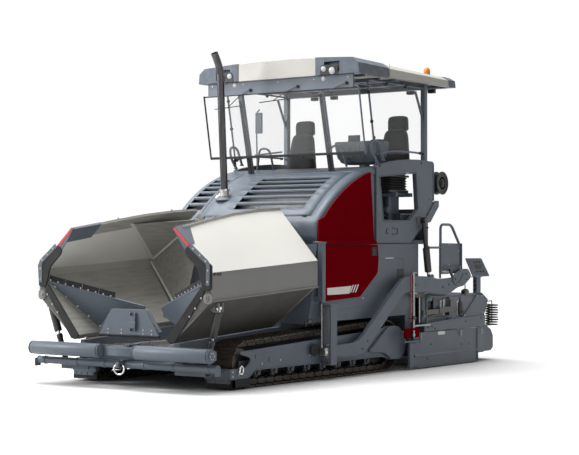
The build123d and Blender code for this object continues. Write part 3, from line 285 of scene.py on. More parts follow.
def leaf(corners, thickness, edge=0.002):
    """Flat plate in space through its corners, its thickness to both sides of them."""
    corners = np.asarray(corners, float)
    middle = corners.mean(axis=0)
    steady = np.linalg.svd(corners - middle)[2][-1]
    flat = corners - np.outer((corners - middle) @ steady, steady)
    inner = middle + (flat - middle) * (1 - edge / np.linalg.norm(flat - middle, axis=1).mean())
    half = thickness / 2
    rows = [inner - steady * half, flat - steady * (half - edge), flat + steady * (half - edge),
            inner + steady * half]
    return loft(rows)


# %% Bolts
def bolts(places, direction, radius=0.012, height=0.010):
    """Hexagon heads on washers, all pointing one way."""
    axis = np.asarray(direction, float)
    washer = turned((0, 0, 0), axis, [(0, radius * 1.25), (height * 0.25, radius * 1.25)], 12)
    head = turned((0, 0, 0), axis, [(height * 0.2, radius), (height * 0.85, radius),
                                    (height, radius * 0.8)], 6)
    return copies(joined(washer, head), places)


print("shape helpers ready")

# %% [markdown]
# ## From shape to piece
#
# A shape becomes an object once: the arrays go into a mesh in one step, faces are turned outwards,
# and edges sharper than a set angle stay crisp while the rest are smooth. The piece then rides on
# its body, takes a finish, and says which plain nodes it stands for.

# %% Make a piece
PIECES = []


def piece(name, shape, finish, body, stands_for=(), crisp=32.0, outward=True):
    """Object from a shape, at the origin, with its finish, riding on a body."""
    points, faces = shape
    mesh = bpy.data.meshes.new(name)
    mesh.vertices.add(len(points))
    mesh.vertices.foreach_set("co", (points - (0, MIDDLE, 0)).astype(np.float32).ravel())
    corners = np.concatenate([rows.ravel() for rows in faces]).astype(np.int32)
    counts = np.concatenate([np.full(len(rows), rows.shape[1]) for rows in faces])
    mesh.loops.add(len(corners))
    mesh.loops.foreach_set("vertex_index", corners)
    mesh.polygons.add(len(counts))
    mesh.polygons.foreach_set("loop_start", (np.cumsum(counts) - counts).astype(np.int32))
    mesh.update(calc_edges=True)
    work = bmesh.new()
    work.from_mesh(mesh)
    bmesh.ops.remove_doubles(work, verts=work.verts, dist=1e-5)
    if outward:
        bmesh.ops.recalc_face_normals(work, faces=work.faces)
    work.to_mesh(mesh)
    work.free()
    mesh.shade_smooth()
    mesh.set_sharp_from_angle(angle=math.radians(crisp))
    mesh.materials.append(finish)
    item = bpy.data.objects.new(name, mesh)
    bpy.context.scene.collection.objects.link(item)
    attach(item, body)
    if stands_for:
        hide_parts(*stands_for)
    PIECES.append((name, len(mesh.polygons)))
    return item


def pair(name, shape, finish, body, stands_for=(), crisp=32.0, whole=()):
    """The left piece and its mirror image; left and right end the names of pieces, bodies and nodes.
    A plain node that holds both sides, named in whole, gives way to the left piece."""
    for side, own in (("left", shape), ("right", mirrored(shape))):
        nodes = [f"{node}_{side}" for node in stands_for] + list(whole if side == "left" else ())
        piece(f"{name}_{side}", own, finish, body.replace("*", side), nodes, crisp)


def turn_about(axis, angles):
    """Rotation matrices about x, y or z for an array of angles."""
    c, s = np.cos(angles), np.sin(angles)
    turns = np.zeros((len(c), 3, 3))
    i, j, k = {"x": (1, 2, 0), "y": (2, 0, 1), "z": (0, 1, 2)}[axis]
    turns[:, i, i], turns[:, i, j], turns[:, j, i], turns[:, j, j], turns[:, k, k] = c, -s, s, c, 1
    return turns

# %% [markdown]
# ## Finishes
#
# Every finish is a Principled shader fed by noise, because even clean paint is not one flat colour:
# it has orange peel, faint clouding and places that are a little more matt. The noise reads Object
# coordinates, so a pattern keeps its real scale on each piece and stays with it when it moves.

# %% Words for the shader trees
def blank(name):
    """New finish: its material, node tree and shader."""
    made = bpy.data.materials.new(name)
    made.use_nodes = True
    return made, made.node_tree, made.node_tree.nodes["Principled BSDF"]


def spots(tree, scale, detail=3.0, stretch=(1, 1, 1), rough=0.55):
    """Noise on Object coordinates, its cells drawn out by dividing the scale along an axis."""
    where = tree.nodes.new("ShaderNodeTexCoord")
    shape = tree.nodes.new("ShaderNodeMapping")
    shape.inputs["Scale"].default_value = stretch
    noise = tree.nodes.new("ShaderNodeTexNoise")
    noise.inputs["Scale"].default_value = scale
    noise.inputs["Detail"].default_value = detail
    noise.inputs["Roughness"].default_value = rough
    tree.links.new(where.outputs["Object"], shape.inputs["Vector"])
    tree.links.new(shape.outputs["Vector"], noise.inputs["Vector"])
    return noise.outputs["Fac"]


def ramp(tree, value, stops):
    """Colour ramp through (place, colour) stops."""
    made = tree.nodes.new("ShaderNodeValToRGB")
    for n, (place, colour) in enumerate(stops):
        stop = made.color_ramp.elements[n] if n < 2 else made.color_ramp.elements.new(place)
        stop.position = place
        stop.color = (*colour, 1)
    tree.links.new(value, made.inputs["Fac"])
    return made.outputs["Color"]


def spread(tree, value, low, high, start=0.3, end=0.7):
    """Number between low and high as value goes from start to end."""
    made = tree.nodes.new("ShaderNodeMapRange")
    for socket, number in (("From Min", start), ("From Max", end), ("To Min", low), ("To Max", high)):
        made.inputs[socket].default_value = number
    tree.links.new(value, made.inputs["Value"])
    return made.outputs["Result"]


def relief(tree, shader, value, depth, strength=0.5):
    """Bump of a depth in metres under whatever bump the shader already has."""
    made = tree.nodes.new("ShaderNodeBump")
    made.inputs["Distance"].default_value = depth
    made.inputs["Strength"].default_value = strength
    tree.links.new(value, made.inputs["Height"])
    if shader.inputs["Normal"].links:
        tree.links.new(shader.inputs["Normal"].links[0].from_socket, made.inputs["Normal"])
    tree.links.new(made.outputs["Normal"], shader.inputs["Normal"])


def toned(colour, factor):
    """Colour made lighter or darker by a factor."""
    return tuple(min(1.0, part * factor) for part in colour)


# %% [markdown]
# ### Paint
#
# Sprayed plate: a body colour that clouds by a few percent, fine orange peel, and a clear coat on the
# show panels. A plain glossy colour would look like a toy; the peel breaks the highlight up.

# %% Paints
def paint(name, colour, rough, coat=0.0, cloud=0.07, peel=0.0002, shine=0.5):
    """Sprayed paint of one colour."""
    made, tree, shader = blank(name)
    clouds = spots(tree, 1.7, 4)
    stops = [(0.3, toned(colour, 1 - cloud)), (0.7, toned(colour, 1 + cloud))]
    tree.links.new(ramp(tree, clouds, stops), shader.inputs["Base Color"])
    tree.links.new(spread(tree, spots(tree, 6.0, 3), rough - 0.05, rough + 0.07),
                   shader.inputs["Roughness"])
    shader.inputs["Specular IOR Level"].default_value = shine
    shader.inputs["Coat Weight"].default_value = coat
    shader.inputs["Coat Roughness"].default_value = 0.12
    relief(tree, shader, spots(tree, 190.0, 2), peel, 0.35)
    return made


SLATE = (0.125, 0.150, 0.182)
slate = paint("slate paint", SLATE, 0.42, shine=0.3)
roof_grey = paint("warm grey paint", (0.42, 0.41, 0.375), 0.40)
white = paint("off white paint", (0.80, 0.79, 0.74), 0.36, coat=0.25, cloud=0.02)
wing_grey = paint("hopper grey paint", (0.205, 0.203, 0.195), 0.42, cloud=0.03)
# A dark grey that paints the shade under the wing's floor and inside its hollow front end.
wing_painted_shade = paint("hopper painted shade grey", (0.075, 0.073, 0.066), 0.60, cloud=0.10)
red = paint("deep red paint", (0.20, 0.0012, 0.006), 0.42, cloud=0.05, shine=0.0)
black = paint("black paint", (0.018, 0.018, 0.020), 0.38)
stripe_red = paint("reflective red film", (0.80, 0.05, 0.05), 0.30, cloud=0.03)


# %% [markdown]
# ### Hopper lining, steel and chain
#
# Hot mix slides over the hopper's inside. The paint there is a duller grey, half as light as the
# outside, partly from wear and partly painted shade, with long faint scratches down the slope: noise
# whose cells are drawn out along one axis. Track steel is dark brown, rubbed bright only where it
# runs. The rubbed places come from a second, coarser noise.

# %% Worn metals
def scraped(name, colour, rough, metal, stretch, worn, depth=0.0004):
    """Metal or paint with long scratches and rubbed patches."""
    made, tree, shader = blank(name)
    lines = spots(tree, 26.0, 4, stretch)
    stops = [(0.28, toned(colour, 0.80)), (0.50, colour), (0.74, worn)]
    tree.links.new(ramp(tree, lines, stops), shader.inputs["Base Color"])
    tree.links.new(spread(tree, spots(tree, 4.0, 4), rough - 0.12, rough + 0.12),
                   shader.inputs["Roughness"])
    shader.inputs["Metallic"].default_value = metal
    relief(tree, shader, lines, depth, 0.4)
    relief(tree, shader, spots(tree, 140.0, 3), depth * 0.5, 0.4)
    return made


# The lining's grey, half as light as the off-white outside, is partly wear and partly painted shade.
lining = scraped("hopper lining", (0.40, 0.39, 0.355), 0.52, 0.0, (1, 0.12, 1),
                 (0.45, 0.44, 0.40))
steel = scraped("bare steel", (0.42, 0.41, 0.40), 0.38, 0.85, (1, 0.2, 1), (0.55, 0.54, 0.52))
chain = scraped("track steel", (0.050, 0.038, 0.030), 0.60, 0.25, (1, 1, 1),
                (0.105, 0.085, 0.070))
chrome = scraped("chromed rod", (0.62, 0.62, 0.62), 0.20, 1.0, (1, 1, 0.05),
                 (0.72, 0.72, 0.72), 0.00005)
zinc = scraped("zinc plate", (0.27, 0.27, 0.27), 0.34, 0.8, (1, 1, 0.3),
               (0.34, 0.34, 0.34), 0.00005)
stack_black = scraped("stack steel", (0.075, 0.075, 0.080), 0.20, 1.0, (1, 1, 0.08),
                      (0.12, 0.12, 0.122), 0.00005)


# %% [markdown]
# ### Rubber, plastic, cloth, glass and lamps
#
# Rubber and moulded plastic differ in grain: rubber is matt with a fine powdery bump, plastic has a
# leather-like grain of cells. Seat cloth is a weave, two waves at right angles. Glass lets most light
# straight through and only hints at its surface.

# %% Soft and clear finishes
def moulded(name, colour, rough, grain, depth):
    """Moulded rubber or plastic with a cell grain."""
    made, tree, shader = blank(name)
    cells = tree.nodes.new("ShaderNodeTexVoronoi")
    where = tree.nodes.new("ShaderNodeTexCoord")
    cells.inputs["Scale"].default_value = grain
    tree.links.new(where.outputs["Object"], cells.inputs["Vector"])
    stops = [(0.3, toned(colour, 0.85)), (0.7, toned(colour, 1.2))]
    tree.links.new(ramp(tree, spots(tree, 9.0, 4), stops), shader.inputs["Base Color"])
    tree.links.new(spread(tree, spots(tree, 14.0, 3), rough - 0.06, rough + 0.08),
                   shader.inputs["Roughness"])
    shader.inputs["Specular IOR Level"].default_value = 0.25
    relief(tree, shader, cells.outputs["Distance"], depth, 0.4)
    return made


rubber = moulded("black rubber", (0.020, 0.020, 0.021), 0.66, 420.0, 0.0003)
plastic = moulded("grey plastic", (0.105, 0.125, 0.150), 0.50, 300.0, 0.0003)
black_plastic = moulded("black plastic", (0.016, 0.016, 0.018), 0.42, 260.0, 0.0002)


def woven(name, colour):
    """Cloth: two sets of threads as crossed waves, with sheen and a little fading."""
    made, tree, shader = blank(name)
    where = tree.nodes.new("ShaderNodeTexCoord")
    for direction in ("X", "Z"):
        threads = tree.nodes.new("ShaderNodeTexWave")
        threads.bands_direction = direction
        threads.inputs["Scale"].default_value = 70.0
        threads.inputs["Distortion"].default_value = 0.6
        tree.links.new(where.outputs["Object"], threads.inputs["Vector"])
        relief(tree, shader, threads.outputs["Fac"], 0.0006, 0.5)
    stops = [(0.3, toned(colour, 0.8)), (0.7, toned(colour, 1.35))]
    tree.links.new(ramp(tree, spots(tree, 160.0, 5), stops), shader.inputs["Base Color"])
    tree.links.new(spread(tree, spots(tree, 5.0, 2), 0.80, 0.95), shader.inputs["Roughness"])
    shader.inputs["Sheen Weight"].default_value = 0.25
    return made


cloth = woven("seat cloth", (0.030, 0.029, 0.029))


def clear(name, colour, alpha, rough=0.04):
    """Thin clear sheet or lens."""
    made, tree, shader = blank(name)
    stops = [(0.3, toned(colour, 0.96)), (0.7, colour)]
    tree.links.new(ramp(tree, spots(tree, 1.2, 2), stops), shader.inputs["Base Color"])
    tree.links.new(spread(tree, spots(tree, 3.0, 2), rough, rough + 0.03), shader.inputs["Roughness"])
    shader.inputs["Alpha"].default_value = alpha
    return made


glass = clear("safety glass", (0.78, 0.80, 0.81), 0.06)
lens = clear("lamp lens", (0.75, 0.76, 0.78), 0.75, 0.08)
amber = moulded("amber dome", (0.62, 0.20, 0.02), 0.25, 90.0, 0.0004)
green = moulded("green indicator", (0.02, 0.55, 0.10), 0.35, 90.0, 0.0002)

# %% Finishes for the plain nodes
BY_SLOT = {
    "slate_paint": slate, "white_paint": white, "red_paint": red, "dark_paint": black,
    "track_steel": chain, "bright_rod": chrome, "worn_steel": steel, "black_rubber": rubber,
    "seat_fabric": cloth, "clear_glass": glass, "grey_plastic": plastic, "black_plastic": black_plastic,
    "amber_plastic": amber, "lamp_lens": lens, "roof_paint": roof_grey,
}
for part in frame["record"]["subparts"]:
    node = frame["nodes"][part["node"]]
    for slot in node.material_slots:
        slot.material = BY_SLOT[part["material_slot"]]
    if not node.material_slots:
        node.data.materials.append(BY_SLOT[part["material_slot"]])

# %% [markdown]
# ## Hopper wings
#
# A wing is a hollow floor wedge, an upright band and a wall that leans in; while it is folded up its
# floor slopes too. It could be cut from one block, but it is a folded sheet: one section across the
# machine, carried to the rear while the hinge line climbs. So every point is a function of two
# numbers: its place k on the section and its share v of the way back. The wall's top edge follows its
# own curve, and the rear edge leans back with height.

# %% Wing dimensions
WING_FRONT, SLOPE = -0.810, 0.058
HINGE = (0.700, 0.545)
FOLD_X, BAND_LOW, BAND_TOP = 1.270, 0.993, 1.288
LEAN = (1.769 - BAND_TOP) / (FOLD_X - 0.754)
WALL_END = 1.270
SKIN, LIP_HIGH = 0.016, 0.034


def top_edge(y):
    """Height of the wall's top edge: it bows up from the front tip, so it is read between six places."""
    return np.interp(y, (WING_FRONT, -0.56, -0.2, 0.32, 0.8, WALL_END),
                     (1.769, 1.806, 1.868, 1.947, 1.998, 2.026))


def rear_edge(z):
    """How far back the wing reaches at a height."""
    return np.interp(z, (0.40, 1.10, 1.40, 2.03), (0.985, 1.136, 1.136, WALL_END))


def on_wing(x, z, y_share, off=0.0, reach=1.0):
    """Points of a section corner (x, z) at shares of the way back, raised with the hinge line."""
    end = WING_FRONT + (rear_edge(z + SLOPE * 1.9) - WING_FRONT) * reach
    y = WING_FRONT + off + (end - WING_FRONT - off) * y_share
    return np.stack([np.full_like(y, x), y, z + SLOPE * (y - WING_FRONT)], axis=1)


def wall_top(y_share, inward=0.0, drop=0.0, off=0.0, reach=1.0):
    """Points along the wall's top edge, a step inside its outer face and a drop below its edge."""
    y = WING_FRONT + off + ((WALL_END - WING_FRONT) * reach - off) * y_share
    z = top_edge(y) - drop
    x = FOLD_X - (z - BAND_TOP - SLOPE * (y - WING_FRONT)) / LEAN
    size = math.hypot(1, LEAN)
    return np.stack([x - inward * LEAN / size, y, z - inward / size], axis=1)


def wing_wall():
    """Leaning wall: outer and inner face, each as nine columns between its foot and its top."""
    v = np.linspace(0, 1, 41)
    share = np.linspace(0, 1, 9)[:, None, None]
    outer = on_wing(FOLD_X, BAND_TOP - 0.001, v) * (1 - share) + wall_top(v, 0, LIP_HIGH) * share
    inner = wall_top(v, SKIN, LIP_HIGH) * (1 - share) + on_wing(FOLD_X - 0.034, BAND_TOP - 0.012, v) * share
    return loft(np.concatenate([outer, inner]).transpose(1, 0, 2))


def wing_lip():
    """The wall's top edge turned upright, LIP_HIGH tall, with two studs on it."""
    v = np.linspace(0.052, 1, 30)
    foot = wall_top(v, 0.001, 0.036)
    head = wall_top(v, 0, LIP_HIGH)
    head = np.stack([head[:, 0] + 0.004, head[:, 1], top_edge(head[:, 1])], axis=1)
    lip = loft(np.stack([foot, head, head - (0.012, 0, 0), foot - (0.012, 0, 0)], axis=1))
    studs = [rod(head[n] - (0.006, 0, 0.004), head[n] - (0.006, 0, -0.016), 0.011, 10) for n in (9, 22)]
    return joined(lip, *studs)


def wing_wedge():
    """Upright band and the hollow floor under it, as one closed section, and the flange on the fold."""
    v = np.linspace(0, 1, 41)
    columns = [
        on_wing(0.664, 0.530, v), on_wing(0.722, 0.523, v), on_wing(FOLD_X - 0.006, BAND_LOW - 0.004, v),
        on_wing(FOLD_X, BAND_LOW + 0.006, v), on_wing(FOLD_X, BAND_TOP - 0.002, v),
        on_wing(FOLD_X - 0.034, BAND_TOP - 0.013, v), on_wing(0.652, 0.565, v),
    ]
    flange = [on_wing(FOLD_X - 0.004, BAND_LOW + 0.004, v), on_wing(FOLD_X + 0.016, BAND_LOW - 0.012, v),
              on_wing(FOLD_X + 0.016, BAND_LOW - 0.018, v), on_wing(FOLD_X - 0.010, BAND_LOW - 0.004, v)]
    return joined(loft(np.stack(columns, axis=1)), loft(np.stack(flange, axis=1)))


def wing_underside():
    """Sheets under the floor and over the wedge's hollow front end, in a dark grey that paints their shade.
    """
    v = np.linspace(0.002, 0.97, 20)
    sheet = [on_wing(0.735, 0.5265, v), on_wing(FOLD_X - 0.016, BAND_LOW - 0.014, v),
             on_wing(FOLD_X - 0.016, BAND_LOW - 0.017, v), on_wing(0.735, 0.5235, v)]
    end = [(0.70, 0.530), (1.262, 0.990), (1.262, 1.06), (1.20, 1.16), (0.66, 0.560)]
    return joined(loft(np.stack(sheet, axis=1)), slab(end, WING_FRONT - 0.003, WING_FRONT, "y", 0.001))


def wing_ribs():
    """Flat stiffener along the fold, seam strips on the band and the hinge tube with its knuckles."""
    v = np.array([0.003, 0.997])
    low = on_wing(FOLD_X + 0.0015, BAND_LOW + 0.012, v)
    high = on_wing(FOLD_X + 0.0015, BAND_TOP - 0.012, v)
    edges = [np.array([low[0], low[1], low[1] + (0, 0, 0.02), low[0] + (0, 0, 0.02)]),
             np.array([high[0], high[1], high[1] - (0, 0, 0.016), high[0] - (0, 0, 0.016)])]
    plates = [leaf(edge, 0.003, 0.001) for edge in edges]
    y = np.linspace(-0.78, 0.93, 12)
    knuckles = [rod((HINGE[0], a, HINGE[1] + SLOPE * (a - WING_FRONT)),
                    (HINGE[0], a + 0.105, HINGE[1] + SLOPE * (a + 0.105 - WING_FRONT)), 0.031)
                for a in y]
    return joined(*plates, *knuckles)


def eye_bracket():
    """Two cheeks under the floor that hold the cylinder's eye."""
    x, y, z = 1.235, -0.615 - 0.705 * SLOPE, 0.905
    outline = rounded([(x - 0.095, z - 0.015), (x - 0.038, z - 0.045), (x + 0.030, z - 0.045),
                       (x + 0.034, z + 0.066)], 0.02)
    hole = arc_loop((x, z), 0.031, 20)
    cheeks = [slab(outline, y + a, y + a + 0.014, "y", 0.002, [hole]) for a in (-0.040, 0.026)]
    return joined(*cheeks)


pair("wing_wall", wing_wall(), white, "wing_*", ["hopper_wing"], 40)
# The lip takes the warm grey roof paint as painted shade, for the dark band along the wall's top edge.
pair("wing_lip", wing_lip(), roof_grey, "wing_*", crisp=40)
pair("wing_wedge", wing_wedge(), wing_grey, "wing_*", crisp=30)
pair("wing_underside", wing_underside(), wing_painted_shade, "wing_*")
pair("wing_hinge_and_brackets", joined(wing_ribs(), eye_bracket()), wing_grey, "wing_*")
latch_bar = block((FOLD_X, FOLD_X + 0.014), (-0.790, -0.670), (1.268, 1.284), 0.002)
latch_teeth = [block((FOLD_X, FOLD_X + 0.016), (y, y + 0.014), (1.256, 1.272), 0.002)
               for y in (-0.785, -0.735, -0.690)]
pair("wing_latch", joined(latch_bar, *latch_teeth), black, "wing_*")
print("wing top rises to", round(float(top_edge(WALL_END)), 3))

# %% [markdown]
# ### The wing's inside
#
# Liners lie on the inside: the floor, a narrow lighter chamfer along the fold, the wall, and the rear
# wall with its three-cornered gusset. They are separate thin sheets because their grey is darker and
# duller than the outside, partly wear and partly painted shade, and their edges show as fine light
# lines.

# %% Liners
REAR_LOW, REAR_FOLD = (0.655, 1.020, 0.675), (1.222, 1.080, 1.375)
REAR_TOP = (0.480, 1.205, 1.930)
GUSSET = [(0.708, 0.150, 1.822), (1.180, 1.060, 1.405), (0.550, 1.170, 1.890)]


def liner_sheet(lower, upper, thickness=0.003):
    """Ruled sheet between two rows of points, thickened towards the hopper's middle."""
    across = upper - lower
    along = np.gradient(lower, axis=0)
    normal = np.cross(along, across)
    normal /= np.linalg.norm(normal, axis=1)[:, None]
    normal *= np.sign(-normal[:, :1] + 1e-9)
    return loft(np.stack([lower, upper, upper + normal * thickness, lower + normal * thickness], axis=1))


def wing_liners():
    """Floor and wall as ruled sheets between section corners, and the chamfer between them."""
    v = np.linspace(0, 1, 26)
    floor_in = on_wing(0.652, 0.5665, v, 0.004, 0.93)
    floor_out = on_wing(1.196, 1.222, v, 0.004, 0.96)
    chamfer = on_wing(1.218, 1.328, v, 0.004, 0.97)
    wall_foot = on_wing(1.2165, 1.318, v, 0.004, 0.99)
    wall_head = wall_top(v, SKIN + 0.0005, 0.006, 0.004, 0.99)
    floor_and_wall = joined(liner_sheet(floor_in, floor_out), liner_sheet(wall_foot, wall_head))
    return floor_and_wall, liner_sheet(floor_out, chamfer, 0.006)


def rear_wall():
    """Rear wall of the wing and the gusset that stiffens its corner."""
    top_out = (0.520, 1.225, 1.985)
    wall = leaf([REAR_LOW, REAR_FOLD, top_out, REAR_TOP], 0.012)
    return joined(wall, leaf(GUSSET, 0.008))


def seam_strips():
    """Light weld strips where the rear wall and the gusset meet the floor and the wall."""
    inwards = np.array((-0.012, -0.014, 0.006))
    lines = [(REAR_LOW, REAR_FOLD), (GUSSET[0], GUSSET[1]), (GUSSET[1], GUSSET[2])]
    return joined(*[bar(inwards + start, inwards + end, 0.046, 0.010, (0.35, -1, 0.4), 0.002)
                    for start, end in lines])


liners, chamfer_strip = wing_liners()
pair("wing_liners", liners, lining, "wing_*")
pair("wing_chamfer", chamfer_strip, roof_grey, "wing_*")
pair("wing_rear_wall", rear_wall(), lining, "wing_*")
pair("wing_seams", seam_strips(), white, "wing_*")


# %% [markdown]
# ### Aprons, corner brackets and rubbers
#
# Each wing carries a slate plate that rises from its floor towards the middle and closes the front
# corner. Its top edge has a tube and, above that, a rubber strip in four lengths. The wall's front tip
# is capped by a folded bracket with a red reflective film, and a thick rubber wraps the fold below it.

# %% Aprons
APRON_A, APRON_B = np.array((1.150, -0.800, 1.158)), np.array((0.660, -0.385, 0.600))
APRON_C, APRON_D = np.array((0.135, -0.277, 0.872)), np.array((0.152, -0.290, 0.765))
APRON_LOW = np.array((0.560, -0.380, 0.598))


def apron():
    """Apron plate, the tube along its top edge and the fold at its inner end."""
    plate = leaf([APRON_A, APRON_B, APRON_LOW, APRON_D, APRON_C], 0.012)
    edge = APRON_C + (APRON_A - APRON_C) * np.linspace(0.0, 0.985, 12)[:, None]
    tube_line = swept(ring_of(0.014, 12), edge + (0, -0.004, 0.006))
    fold = leaf([APRON_C, APRON_D, APRON_D + (0.03, 0.03, 0), APRON_C + (0.03, 0.03, 0)], 0.010)
    return joined(plate, tube_line, fold)


def apron_rubbers():
    """Four lengths of rubber standing on the outer part of the top edge."""
    shares = np.linspace(0.30, 0.985, 5)
    shapes = []
    for low_share, high_share in zip(shares[:-1], shares[1:]):
        span = np.array([low_share + 0.004, high_share - 0.004])
        foot = APRON_C + (APRON_A - APRON_C) * span[:, None] + (0, -0.008, 0.010)
        head = foot + (0.0, 0.012, 0.070)
        shapes.append(leaf([foot[0], foot[1], head[1], head[0]], 0.012))
    return joined(*shapes)


def apron_bolts():
    """Screws through the rubber and along the lower edge."""
    share = np.linspace(0.34, 0.96, 9)[:, None]
    upper = APRON_C + (APRON_A - APRON_C) * share + (0, -0.016, 0.030)
    lower = APRON_B + (APRON_A - APRON_B) * np.linspace(0.1, 0.9, 5)[:, None] + (-0.035, -0.010, -0.002)
    outwards = (-0.35, -0.93, 0.1)
    return joined(bolts(upper, outwards, 0.008, 0.007), bolts(lower, outwards, 0.009, 0.008))


pair("wing_apron_plate", apron(), slate, "wing_*", ["wing_apron"])
pair("wing_apron_rubber", apron_rubbers(), rubber, "wing_*", ["wing_flap"])
pair("wing_apron_bolts", apron_bolts(), steel, "wing_*")

# %% Corner bracket and rubbers of the front edge
def corner_bracket():
    """Folded slate cap: a front leaf, and a leaf that runs back along the wall's top edge."""
    y = WING_FRONT - 0.004
    front = slab(rounded([(0.735, 1.752), (0.762, 1.778), (0.985, 1.574), (0.905, 1.520)], 0.008),
                 y - 0.010, y, "y", 0.002)
    v = np.linspace(0, 0.20, 6)
    marks = [wall_top(np.array([share]), -0.0045, drop)[0]
             for share, drop in ((0, -0.002), (0.200, -0.004), (0.110, 0.040), (0.048, 0.185), (0, 0.195))]
    outer = leaf(marks, 0.005)
    inner = liner_sheet(wall_top(v, SKIN + 0.004, 0.000), wall_top(v, SKIN + 0.004, 0.150))
    cap = liner_sheet(wall_top(v, -0.004, -0.004), wall_top(v, SKIN + 0.006, -0.004))
    return joined(front, outer, inner, cap)


def reflector():
    """Red film on the bracket's slanting front edge."""
    y = WING_FRONT - 0.0175
    return slab([(0.748, 1.748), (0.767, 1.766), (0.966, 1.584), (0.946, 1.562)], y, y + 0.004, "y", 0.001)


def corner_rubber():
    """Thick rubber round the fold's front edge, and the strip along the floor's front edge."""
    y = WING_FRONT - 0.012
    wrap = rounded([(1.277, 1.360), (0.975, 1.575), (0.905, 1.540), (0.910, 1.480), (1.085, 1.330),
                    (1.110, 1.240), (1.150, 1.120), (1.185, 1.090), (1.262, 1.110)],
                   [0.02, 0.02, 0.03, 0.06, 0.05, 0.06, 0.03, 0.02, 0.02])
    strip = [(1.180, 1.130), (1.155, 1.050), (0.760, 0.526), (0.690, 0.515), (0.640, 0.560), (1.120, 1.130)]
    return joined(slab(wrap, y - 0.012, y + 0.010, "y", 0.003),
                  slab(strip, y - 0.004, y + 0.010, "y", 0.003))


def corner_angle():
    """Grey angle that backs the rubber, with its screws."""
    y = WING_FRONT - 0.027
    line = rounded([(0.985, 1.574), (1.232, 1.384), (1.226, 1.150)], 0.03, closed=False)
    angle = swept([(-0.024, -0.003), (0.024, -0.003), (0.024, 0.003), (-0.024, 0.003)],
                  raised(line, y, "y"))
    upper = [(1.03, 1.539), (1.12, 1.470), (1.20, 1.408), (1.230, 1.310), (1.227, 1.190)]
    lower = [(1.10, 0.960), (1.02, 0.850), (0.94, 0.760)]
    heads = [(x, y - 0.002, z) for x, z in upper] + [(x + 0.03, y + 0.010, z + 0.055) for x, z in lower]
    return angle, bolts(heads, (0, -1, 0), 0.009, 0.008)


def corner_lug():
    """Lifting lug at the lower outer corner, a plate with a round pin."""
    x, y, z = 1.200, WING_FRONT + 0.004, 1.015
    outline = [(1.276, 1.06), (1.276, 0.975), (1.235, 0.950), (1.165, 0.965), (1.150, 1.040), (1.20, 1.07)]
    plate = slab(rounded(outline, 0.03), y - 0.020, y + 0.004, "y", 0.003)
    boss = turned((x, y - 0.030, z), (x, y + 0.01, z), [(0, 0.022), (0.002, 0.036), (0.04, 0.038)], 24)
    return joined(plate, boss, bolts([(x, y - 0.030, z)], (0, -1, 0), 0.014, 0.010))


angle, heads = corner_angle()
pair("wing_corner_bracket", joined(corner_bracket(), angle), slate, "wing_*")
pair("wing_reflector", reflector(), stripe_red, "wing_*")
pair("wing_corner_rubber", corner_rubber(), rubber, "wing_*")
pair("wing_corner_bolts", heads, steel, "wing_*")
pair("wing_corner_lug", corner_lug(), wing_grey, "wing_*")


# %% [markdown]
# ### Wing cylinders
#
# A cylinder is a turned profile: foot eye, barrel, gland nut, and on the rod's own body the chromed
# rod with its eye and a black cover. The two halves ride on different bodies, so the rod slides into
# the barrel.

# %% Cylinders
def cylinder_parts(foot, head, barrel_length, barrel_r, rod_r, bore_from, rod_from):
    """Barrel shape and rod shape between two eye centres."""
    foot, head = np.array(foot), np.array(head)
    length = math.dist(foot, head)
    ahead = (head - foot) / length
    step = barrel_r * 0.10
    barrel = turned(foot, head, [
        (0.02, barrel_r * 0.70), (0.03, barrel_r), (0.06, barrel_r), (0.065, barrel_r - step),
        (barrel_length - 0.055, barrel_r - step), (barrel_length - 0.05, barrel_r),
        (barrel_length - 0.008, barrel_r), (barrel_length, barrel_r - 0.005),
        (barrel_length, rod_r + 0.002),
        (bore_from, rod_r + 0.002), (bore_from, 0.004)], 28)
    shaft = turned(foot + ahead * rod_from, head,
                   [(0, rod_r - 0.001), (0.003, rod_r), (length - rod_from - 0.05, rod_r),
                    (length - rod_from - 0.045, rod_r + 0.006),
                    (length - rod_from - 0.015, rod_r + 0.006)], 24)
    return barrel, shaft


def eye_ring(centre, axis, width, radius, hole=0.0):
    """Eye of a cylinder: a thick ring, or a solid boss when there is no hole."""
    centre, axis = np.array(centre, float), np.array(axis, float)
    start, end = centre - axis * width / 2, centre + axis * width / 2
    if hole:
        rows = [(0, hole), (0, radius - 0.003), (0.003, radius), (width - 0.003, radius),
                (width, radius - 0.003), (width, hole)]
        return turned(start, end, rows, 28, ring=True)
    return rod(start, end, radius, 28)


WING_FOOT, WING_EYE = (1.020, -0.615, 0.200), (1.235, -0.615 - 0.705 * SLOPE, 0.905)
HINGE_WAY = np.array((0, 1, SLOPE)) / math.hypot(1, SLOPE)
barrel, shaft = cylinder_parts(WING_FOOT, WING_EYE, 0.372, 0.036, 0.018, 0.030, 0.336)
pin = rod(np.array(WING_EYE) - HINGE_WAY * 0.038, np.array(WING_EYE) + HINGE_WAY * 0.038, 0.014)
port = rod((1.072, -0.655, 0.36), (1.072, -0.668, 0.36), 0.010)
pair("wing_cylinder_barrel", joined(barrel, eye_ring(WING_FOOT, HINGE_WAY, 0.072, 0.034, 0.0145), port),
     black, "wing_barrel_*", ["wing_barrel"])
cover_rows = [(0.405, 0.0400), (0.405, 0.0425), (0.410, 0.0445), (0.690, 0.0445), (0.700, 0.036),
              (0.700, 0.019), (0.690, 0.019), (0.686, 0.0400)]
pair("wing_cylinder_cover", turned(WING_FOOT, WING_EYE, cover_rows, 28, ring=True), black, "wing_rod_*")
pair("wing_cylinder_rod", joined(shaft, eye_ring(WING_EYE, HINGE_WAY, 0.036, 0.028), pin),
     chrome, "wing_rod_*", ["wing_rod"])


# %% [markdown]
# ## Centre flap
#
# Between the wings a trapezoid plate hinges forward to meet the truck's bed. Its rim is turned back,
# two straps and a block stiffen its middle, and it hangs on a tube in rubber-edged knuckles.

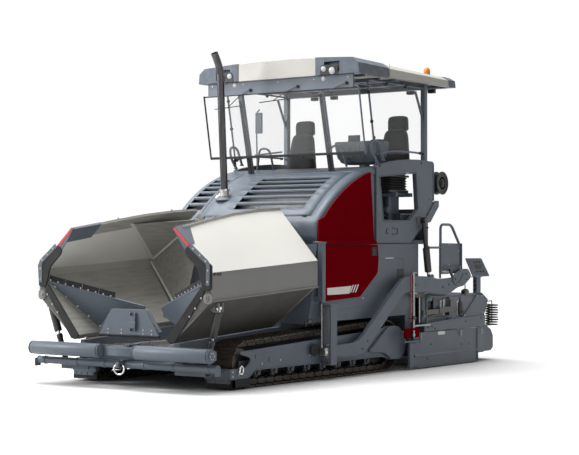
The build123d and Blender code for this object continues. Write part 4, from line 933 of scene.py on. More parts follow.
# %% Flap
def centre_flap():
    """Face plate, turned-back rim, straps and hinge tube."""
    y = -0.705
    low, high, wide, narrow = 0.575, 0.868, 0.447, 0.252
    corners = [(-wide, low), (wide, low), (narrow, high), (-narrow, high)]
    face = slab(rounded(corners, 0.006), y - 0.005, y + 0.005, "y", 0.002)
    line = rounded([(-wide + 0.004, low + 0.05), (-narrow, high - 0.004), (narrow, high - 0.004),
                    (wide - 0.004, low + 0.05)], 0.012, closed=False)
    rim = swept([(-0.004, -0.023), (0.004, -0.023), (0.004, 0.023), (-0.004, 0.023)],
                raised(line, y + 0.024, "y"))
    return joined(face, rim)


def flap_straps():
    """Two bent straps over the plate's middle, with a cover plate and a boss between them."""
    y = -0.710
    side = rounded([(y - 0.002, 0.835), (y - 0.020, 0.840), (y - 0.030, 0.790), (y - 0.024, 0.640),
                    (y - 0.002, 0.620)], 0.010)
    straps = [slab(side, x, x + 0.012, "x", 0.002) for x in (0.035, 0.105)]
    plate = block((0.030, 0.122), (y - 0.032, y - 0.024), (0.66, 0.80), 0.002)
    boss = rod((0.025, y - 0.018, 0.72), (0.128, y - 0.018, 0.72), 0.016)
    return joined(*straps, plate, boss)


def flap_hinge():
    """Tube along the lower edge and five knuckles."""
    y, z = -0.700, 0.575
    line = rod((-0.449, y, z), (0.449, y, z), 0.015)
    knuckles = [rod((x, y, z), (x + 0.06, y, z), 0.0155) for x in (-0.40, -0.24, -0.08, 0.08, 0.24)]
    return joined(line, *knuckles)


piece("centre_flap", joined(centre_flap(), flap_straps()), slate, "front_apron", ["front_apron"])
piece("centre_flap_hinge", flap_hinge(), rubber, "front_apron")
flap_heads = [(x, -0.711, z) for x in (-0.30, -0.10, 0.22, 0.34) for z in (0.60, 0.64)]
piece("centre_flap_bolts", bolts(flap_heads, (0, -1, 0), 0.008, 0.007), steel, "front_apron")


# %% [markdown]
# ## Push rollers, beam and bumper
#
# The truck's tyres roll on two long steel rollers. They turn in round end plates on a beam that swings
# about one upright pin. Below it a bumper tube with pressed collars carries the towing eye.

# %% Rollers and beam
ROLLER_Y, ROLLER_Z, ROLLER_R = -0.880, 0.408, 0.078
ROLLER_IN, ROLLER_OUT = 0.270, 1.290


def push_roller():
    """Roller drum with rolled-in ends and its stub shafts."""
    a, b, r = ROLLER_IN + 0.003, ROLLER_OUT - 0.003, ROLLER_R
    rows = [(0, 0.030), (0.006, 0.034), (0.006, r - 0.014), (0, r - 0.010), (0.002, r - 0.002), (0.006, r),
            (b - a - 0.006, r), (b - a - 0.002, r - 0.002), (b - a, r - 0.010), (b - a - 0.006, r - 0.014),
            (b - a - 0.006, 0.034), (b - a, 0.030)]
    drum = turned((a, ROLLER_Y, ROLLER_Z), (b, ROLLER_Y, ROLLER_Z), rows, 40)
    shaft = rod((a - 0.021, ROLLER_Y, ROLLER_Z), (b + 0.021, ROLLER_Y, ROLLER_Z), 0.0245, 20)
    return joined(drum, shaft)


def beam_end(x0, x1):
    """Round-nosed end plate that holds a roller's shaft."""
    t = np.linspace(np.pi / 2, 3 * np.pi / 2, 18)
    nose = np.stack([ROLLER_Y + (ROLLER_R - 0.001) * np.cos(t), ROLLER_Z + (ROLLER_R - 0.001) * np.sin(t)],
                    axis=1)
    outline = np.concatenate([nose, [(-0.788, ROLLER_Z - 0.045), (-0.788, ROLLER_Z + 0.045)]])
    return slab(outline, x0, x1, "x", 0.003, [arc_loop((ROLLER_Y, ROLLER_Z), 0.0255, 20)])


def beam_spine():
    """Flat bar behind the rollers and the bowed box between them."""
    spine = block((-ROLLER_OUT - 0.005, ROLLER_OUT + 0.005), (-0.797, -0.787), (0.365, 0.452), 0.003)
    x = np.linspace(-1, 1, 17)
    bow = -0.905 + 0.060 * x ** 2
    half = 0.243
    rows = []
    for a, y in zip(x * half, bow):
        section = [(y, 0.366), (y + 0.004, 0.362), (-0.802, 0.362), (-0.802, 0.454), (y + 0.004, 0.454),
                   (y, 0.450)]
        rows.append(raised(np.array(section), a, "x"))
    return joined(spine, loft(rows))


def beam_tongue():
    """Tongue to the pivot with its round eye."""
    t = np.linspace(-np.pi / 2, np.pi / 2, 16)
    nose = np.stack([0.080 * np.sin(t)[::-1], -0.700 + 0.080 * np.cos(t)[::-1]], axis=1)
    outline = np.concatenate([[(-0.080, -0.79), (0.080, -0.79)], nose])
    return slab(outline, 0.364, 0.452, "z", 0.003, [arc_loop((0, -0.700), 0.0255, 20)])


ends = [beam_end(ROLLER_IN - 0.020, ROLLER_IN - 0.006), beam_end(ROLLER_OUT + 0.006, ROLLER_OUT + 0.020)]
caps = [rod((x, ROLLER_Y, ROLLER_Z), (x + 0.010, ROLLER_Y, ROLLER_Z), 0.050, 28)
        for x in (ROLLER_OUT + 0.020, ROLLER_IN - 0.032)]
cap_heads = raised(arc_loop((ROLLER_Y, ROLLER_Z), 0.036, 6), ROLLER_OUT + 0.030, "x")
pair("push_roller_drum", push_roller(), slate, "push_roller_*", ["push_roller"])
piece("push_beam_frame", joined(beam_spine(), beam_tongue(), both(joined(*ends, *caps))), slate,
      "push_beam",
      ["push_beam"])
piece("push_beam_bolts", both(bolts(cap_heads, (1, 0, 0), 0.007, 0.006)), steel, "push_beam")

# %% Bumper tube
BUMPER_Y, BUMPER_Z, BUMPER_R, BUMPER_OUT = -0.770, 0.262, 0.042, 1.318
TOW_EYE_Y = -0.850


def bumper():
    """Tube with collars and end discs, the two arms that carry it and a plate at each end."""
    length = 2 * BUMPER_OUT
    rows = [(0, 0.034), (0.004, 0.046), (0.016, 0.046), (0.018, BUMPER_R)]
    for collar in (0.10, 0.60, 1.02, 1.60, 2.02, 2.50):
        rows += [(collar, BUMPER_R), (collar + 0.002, 0.049), (collar + 0.028, 0.049),
                 (collar + 0.030, BUMPER_R)]
    rows += [(length - 0.018, BUMPER_R), (length - 0.016, 0.046), (length - 0.004, 0.046), (length, 0.034)]
    line = turned((-BUMPER_OUT, BUMPER_Y, BUMPER_Z), (BUMPER_OUT, BUMPER_Y, BUMPER_Z), rows, 32)
    arms = both(block((0.540, 0.610), (BUMPER_Y, -0.600), (0.232, 0.303)))
    plates = both(slab(rounded([(-0.835, 0.19), (-0.735, 0.19), (-0.735, 0.285), (-0.835, 0.285)], 0.02),
                       BUMPER_OUT - 0.002, BUMPER_OUT + 0.008, "x"))
    return joined(line, arms, plates)


def towing_eye():
    """Thick rounded lug with a round hole."""
    outline = rounded([(-0.900, 0.224), (BUMPER_Y, 0.224), (BUMPER_Y, 0.300), (-0.900, 0.300)],
                      [0.036, 0.005, 0.005, 0.036])
    return slab(outline, -0.020, 0.020, "x", 0.004, [arc_loop((TOW_EYE_Y, BUMPER_Z), 0.022, 24)])


def bow_shackle():
    """Bright bow that hangs in the towing eye: a little over half an ellipse, and the pin over it."""
    t = np.linspace(-0.35, np.pi + 0.35, 18)
    bend = np.stack([0.074 * np.cos(t), np.full(18, -0.862), 0.222 - 0.066 * np.sin(t)], axis=1)
    line = np.concatenate([[(0.030, TOW_EYE_Y, BUMPER_Z)], bend, [(-0.030, TOW_EYE_Y, BUMPER_Z)]])
    bow = swept(ring_of(0.0105, 12), rounded(line, 0.015, 4, closed=False))
    return joined(bow, rod((-0.040, TOW_EYE_Y, BUMPER_Z), (0.040, TOW_EYE_Y, BUMPER_Z), 0.012))


piece("bumper_tube_dressed", joined(bumper(), towing_eye()), slate, "tractor", ["bumper_tube"])
piece("towing_shackle", bow_shackle(), chrome, "tractor")

# %% [markdown]
# ## Tracks
#
# A track is one closed loop: the ground run, the arc round the sprocket, the sagless top run and the
# arc round the idler. Distance along the loop is the only parameter; it gives the place and the
# direction of every shoe. One shoe with its two chain links is made once and copied by matrices, so
# forty-seven of them cost two lines. The shoes sit SHOE_LIFT higher than the loop, because their
# rolled rear edges reach a little below the tread and have to stay above the ground.

# %% The loop
SHOE_OUT, SHOE_WIDE, SHOE_STEP, SHOE_LIFT = 1.137, 0.335, 0.160, 0.003
IDLER = np.array((-0.035, 0.265))
SPROCKET = np.array((2.810, 0.325))
IDLER_R, SPROCKET_R = 0.265, 0.325
RUN = SPROCKET[0] - IDLER[0]
LEAN_BACK = math.atan2(SPROCKET_R - IDLER_R, RUN)
TOP = math.pi / 2 + 2 * LEAN_BACK
PARTS = np.cumsum([RUN, SPROCKET_R * (TOP + math.pi / 2), RUN, IDLER_R * (1.5 * math.pi - TOP)])


def loop_place(distance, depth=0.0):
    """Point (y, z) and direction angle at distances along the loop, a depth under the shoe tips.
    On the arcs the angle is distance over radius; on the runs the point slides evenly."""
    s = np.mod(distance, PARTS[3])
    on_ground = s < PARTS[0]
    rear = np.clip((s - PARTS[0]) / SPROCKET_R, 0, TOP + np.pi / 2) - np.pi / 2
    share = np.clip((s - PARTS[1]) / RUN, 0, 1)
    front = np.clip((s - PARTS[2]) / IDLER_R, 0, None) + TOP
    ray = np.where(s < PARTS[1], rear, np.where(s < PARTS[2], TOP, front))
    ray = np.where(on_ground, -np.pi / 2, ray)
    radius = SPROCKET_R + (IDLER_R - SPROCKET_R) * share
    centre_y = np.where(on_ground, IDLER[0] + s, SPROCKET[0] + (IDLER[0] - SPROCKET[0]) * share)
    centre_z = np.where(on_ground, SPROCKET_R, radius)
    radius = np.where(on_ground, SPROCKET_R, radius)
    y = centre_y + (radius - depth) * np.cos(ray)
    z = centre_z + (radius - depth) * np.sin(ray)
    return y, z, ray + np.pi / 2


def track_shoe():
    """Shoe plate with three low ribs and rolled edges, in its own frame: y along, z outwards."""
    section = [(-0.070, -0.022), (0.066, -0.022), (0.072, -0.034), (0.078, -0.030), (0.073, -0.014),
               (0.056, -0.012), (0.052, -0.001), (0.038, -0.001), (0.034, -0.012), (0.010, -0.012),
               (0.006, -0.002), (-0.006, -0.002), (-0.010, -0.012), (-0.034, -0.012), (-0.038, -0.001),
               (-0.052, -0.001), (-0.056, -0.012), (-0.070, -0.012)]
    return slab(section, SHOE_OUT - SHOE_WIDE, SHOE_OUT, "x", 0.0015)


def track_links():
    """Two links with raised ends and the bushing between them, under the shoe."""
    outline = rounded([(-0.082, -0.040), (-0.082, -0.078), (-0.030, -0.084), (0.030, -0.084),
                       (0.082, -0.078),
                       (0.082, -0.040), (0.040, -0.022), (-0.040, -0.022)], 0.012, 4)
    middle = SHOE_OUT - SHOE_WIDE / 2
    links = [slab(outline, middle + a, middle + a + 0.022, "x", 0.002) for a in (-0.075, 0.053)]
    bush = rod((middle - 0.082, -0.080, -0.060), (middle + 0.082, -0.080, -0.060), 0.017, 12)
    heads = bolts([(middle + a, b, -0.0125) for a in (-0.064, 0.064) for b in (-0.022, 0.022)], (0, 0, 1),
                  0.010, 0.008)
    return joined(*links, bush, heads)


SHOES = round(PARTS[3] / SHOE_STEP)
distance = (np.arange(SHOES) + 0.5) * PARTS[3] / SHOES
y, z, heading = loop_place(distance)
turns = turn_about("x", heading + np.pi)
places = np.stack([np.zeros(SHOES), y, z + SHOE_LIFT], axis=1)
shoes = copies(joined(track_shoe(), track_links()), places, turns)
pair("track_shoes", shoes, chain, "tractor", ["track"], 40)
print("shoes on each track:", SHOES)


# %% [markdown]
# ### Wheels inside the track
#
# Rollers and idler are turned with a groove between two treads. The sprocket is a toothed plate: its
# radius swings with the tooth angle.

# %% Wheels
BEAM_IN, BEAM_OUT = SHOE_OUT - 0.267, SHOE_OUT - 0.067
ROLLERS = [(0.250 + n * (2.810 - 0.560) / 7, 0.149) for n in range(8)]


def flanged(y, z, radius, half):
    """Wheel with a centre groove and outer flanges."""
    middle = (BEAM_IN + BEAM_OUT) / 2
    rows = [(0, radius * 0.35), (0, radius * 0.72), (0.006, radius * 0.78), (0.010, radius - 0.014),
            (0.014, radius - 0.002), (half - 0.028, radius), (half - 0.024, radius - 0.012),
            (half + 0.024, radius - 0.012), (half + 0.028, radius), (2 * half - 0.014, radius - 0.002),
            (2 * half - 0.010, radius - 0.014), (2 * half - 0.006, radius * 0.78),
            (2 * half, radius * 0.72),
            (2 * half, radius * 0.35)]
    return turned((middle - half, y, z), (middle + half, y, z), rows, 32)


def sprocket():
    """Toothed ring: radius R + a sin(n t), with a dished hub and its bolts."""
    t = np.linspace(0, 2 * np.pi, 168, endpoint=False)
    radius = 0.224 + 0.012 * np.tanh(3 * np.sin(21 * t))
    ring = np.stack([SPROCKET[0] + radius * np.cos(t), SPROCKET[1] + radius * np.sin(t)], axis=1)
    middle = (BEAM_IN + BEAM_OUT) / 2
    teeth = slab(ring, middle - 0.022, middle + 0.022, "x", 0.002)
    hub = turned((BEAM_IN - 0.14, *SPROCKET), (BEAM_OUT + 0.03, *SPROCKET),
                 [(0, 0.150), (0.22, 0.150), (0.235, 0.165), (0.27, 0.165), (0.285, 0.120), (0.335, 0.112),
                  (0.345, 0.100), (0.365, 0.090)], 32)
    heads = raised(arc_loop(SPROCKET, 0.140, 12), BEAM_OUT - 0.020, "x")
    return joined(teeth, hub, bolts(heads, (1, 0, 0), 0.010, 0.010))


wheels = [flanged(y, z, 0.060, 0.080) for y, z in ROLLERS]
wheels.append(flanged(*IDLER, IDLER_R - 0.089, 0.070))
hubs = [rod((BEAM_OUT - 0.012, y, z), (BEAM_OUT + 0.016, y, z), 0.026, 16) for y, z in ROLLERS]
pair("track_wheels", joined(*wheels, *hubs, sprocket()), black, "tractor")


# %% [markdown]
# ### Track frame
#
# Beside each track a long plate runs from the front arm to the sprocket guard. Its outline is
# eighteen corners, softened; a second, thicker leaf covers the sprocket. Behind it the box beam carries
# the rollers.

# %% Frame plate
GUARD_IN, GUARD_OUT, ARM_Z = SHOE_OUT + 0.008, SHOE_OUT + 0.028, 0.115
LASHING_Y, LASHING_Z = -0.200, 0.174


def frame_plate():
    """Outer plate with its lashing hole and the two-step sprocket cover."""
    outline = rounded([
        (-0.370, ARM_Z), (-0.010, ARM_Z), (0.075, 0.205), (1.410, 0.190), (2.720, 0.190), (2.850, 0.145),
        (3.100, 0.144), (3.210, 0.263), (3.160, 0.459), (3.050, 0.561), (2.800, 0.571), (2.640, 0.530),
        (1.410, 0.484), (-0.190, 0.415), (-0.190, 0.385), (0.020, 0.330), (-0.080, 0.232), (-0.370, 0.232)],
        [0.01, 0.06, 0.06, 0, 0.06, 0.06, 0.05, 0.05, 0.08, 0.06, 0.08, 0.06, 0, 0.01, 0.02, 0.06, 0.06,
         0.01])
    plate = slab(outline, GUARD_IN, GUARD_OUT, "x", 0.003, [arc_loop((LASHING_Y, LASHING_Z), 0.022)])
    cover = rounded([(2.340, 0.273), (2.720, 0.237), (2.850, 0.150), (3.095, 0.149), (3.205, 0.265),
                     (3.155, 0.456), (3.048, 0.556), (2.802, 0.566)],
                    [0.05, 0.06, 0.06, 0.06, 0.05, 0.05, 0.06, 0.06])
    boss = slab(cover, GUARD_OUT, GUARD_OUT + 0.033, "x", 0.006)
    foot = block((SHOE_OUT - SHOE_WIDE, GUARD_IN), (-0.370, -0.312), (ARM_Z, 0.232))
    lip = block((GUARD_IN - 0.012, GUARD_IN + 0.032), (0.10, 2.62), (0.196, 0.206), 0.002)
    return joined(plate, boss, foot, lip)


def frame_beam():
    """Box beam, roller brackets and the two forks for idler and sprocket."""
    shapes = [block((BEAM_IN, BEAM_OUT), (0.150, 2.560), (0.235, 0.400))]
    for x0, x1 in ((BEAM_IN, BEAM_IN + 0.026), (BEAM_OUT - 0.026, BEAM_OUT)):
        shapes.append(block((x0, x1), (-0.085, 0.160), (0.230, 0.300)))
        shapes.append(block((x0, x1), (2.550, 2.810), (0.265, 0.385)))
    side = rounded([(-0.055, 0.095), (0.055, 0.095), (0.075, 0.24), (-0.075, 0.24)], 0.02)
    for y, _ in ROLLERS:
        shapes.append(slab(side + (y, 0.025), BEAM_OUT - 0.018, BEAM_OUT, "x"))
        shapes.append(slab(side + (y, 0.025), BEAM_IN, BEAM_IN + 0.018, "x"))
    for y in (0.42, 1.24, 2.06):
        shapes.append(block((BEAM_OUT, GUARD_IN), (y - 0.06, y + 0.06), (0.250, 0.385)))
    return joined(*shapes)


def plate_details():
    """Two round grease ports and a step bracket on the plate."""
    x = GUARD_OUT
    ports = [rod((x, y, z), (x + 0.008, y, z), radius, 24)
             for y, z, radius in ((0.36, 0.30, 0.032), (0.10, 0.345, 0.024))]
    step = rounded([(0.02, 0.395), (0.13, 0.400), (0.11, 0.430), (0.04, 0.425)], 0.012)
    return joined(*ports, slab(step, x, x + 0.006, "x"))


frame_heads = [(GUARD_OUT, y, z) for y, z in ((0.55, 0.28), (1.12, 0.30), (1.70, 0.31), (2.20, 0.33),
                                              (-0.33, 0.15), (-0.33, 0.20), (0.20, 0.26))]
pair("track_frame_plate", joined(frame_plate(), plate_details()), slate, "tractor", ["track_frame"])
pair("track_frame_beam", frame_beam(), slate, "tractor")
pair("track_frame_bolts", bolts(frame_heads, (1, 0, 0), 0.010, 0.009), steel, "tractor")


def lashing_shackle():
    """Bright bow shackle through the plate's hole, seen from the side as a leaning U."""
    x, y, z = GUARD_OUT, LASHING_Y, LASHING_Z
    t = np.linspace(-0.2, np.pi + 0.2, 14)
    bow = np.stack([np.full(14, x + 0.022), y + 0.030 * np.cos(t), z + 0.031 + 0.052 * np.sin(t)], axis=1)
    legs = np.concatenate([[(x + 0.004, y + 0.028, z - 0.014)], bow, [(x + 0.004, y - 0.028, z - 0.014)]])
    nuts = [rod((x - 0.030, y + a, z), (x + 0.022, y + a, z), 0.0115, 6) for a in (-0.008, 0.010)]
    return joined(swept(ring_of(0.010, 10), legs), *nuts)


pair("lashing_shackle", lashing_shackle(), chrome, "tractor")


# %% [markdown]
# ### Deflectors
#
# Ahead of each track a rubber block pushes spilled mix aside. It is screwed to the front arm behind a
# light plate.

# %% Deflectors
def deflector():
    """Thick rubber block with its outer skirt."""
    front = block((SHOE_OUT - SHOE_WIDE, GUARD_IN + 0.027), (-0.352, -0.285), (0.025, ARM_Z), 0.006)
    side = slab(rounded([(-0.352, 0.025), (-0.030, 0.025), (-0.015, 0.05), (-0.015, ARM_Z),
                         (-0.352, ARM_Z)], 0.01),
                GUARD_IN + 0.003, GUARD_IN + 0.027, "x", 0.004)
    return joined(front, side)


clamp = block((SHOE_OUT - 0.30, GUARD_IN + 0.01), (-0.362, -0.352), (0.070, 0.112), 0.003)
clamp_heads = [(x, -0.362, 0.091) for x in (0.86, 0.95, 1.04, 1.12)]
pair("deflector_rubber", deflector(), rubber, "tractor", whole=["deflectors"])
pair("deflector_clamp", joined(clamp, bolts(clamp_heads, (0, -1, 0), 0.010, 0.008)), slate, "tractor")

# %% [markdown]
# ## Engine hood
#
# The hood is one sheet that climbs from the bulkhead, bends over and runs back to the operator's
# platform. It could be a block with a boolean cut for each louvre, but a sheet with openings is a
# grid with cells left out: rows follow the profile, columns run across, and a table of true and
# false says which cells are metal. The same table leaves 5 mm seams around the opening hatch.

# %% The hood's profile
def circle_through(a, b, c):
    """Centre and radius of the circle through three points: the centre is the crossing of the lines
    that halve the two chords, found from two linear equations."""
    a, b, c = (np.asarray(p, float) for p in (a, b, c))
    centre = np.linalg.solve(2 * np.array([b - a, c - a]), [b @ b - a @ a, c @ c - a @ a])
    return centre, np.linalg.norm(a - centre)


HOOD_FRONT, HOOD_FOOT = 1.330, 1.592
HOOD_CENTRE, HOOD_R = circle_through((1.330, 1.840), (1.850, 2.272), (2.620, 2.556))
OPEN_FROM, OPEN_PITCH, OPEN_WIDE, OPENINGS = 1.507, 0.110, 0.082, 6
SEAM = 0.005


def hood_z(y):
    """Height of the hood's arc: centre plus the root of r^2 minus the distance along, squared."""
    return HOOD_CENTRE[1] + np.sqrt(HOOD_R ** 2 - (np.asarray(y) - HOOD_CENTRE[0]) ** 2)


def hood_profile(rows):
    """Front face, a soft bend of reach 0.075, then the arc at the asked rows."""
    arc = np.stack([rows, hood_z(rows)], axis=1)
    front = [(HOOD_FRONT, HOOD_FOOT), (HOOD_FRONT, 1.700)]
    bend = rounded([(HOOD_FRONT, 1.700), (HOOD_FRONT, 1.832), arc[0]], 0.075, 7, closed=False)
    return np.concatenate([front, bend[1:], arc[1:]])


def inward(line):
    """Unit normals of a line in the y-z plane, to the right of its direction."""
    way = np.gradient(line, axis=0)
    way /= np.linalg.norm(way, axis=1)[:, None]
    return np.stack([way[:, 1], -way[:, 0]], axis=1)


def hood_sheet(line, across, depth):
    """Points (x, P + depth N): each column has its own x and its own depth below the profile P."""
    normal = inward(line)
    flat = line[:, None] + depth[None, :, None] * normal[:, None]
    return np.concatenate([np.broadcast_to(across[None, :, None], (*flat.shape[:2], 1)), flat], axis=2)


# %% Rows and columns of the hood
starts = OPEN_FROM + OPEN_PITCH * np.arange(OPENINGS)
edges = np.sort(np.concatenate([starts, starts + OPEN_WIDE]))
HATCH_Y = np.array([1.408, 2.292])
rows_y = np.unique(np.concatenate([[1.392], edges, HATCH_Y, HATCH_Y + SEAM,
                                   [1.44, 1.475, 2.20, 2.235, 2.40, 2.46, 2.54, 2.618]]))
GRILLE_X = ((-0.25, 0.80), (-1.06, -0.76))
side_turn = np.radians([0, 18, 36, 54, 72, 90])
rim_x = 1.063 + 0.056 * np.sin(side_turn)
rim_d = 0.046 * (1 - np.cos(side_turn))
flat_x = np.array([0.985, 0.98, 0.80, 0.62, 0.45, 0.27, 0.10, -0.07, -0.25, -0.45, -0.60, -0.715, -0.72,
                   -0.76, -1.02])
columns_x = np.concatenate([[1.119], rim_x[::-1], flat_x, -rim_x, [-1.119]])
columns_d = np.concatenate([[0.095], rim_d[::-1], np.zeros(len(flat_x)), rim_d, [0.095]])
line = hood_profile(rows_y)
print("hood rows", len(line), "columns", len(columns_x))

# %% Leave out the openings and the seams
cell_y = (line[1:, 0] + line[:-1, 0]) / 2
cell_z = (line[1:, 1] + line[:-1, 1]) / 2
cell_x = (columns_x[1:] + columns_x[:-1]) / 2
row_y, row_z = cell_y[:, None], cell_z[:, None]
in_slot = ((row_y > starts) & (row_y < starts + OPEN_WIDE) & (row_z > 1.95)).any(axis=1)
in_grille = ((cell_x > -0.25) & (cell_x < 0.80)) | ((cell_x > -1.02) & (cell_x < -0.76))
along_seam = (cell_z > 1.9) & (cell_y > HATCH_Y[0]) & (cell_y < HATCH_Y[1] + SEAM)
on_seam_x = ((cell_x > 0.98) & (cell_x < 0.985)) | ((cell_x > -0.72) & (cell_x < -0.715))
on_seam_y = np.isclose(row_y, HATCH_Y + SEAM / 2, atol=0.002).any(axis=1)
within = (cell_x < 0.985) & (cell_x > -0.72)
metal = ~(in_slot[:, None] & in_grille)
metal &= ~(along_seam[:, None] & on_seam_x)
metal &= ~(on_seam_y[:, None] & within)
sheet_points, (sheet_quads,) = grid(hood_sheet(line, columns_x, columns_d))
hood = piece("engine_hood_skin", (sheet_points, [sheet_quads[metal.ravel()]]), slate, "tractor",
             ["engine_hood"], crisp=38, outward=False)
thickness = hood.modifiers.new("sheet", "SOLIDIFY")
thickness.thickness = 0.005
thickness.offset = -1
print("cells of metal", int(metal.sum()), "of", metal.size)

# %% [markdown]
# Behind each opening hangs a louvre blade, a bent strip that throws rain forward, and below them all
# lies a black screen. The blade's section is a bent strip of six corners, carried across the opening.

# %% Louvre blades and the screen
BLADE = np.array([(0.004, -0.003), (0, -0.012), (0.006, -0.024), (0.009, -0.023), (0.004, -0.012),
                  (0.010, 0)])
blades = []
for low_x, high_x in GRILLE_X:
    for y in starts + OPEN_WIDE:
        blades.append(slab(BLADE + (y, float(hood_z(y))), low_x - 0.02, high_x + 0.02, "x", 0.0004))
piece("louvre_blades", joined(*blades), slate, "tractor")
under_rows = np.linspace(1.36, 2.60, 12)
under = np.stack([under_rows, hood_z(under_rows)], axis=1)
under = under + 0.075 * inward(under)
across = np.array([1.10, 0.0, -1.10])
screen = np.stack([np.broadcast_to(across, (12, 3)), np.broadcast_to(under[:, :1], (12, 3)),
                   np.broadcast_to(under[:, 1:], (12, 3))], axis=2)
screen_item = piece("grille_screen", grid(screen), black, "tractor", outward=False)
screen_item.modifiers.new("sheet", "SOLIDIFY").thickness = 0.004
side_wall = [(1.345, 1.60), (1.345, 1.80), (1.85, 2.18), (2.60, 2.46), (2.60, 1.60)]
piece("hood_side_walls", both(slab(side_wall, 1.094, 1.112)), slate, "tractor")
print("blades", len(blades))


# %% [markdown]
# ### Ridged seal along the hood's edge
#
# A fine ribbed strip closes the gap between the hood and the side panel. It is a low zigzag laid
# along the arc: its rows of points stand in turn further out and further in.

# %% Ribbed edge strip
def ribbed_edge():
    """Strip at the hood's edge, x from 1.112 to 1.127; every second row is 2.8 mm further in."""
    rows = np.linspace(1.395, 2.50, 240)
    path = np.stack([rows, hood_z(rows)], axis=1)
    normal = inward(path)
    ribs = np.where(np.arange(len(rows)) % 2 == 0, 0.0, 0.0028)
    columns = np.array([(1.112, 0.052), (1.124, 0.052), (1.127, 0.056), (1.127, 0.074)])
    x = columns[None, :, 0] - ribs[:, None]
    flat = path[:, None] + columns[None, :, 1:] * normal[:, None]
    return grid(np.concatenate([x[..., None], flat], axis=2))


pair("hood_seal", ribbed_edge(), slate, "tractor", crisp=20)

# %% [markdown]
# ## Red side panels and the service door
#
# Over the engine bay each side has a fixed red panel that follows the hood's arc, a narrow ledge
# that sheds water, and a door below it. Panel and door are folded sheet, so their edges are rounded
# a little and a thin shadow gap runs round them. Where the maker paints a plate, a plain white one stays.

# %% Fixed panel and ledge
arc_y = np.linspace(1.345, 2.452, 26)
arc = np.stack([arc_y, hood_z(arc_y)], axis=1)
arc = arc + 0.048 * inward(arc)
upper = np.concatenate([[(2.542, 1.640), (1.345, 1.640), (1.345, 1.870)], arc[2:]])
pair("side_panel", slab(upper, 1.130, 1.149, "x", 0.0035), red, "tractor", whole=["side_panels"])
ledge = [(1.126, 1.592), (1.199, 1.592), (1.2005, 1.600), (1.151, 1.641), (1.126, 1.641)]
pair("panel_ledge", slab(ledge, 1.345, 2.546, "y", 0.0015), red, "tractor")
print("upper panel corners", len(upper))

# %% Service door
door_outline = rounded([(1.352, 0.918), (2.150, 0.951), (2.547, 1.234), (2.569, 1.411), (2.547, 1.583),
                        (1.352, 1.583)], [0.012, 0.03, 0.03, 0.03, 0.012, 0.012])
door = slab(door_outline, 1.166, 1.198, "x", 0.005)
flange = block((1.166, 1.200), (1.345, 1.353), (0.925, 1.580), 0.002)
pair("service_door", joined(door, flange), red, "side_door_*", ["side_door"])
hinge_places = [(1.198, 1.372, z) for z in (1.560, 1.530, 1.010, 0.980)]
hinge_plates = joined(*[block((1.197, 1.2000), (1.358, 1.388), (z - 0.030, z + 0.030), 0.001)
                        for z in (1.545, 0.995)])
pair("door_hinge_plates", hinge_plates, red, "side_door_*")
pair("door_hinge_bolts", bolts(hinge_places, (1, 0, 0), 0.006, 0.005), steel, "side_door_*")
cup = rounded([(2.405, 1.446), (2.520, 1.446), (2.520, 1.550), (2.405, 1.550)], 0.012)
cup_hole = rounded([(2.417, 1.458), (2.508, 1.458), (2.508, 1.538), (2.417, 1.538)], 0.010)
latch = joined(slab(cup, 1.196, 1.2035, "x", 0.002, [cup_hole]),
               slab(cup_hole, 1.1965, 1.1985, "x", 0.0004),
               block((1.199, 1.2045), (2.424, 2.475), (1.470, 1.526), 0.002),
               turned((1.198, 2.492, 1.480), (1.204, 2.492, 1.480),
                      [(0, 0.011), (0.005, 0.011), (0.006, 0.008)], 16))
pair("door_latch", latch, black_plastic, "side_door_*")

# %% Blank plate and stripes on the door
plate = [(1.440, 0.990), (1.440, 1.072), (1.960, 1.088), (1.905, 0.996)]
stripes = [[(a, 0.998 + (a - 1.44) * 0.02), (a + 0.062, 1.090 + (a - 1.44) * 0.02),
            (a + 0.086, 1.090 + (a - 1.44) * 0.02), (a + 0.024, 0.998 + (a - 1.44) * 0.02)]
           for a in (1.922, 1.976, 2.030)]
marks = joined(*[slab(outline, 1.197, 1.1988, "x", 0.0003) for outline in [plate] + stripes])
pair("door_plate", marks, white, "side_door_*")
print("door dressed")

# %% [markdown]
# ## Posts, levelling rods and small fittings ahead of the door
#
# Ahead of each door a box post guards the levelling cylinder. Its thin rod comes out below and ends
# at the tow point, whose pin sits between two cheeks.

# %% Post trim
post_cap = [(1.128, 1.244), (1.268, 1.244), (1.268, 1.326), (1.205, 1.330), (1.128, 1.330)]
pair("post_cap", slab(post_cap, 1.606, 1.616, "z", 0.002), slate, "tractor")
cap_bolts = bolts([(x, y, 1.616) for x, y in ((1.156, 1.268), (1.156, 1.306), (1.192, 1.268))],
                  (0, 0, 1), 0.007, 0.006)
pair("post_cap_bolts", cap_bolts, steel, "tractor")
ROD_X, ROD_Y = 1.225, 1.285
seal = turned((ROD_X, ROD_Y, 0.895), (ROD_X, ROD_Y, 0.925),
              [(0, 0.021), (0, 0.026), (0.018, 0.028), (0.028, 0.028)], 20)
pair("rod_seal", seal, black, "tractor")
TENSION = (1.170, 0.364)
hub = joined(
    turned((1.196, *TENSION), (1.216, *TENSION),
           [(0, 0.066), (0.004, 0.072), (0.014, 0.072), (0.020, 0.062)], 28),
    turned((1.214, *TENSION), (1.222, *TENSION), [(0, 0.030), (0.006, 0.030), (0.008, 0.024)], 20))
pair("tension_cover", hub, rubber, "tractor")
knob = joined(rod((1.240, ROD_Y, 0.327), (1.275, ROD_Y, 0.327), 0.013, 14),
              turned((1.268, ROD_Y, 0.327), (1.302, ROD_Y, 0.327),
                     [(0, 0.016), (0.006, 0.026), (0.026, 0.026), (0.034, 0.016)], 18))
pair("tow_pin_knob", knob, steel, "tractor")
TOW_PIN = (1.425, 0.335)
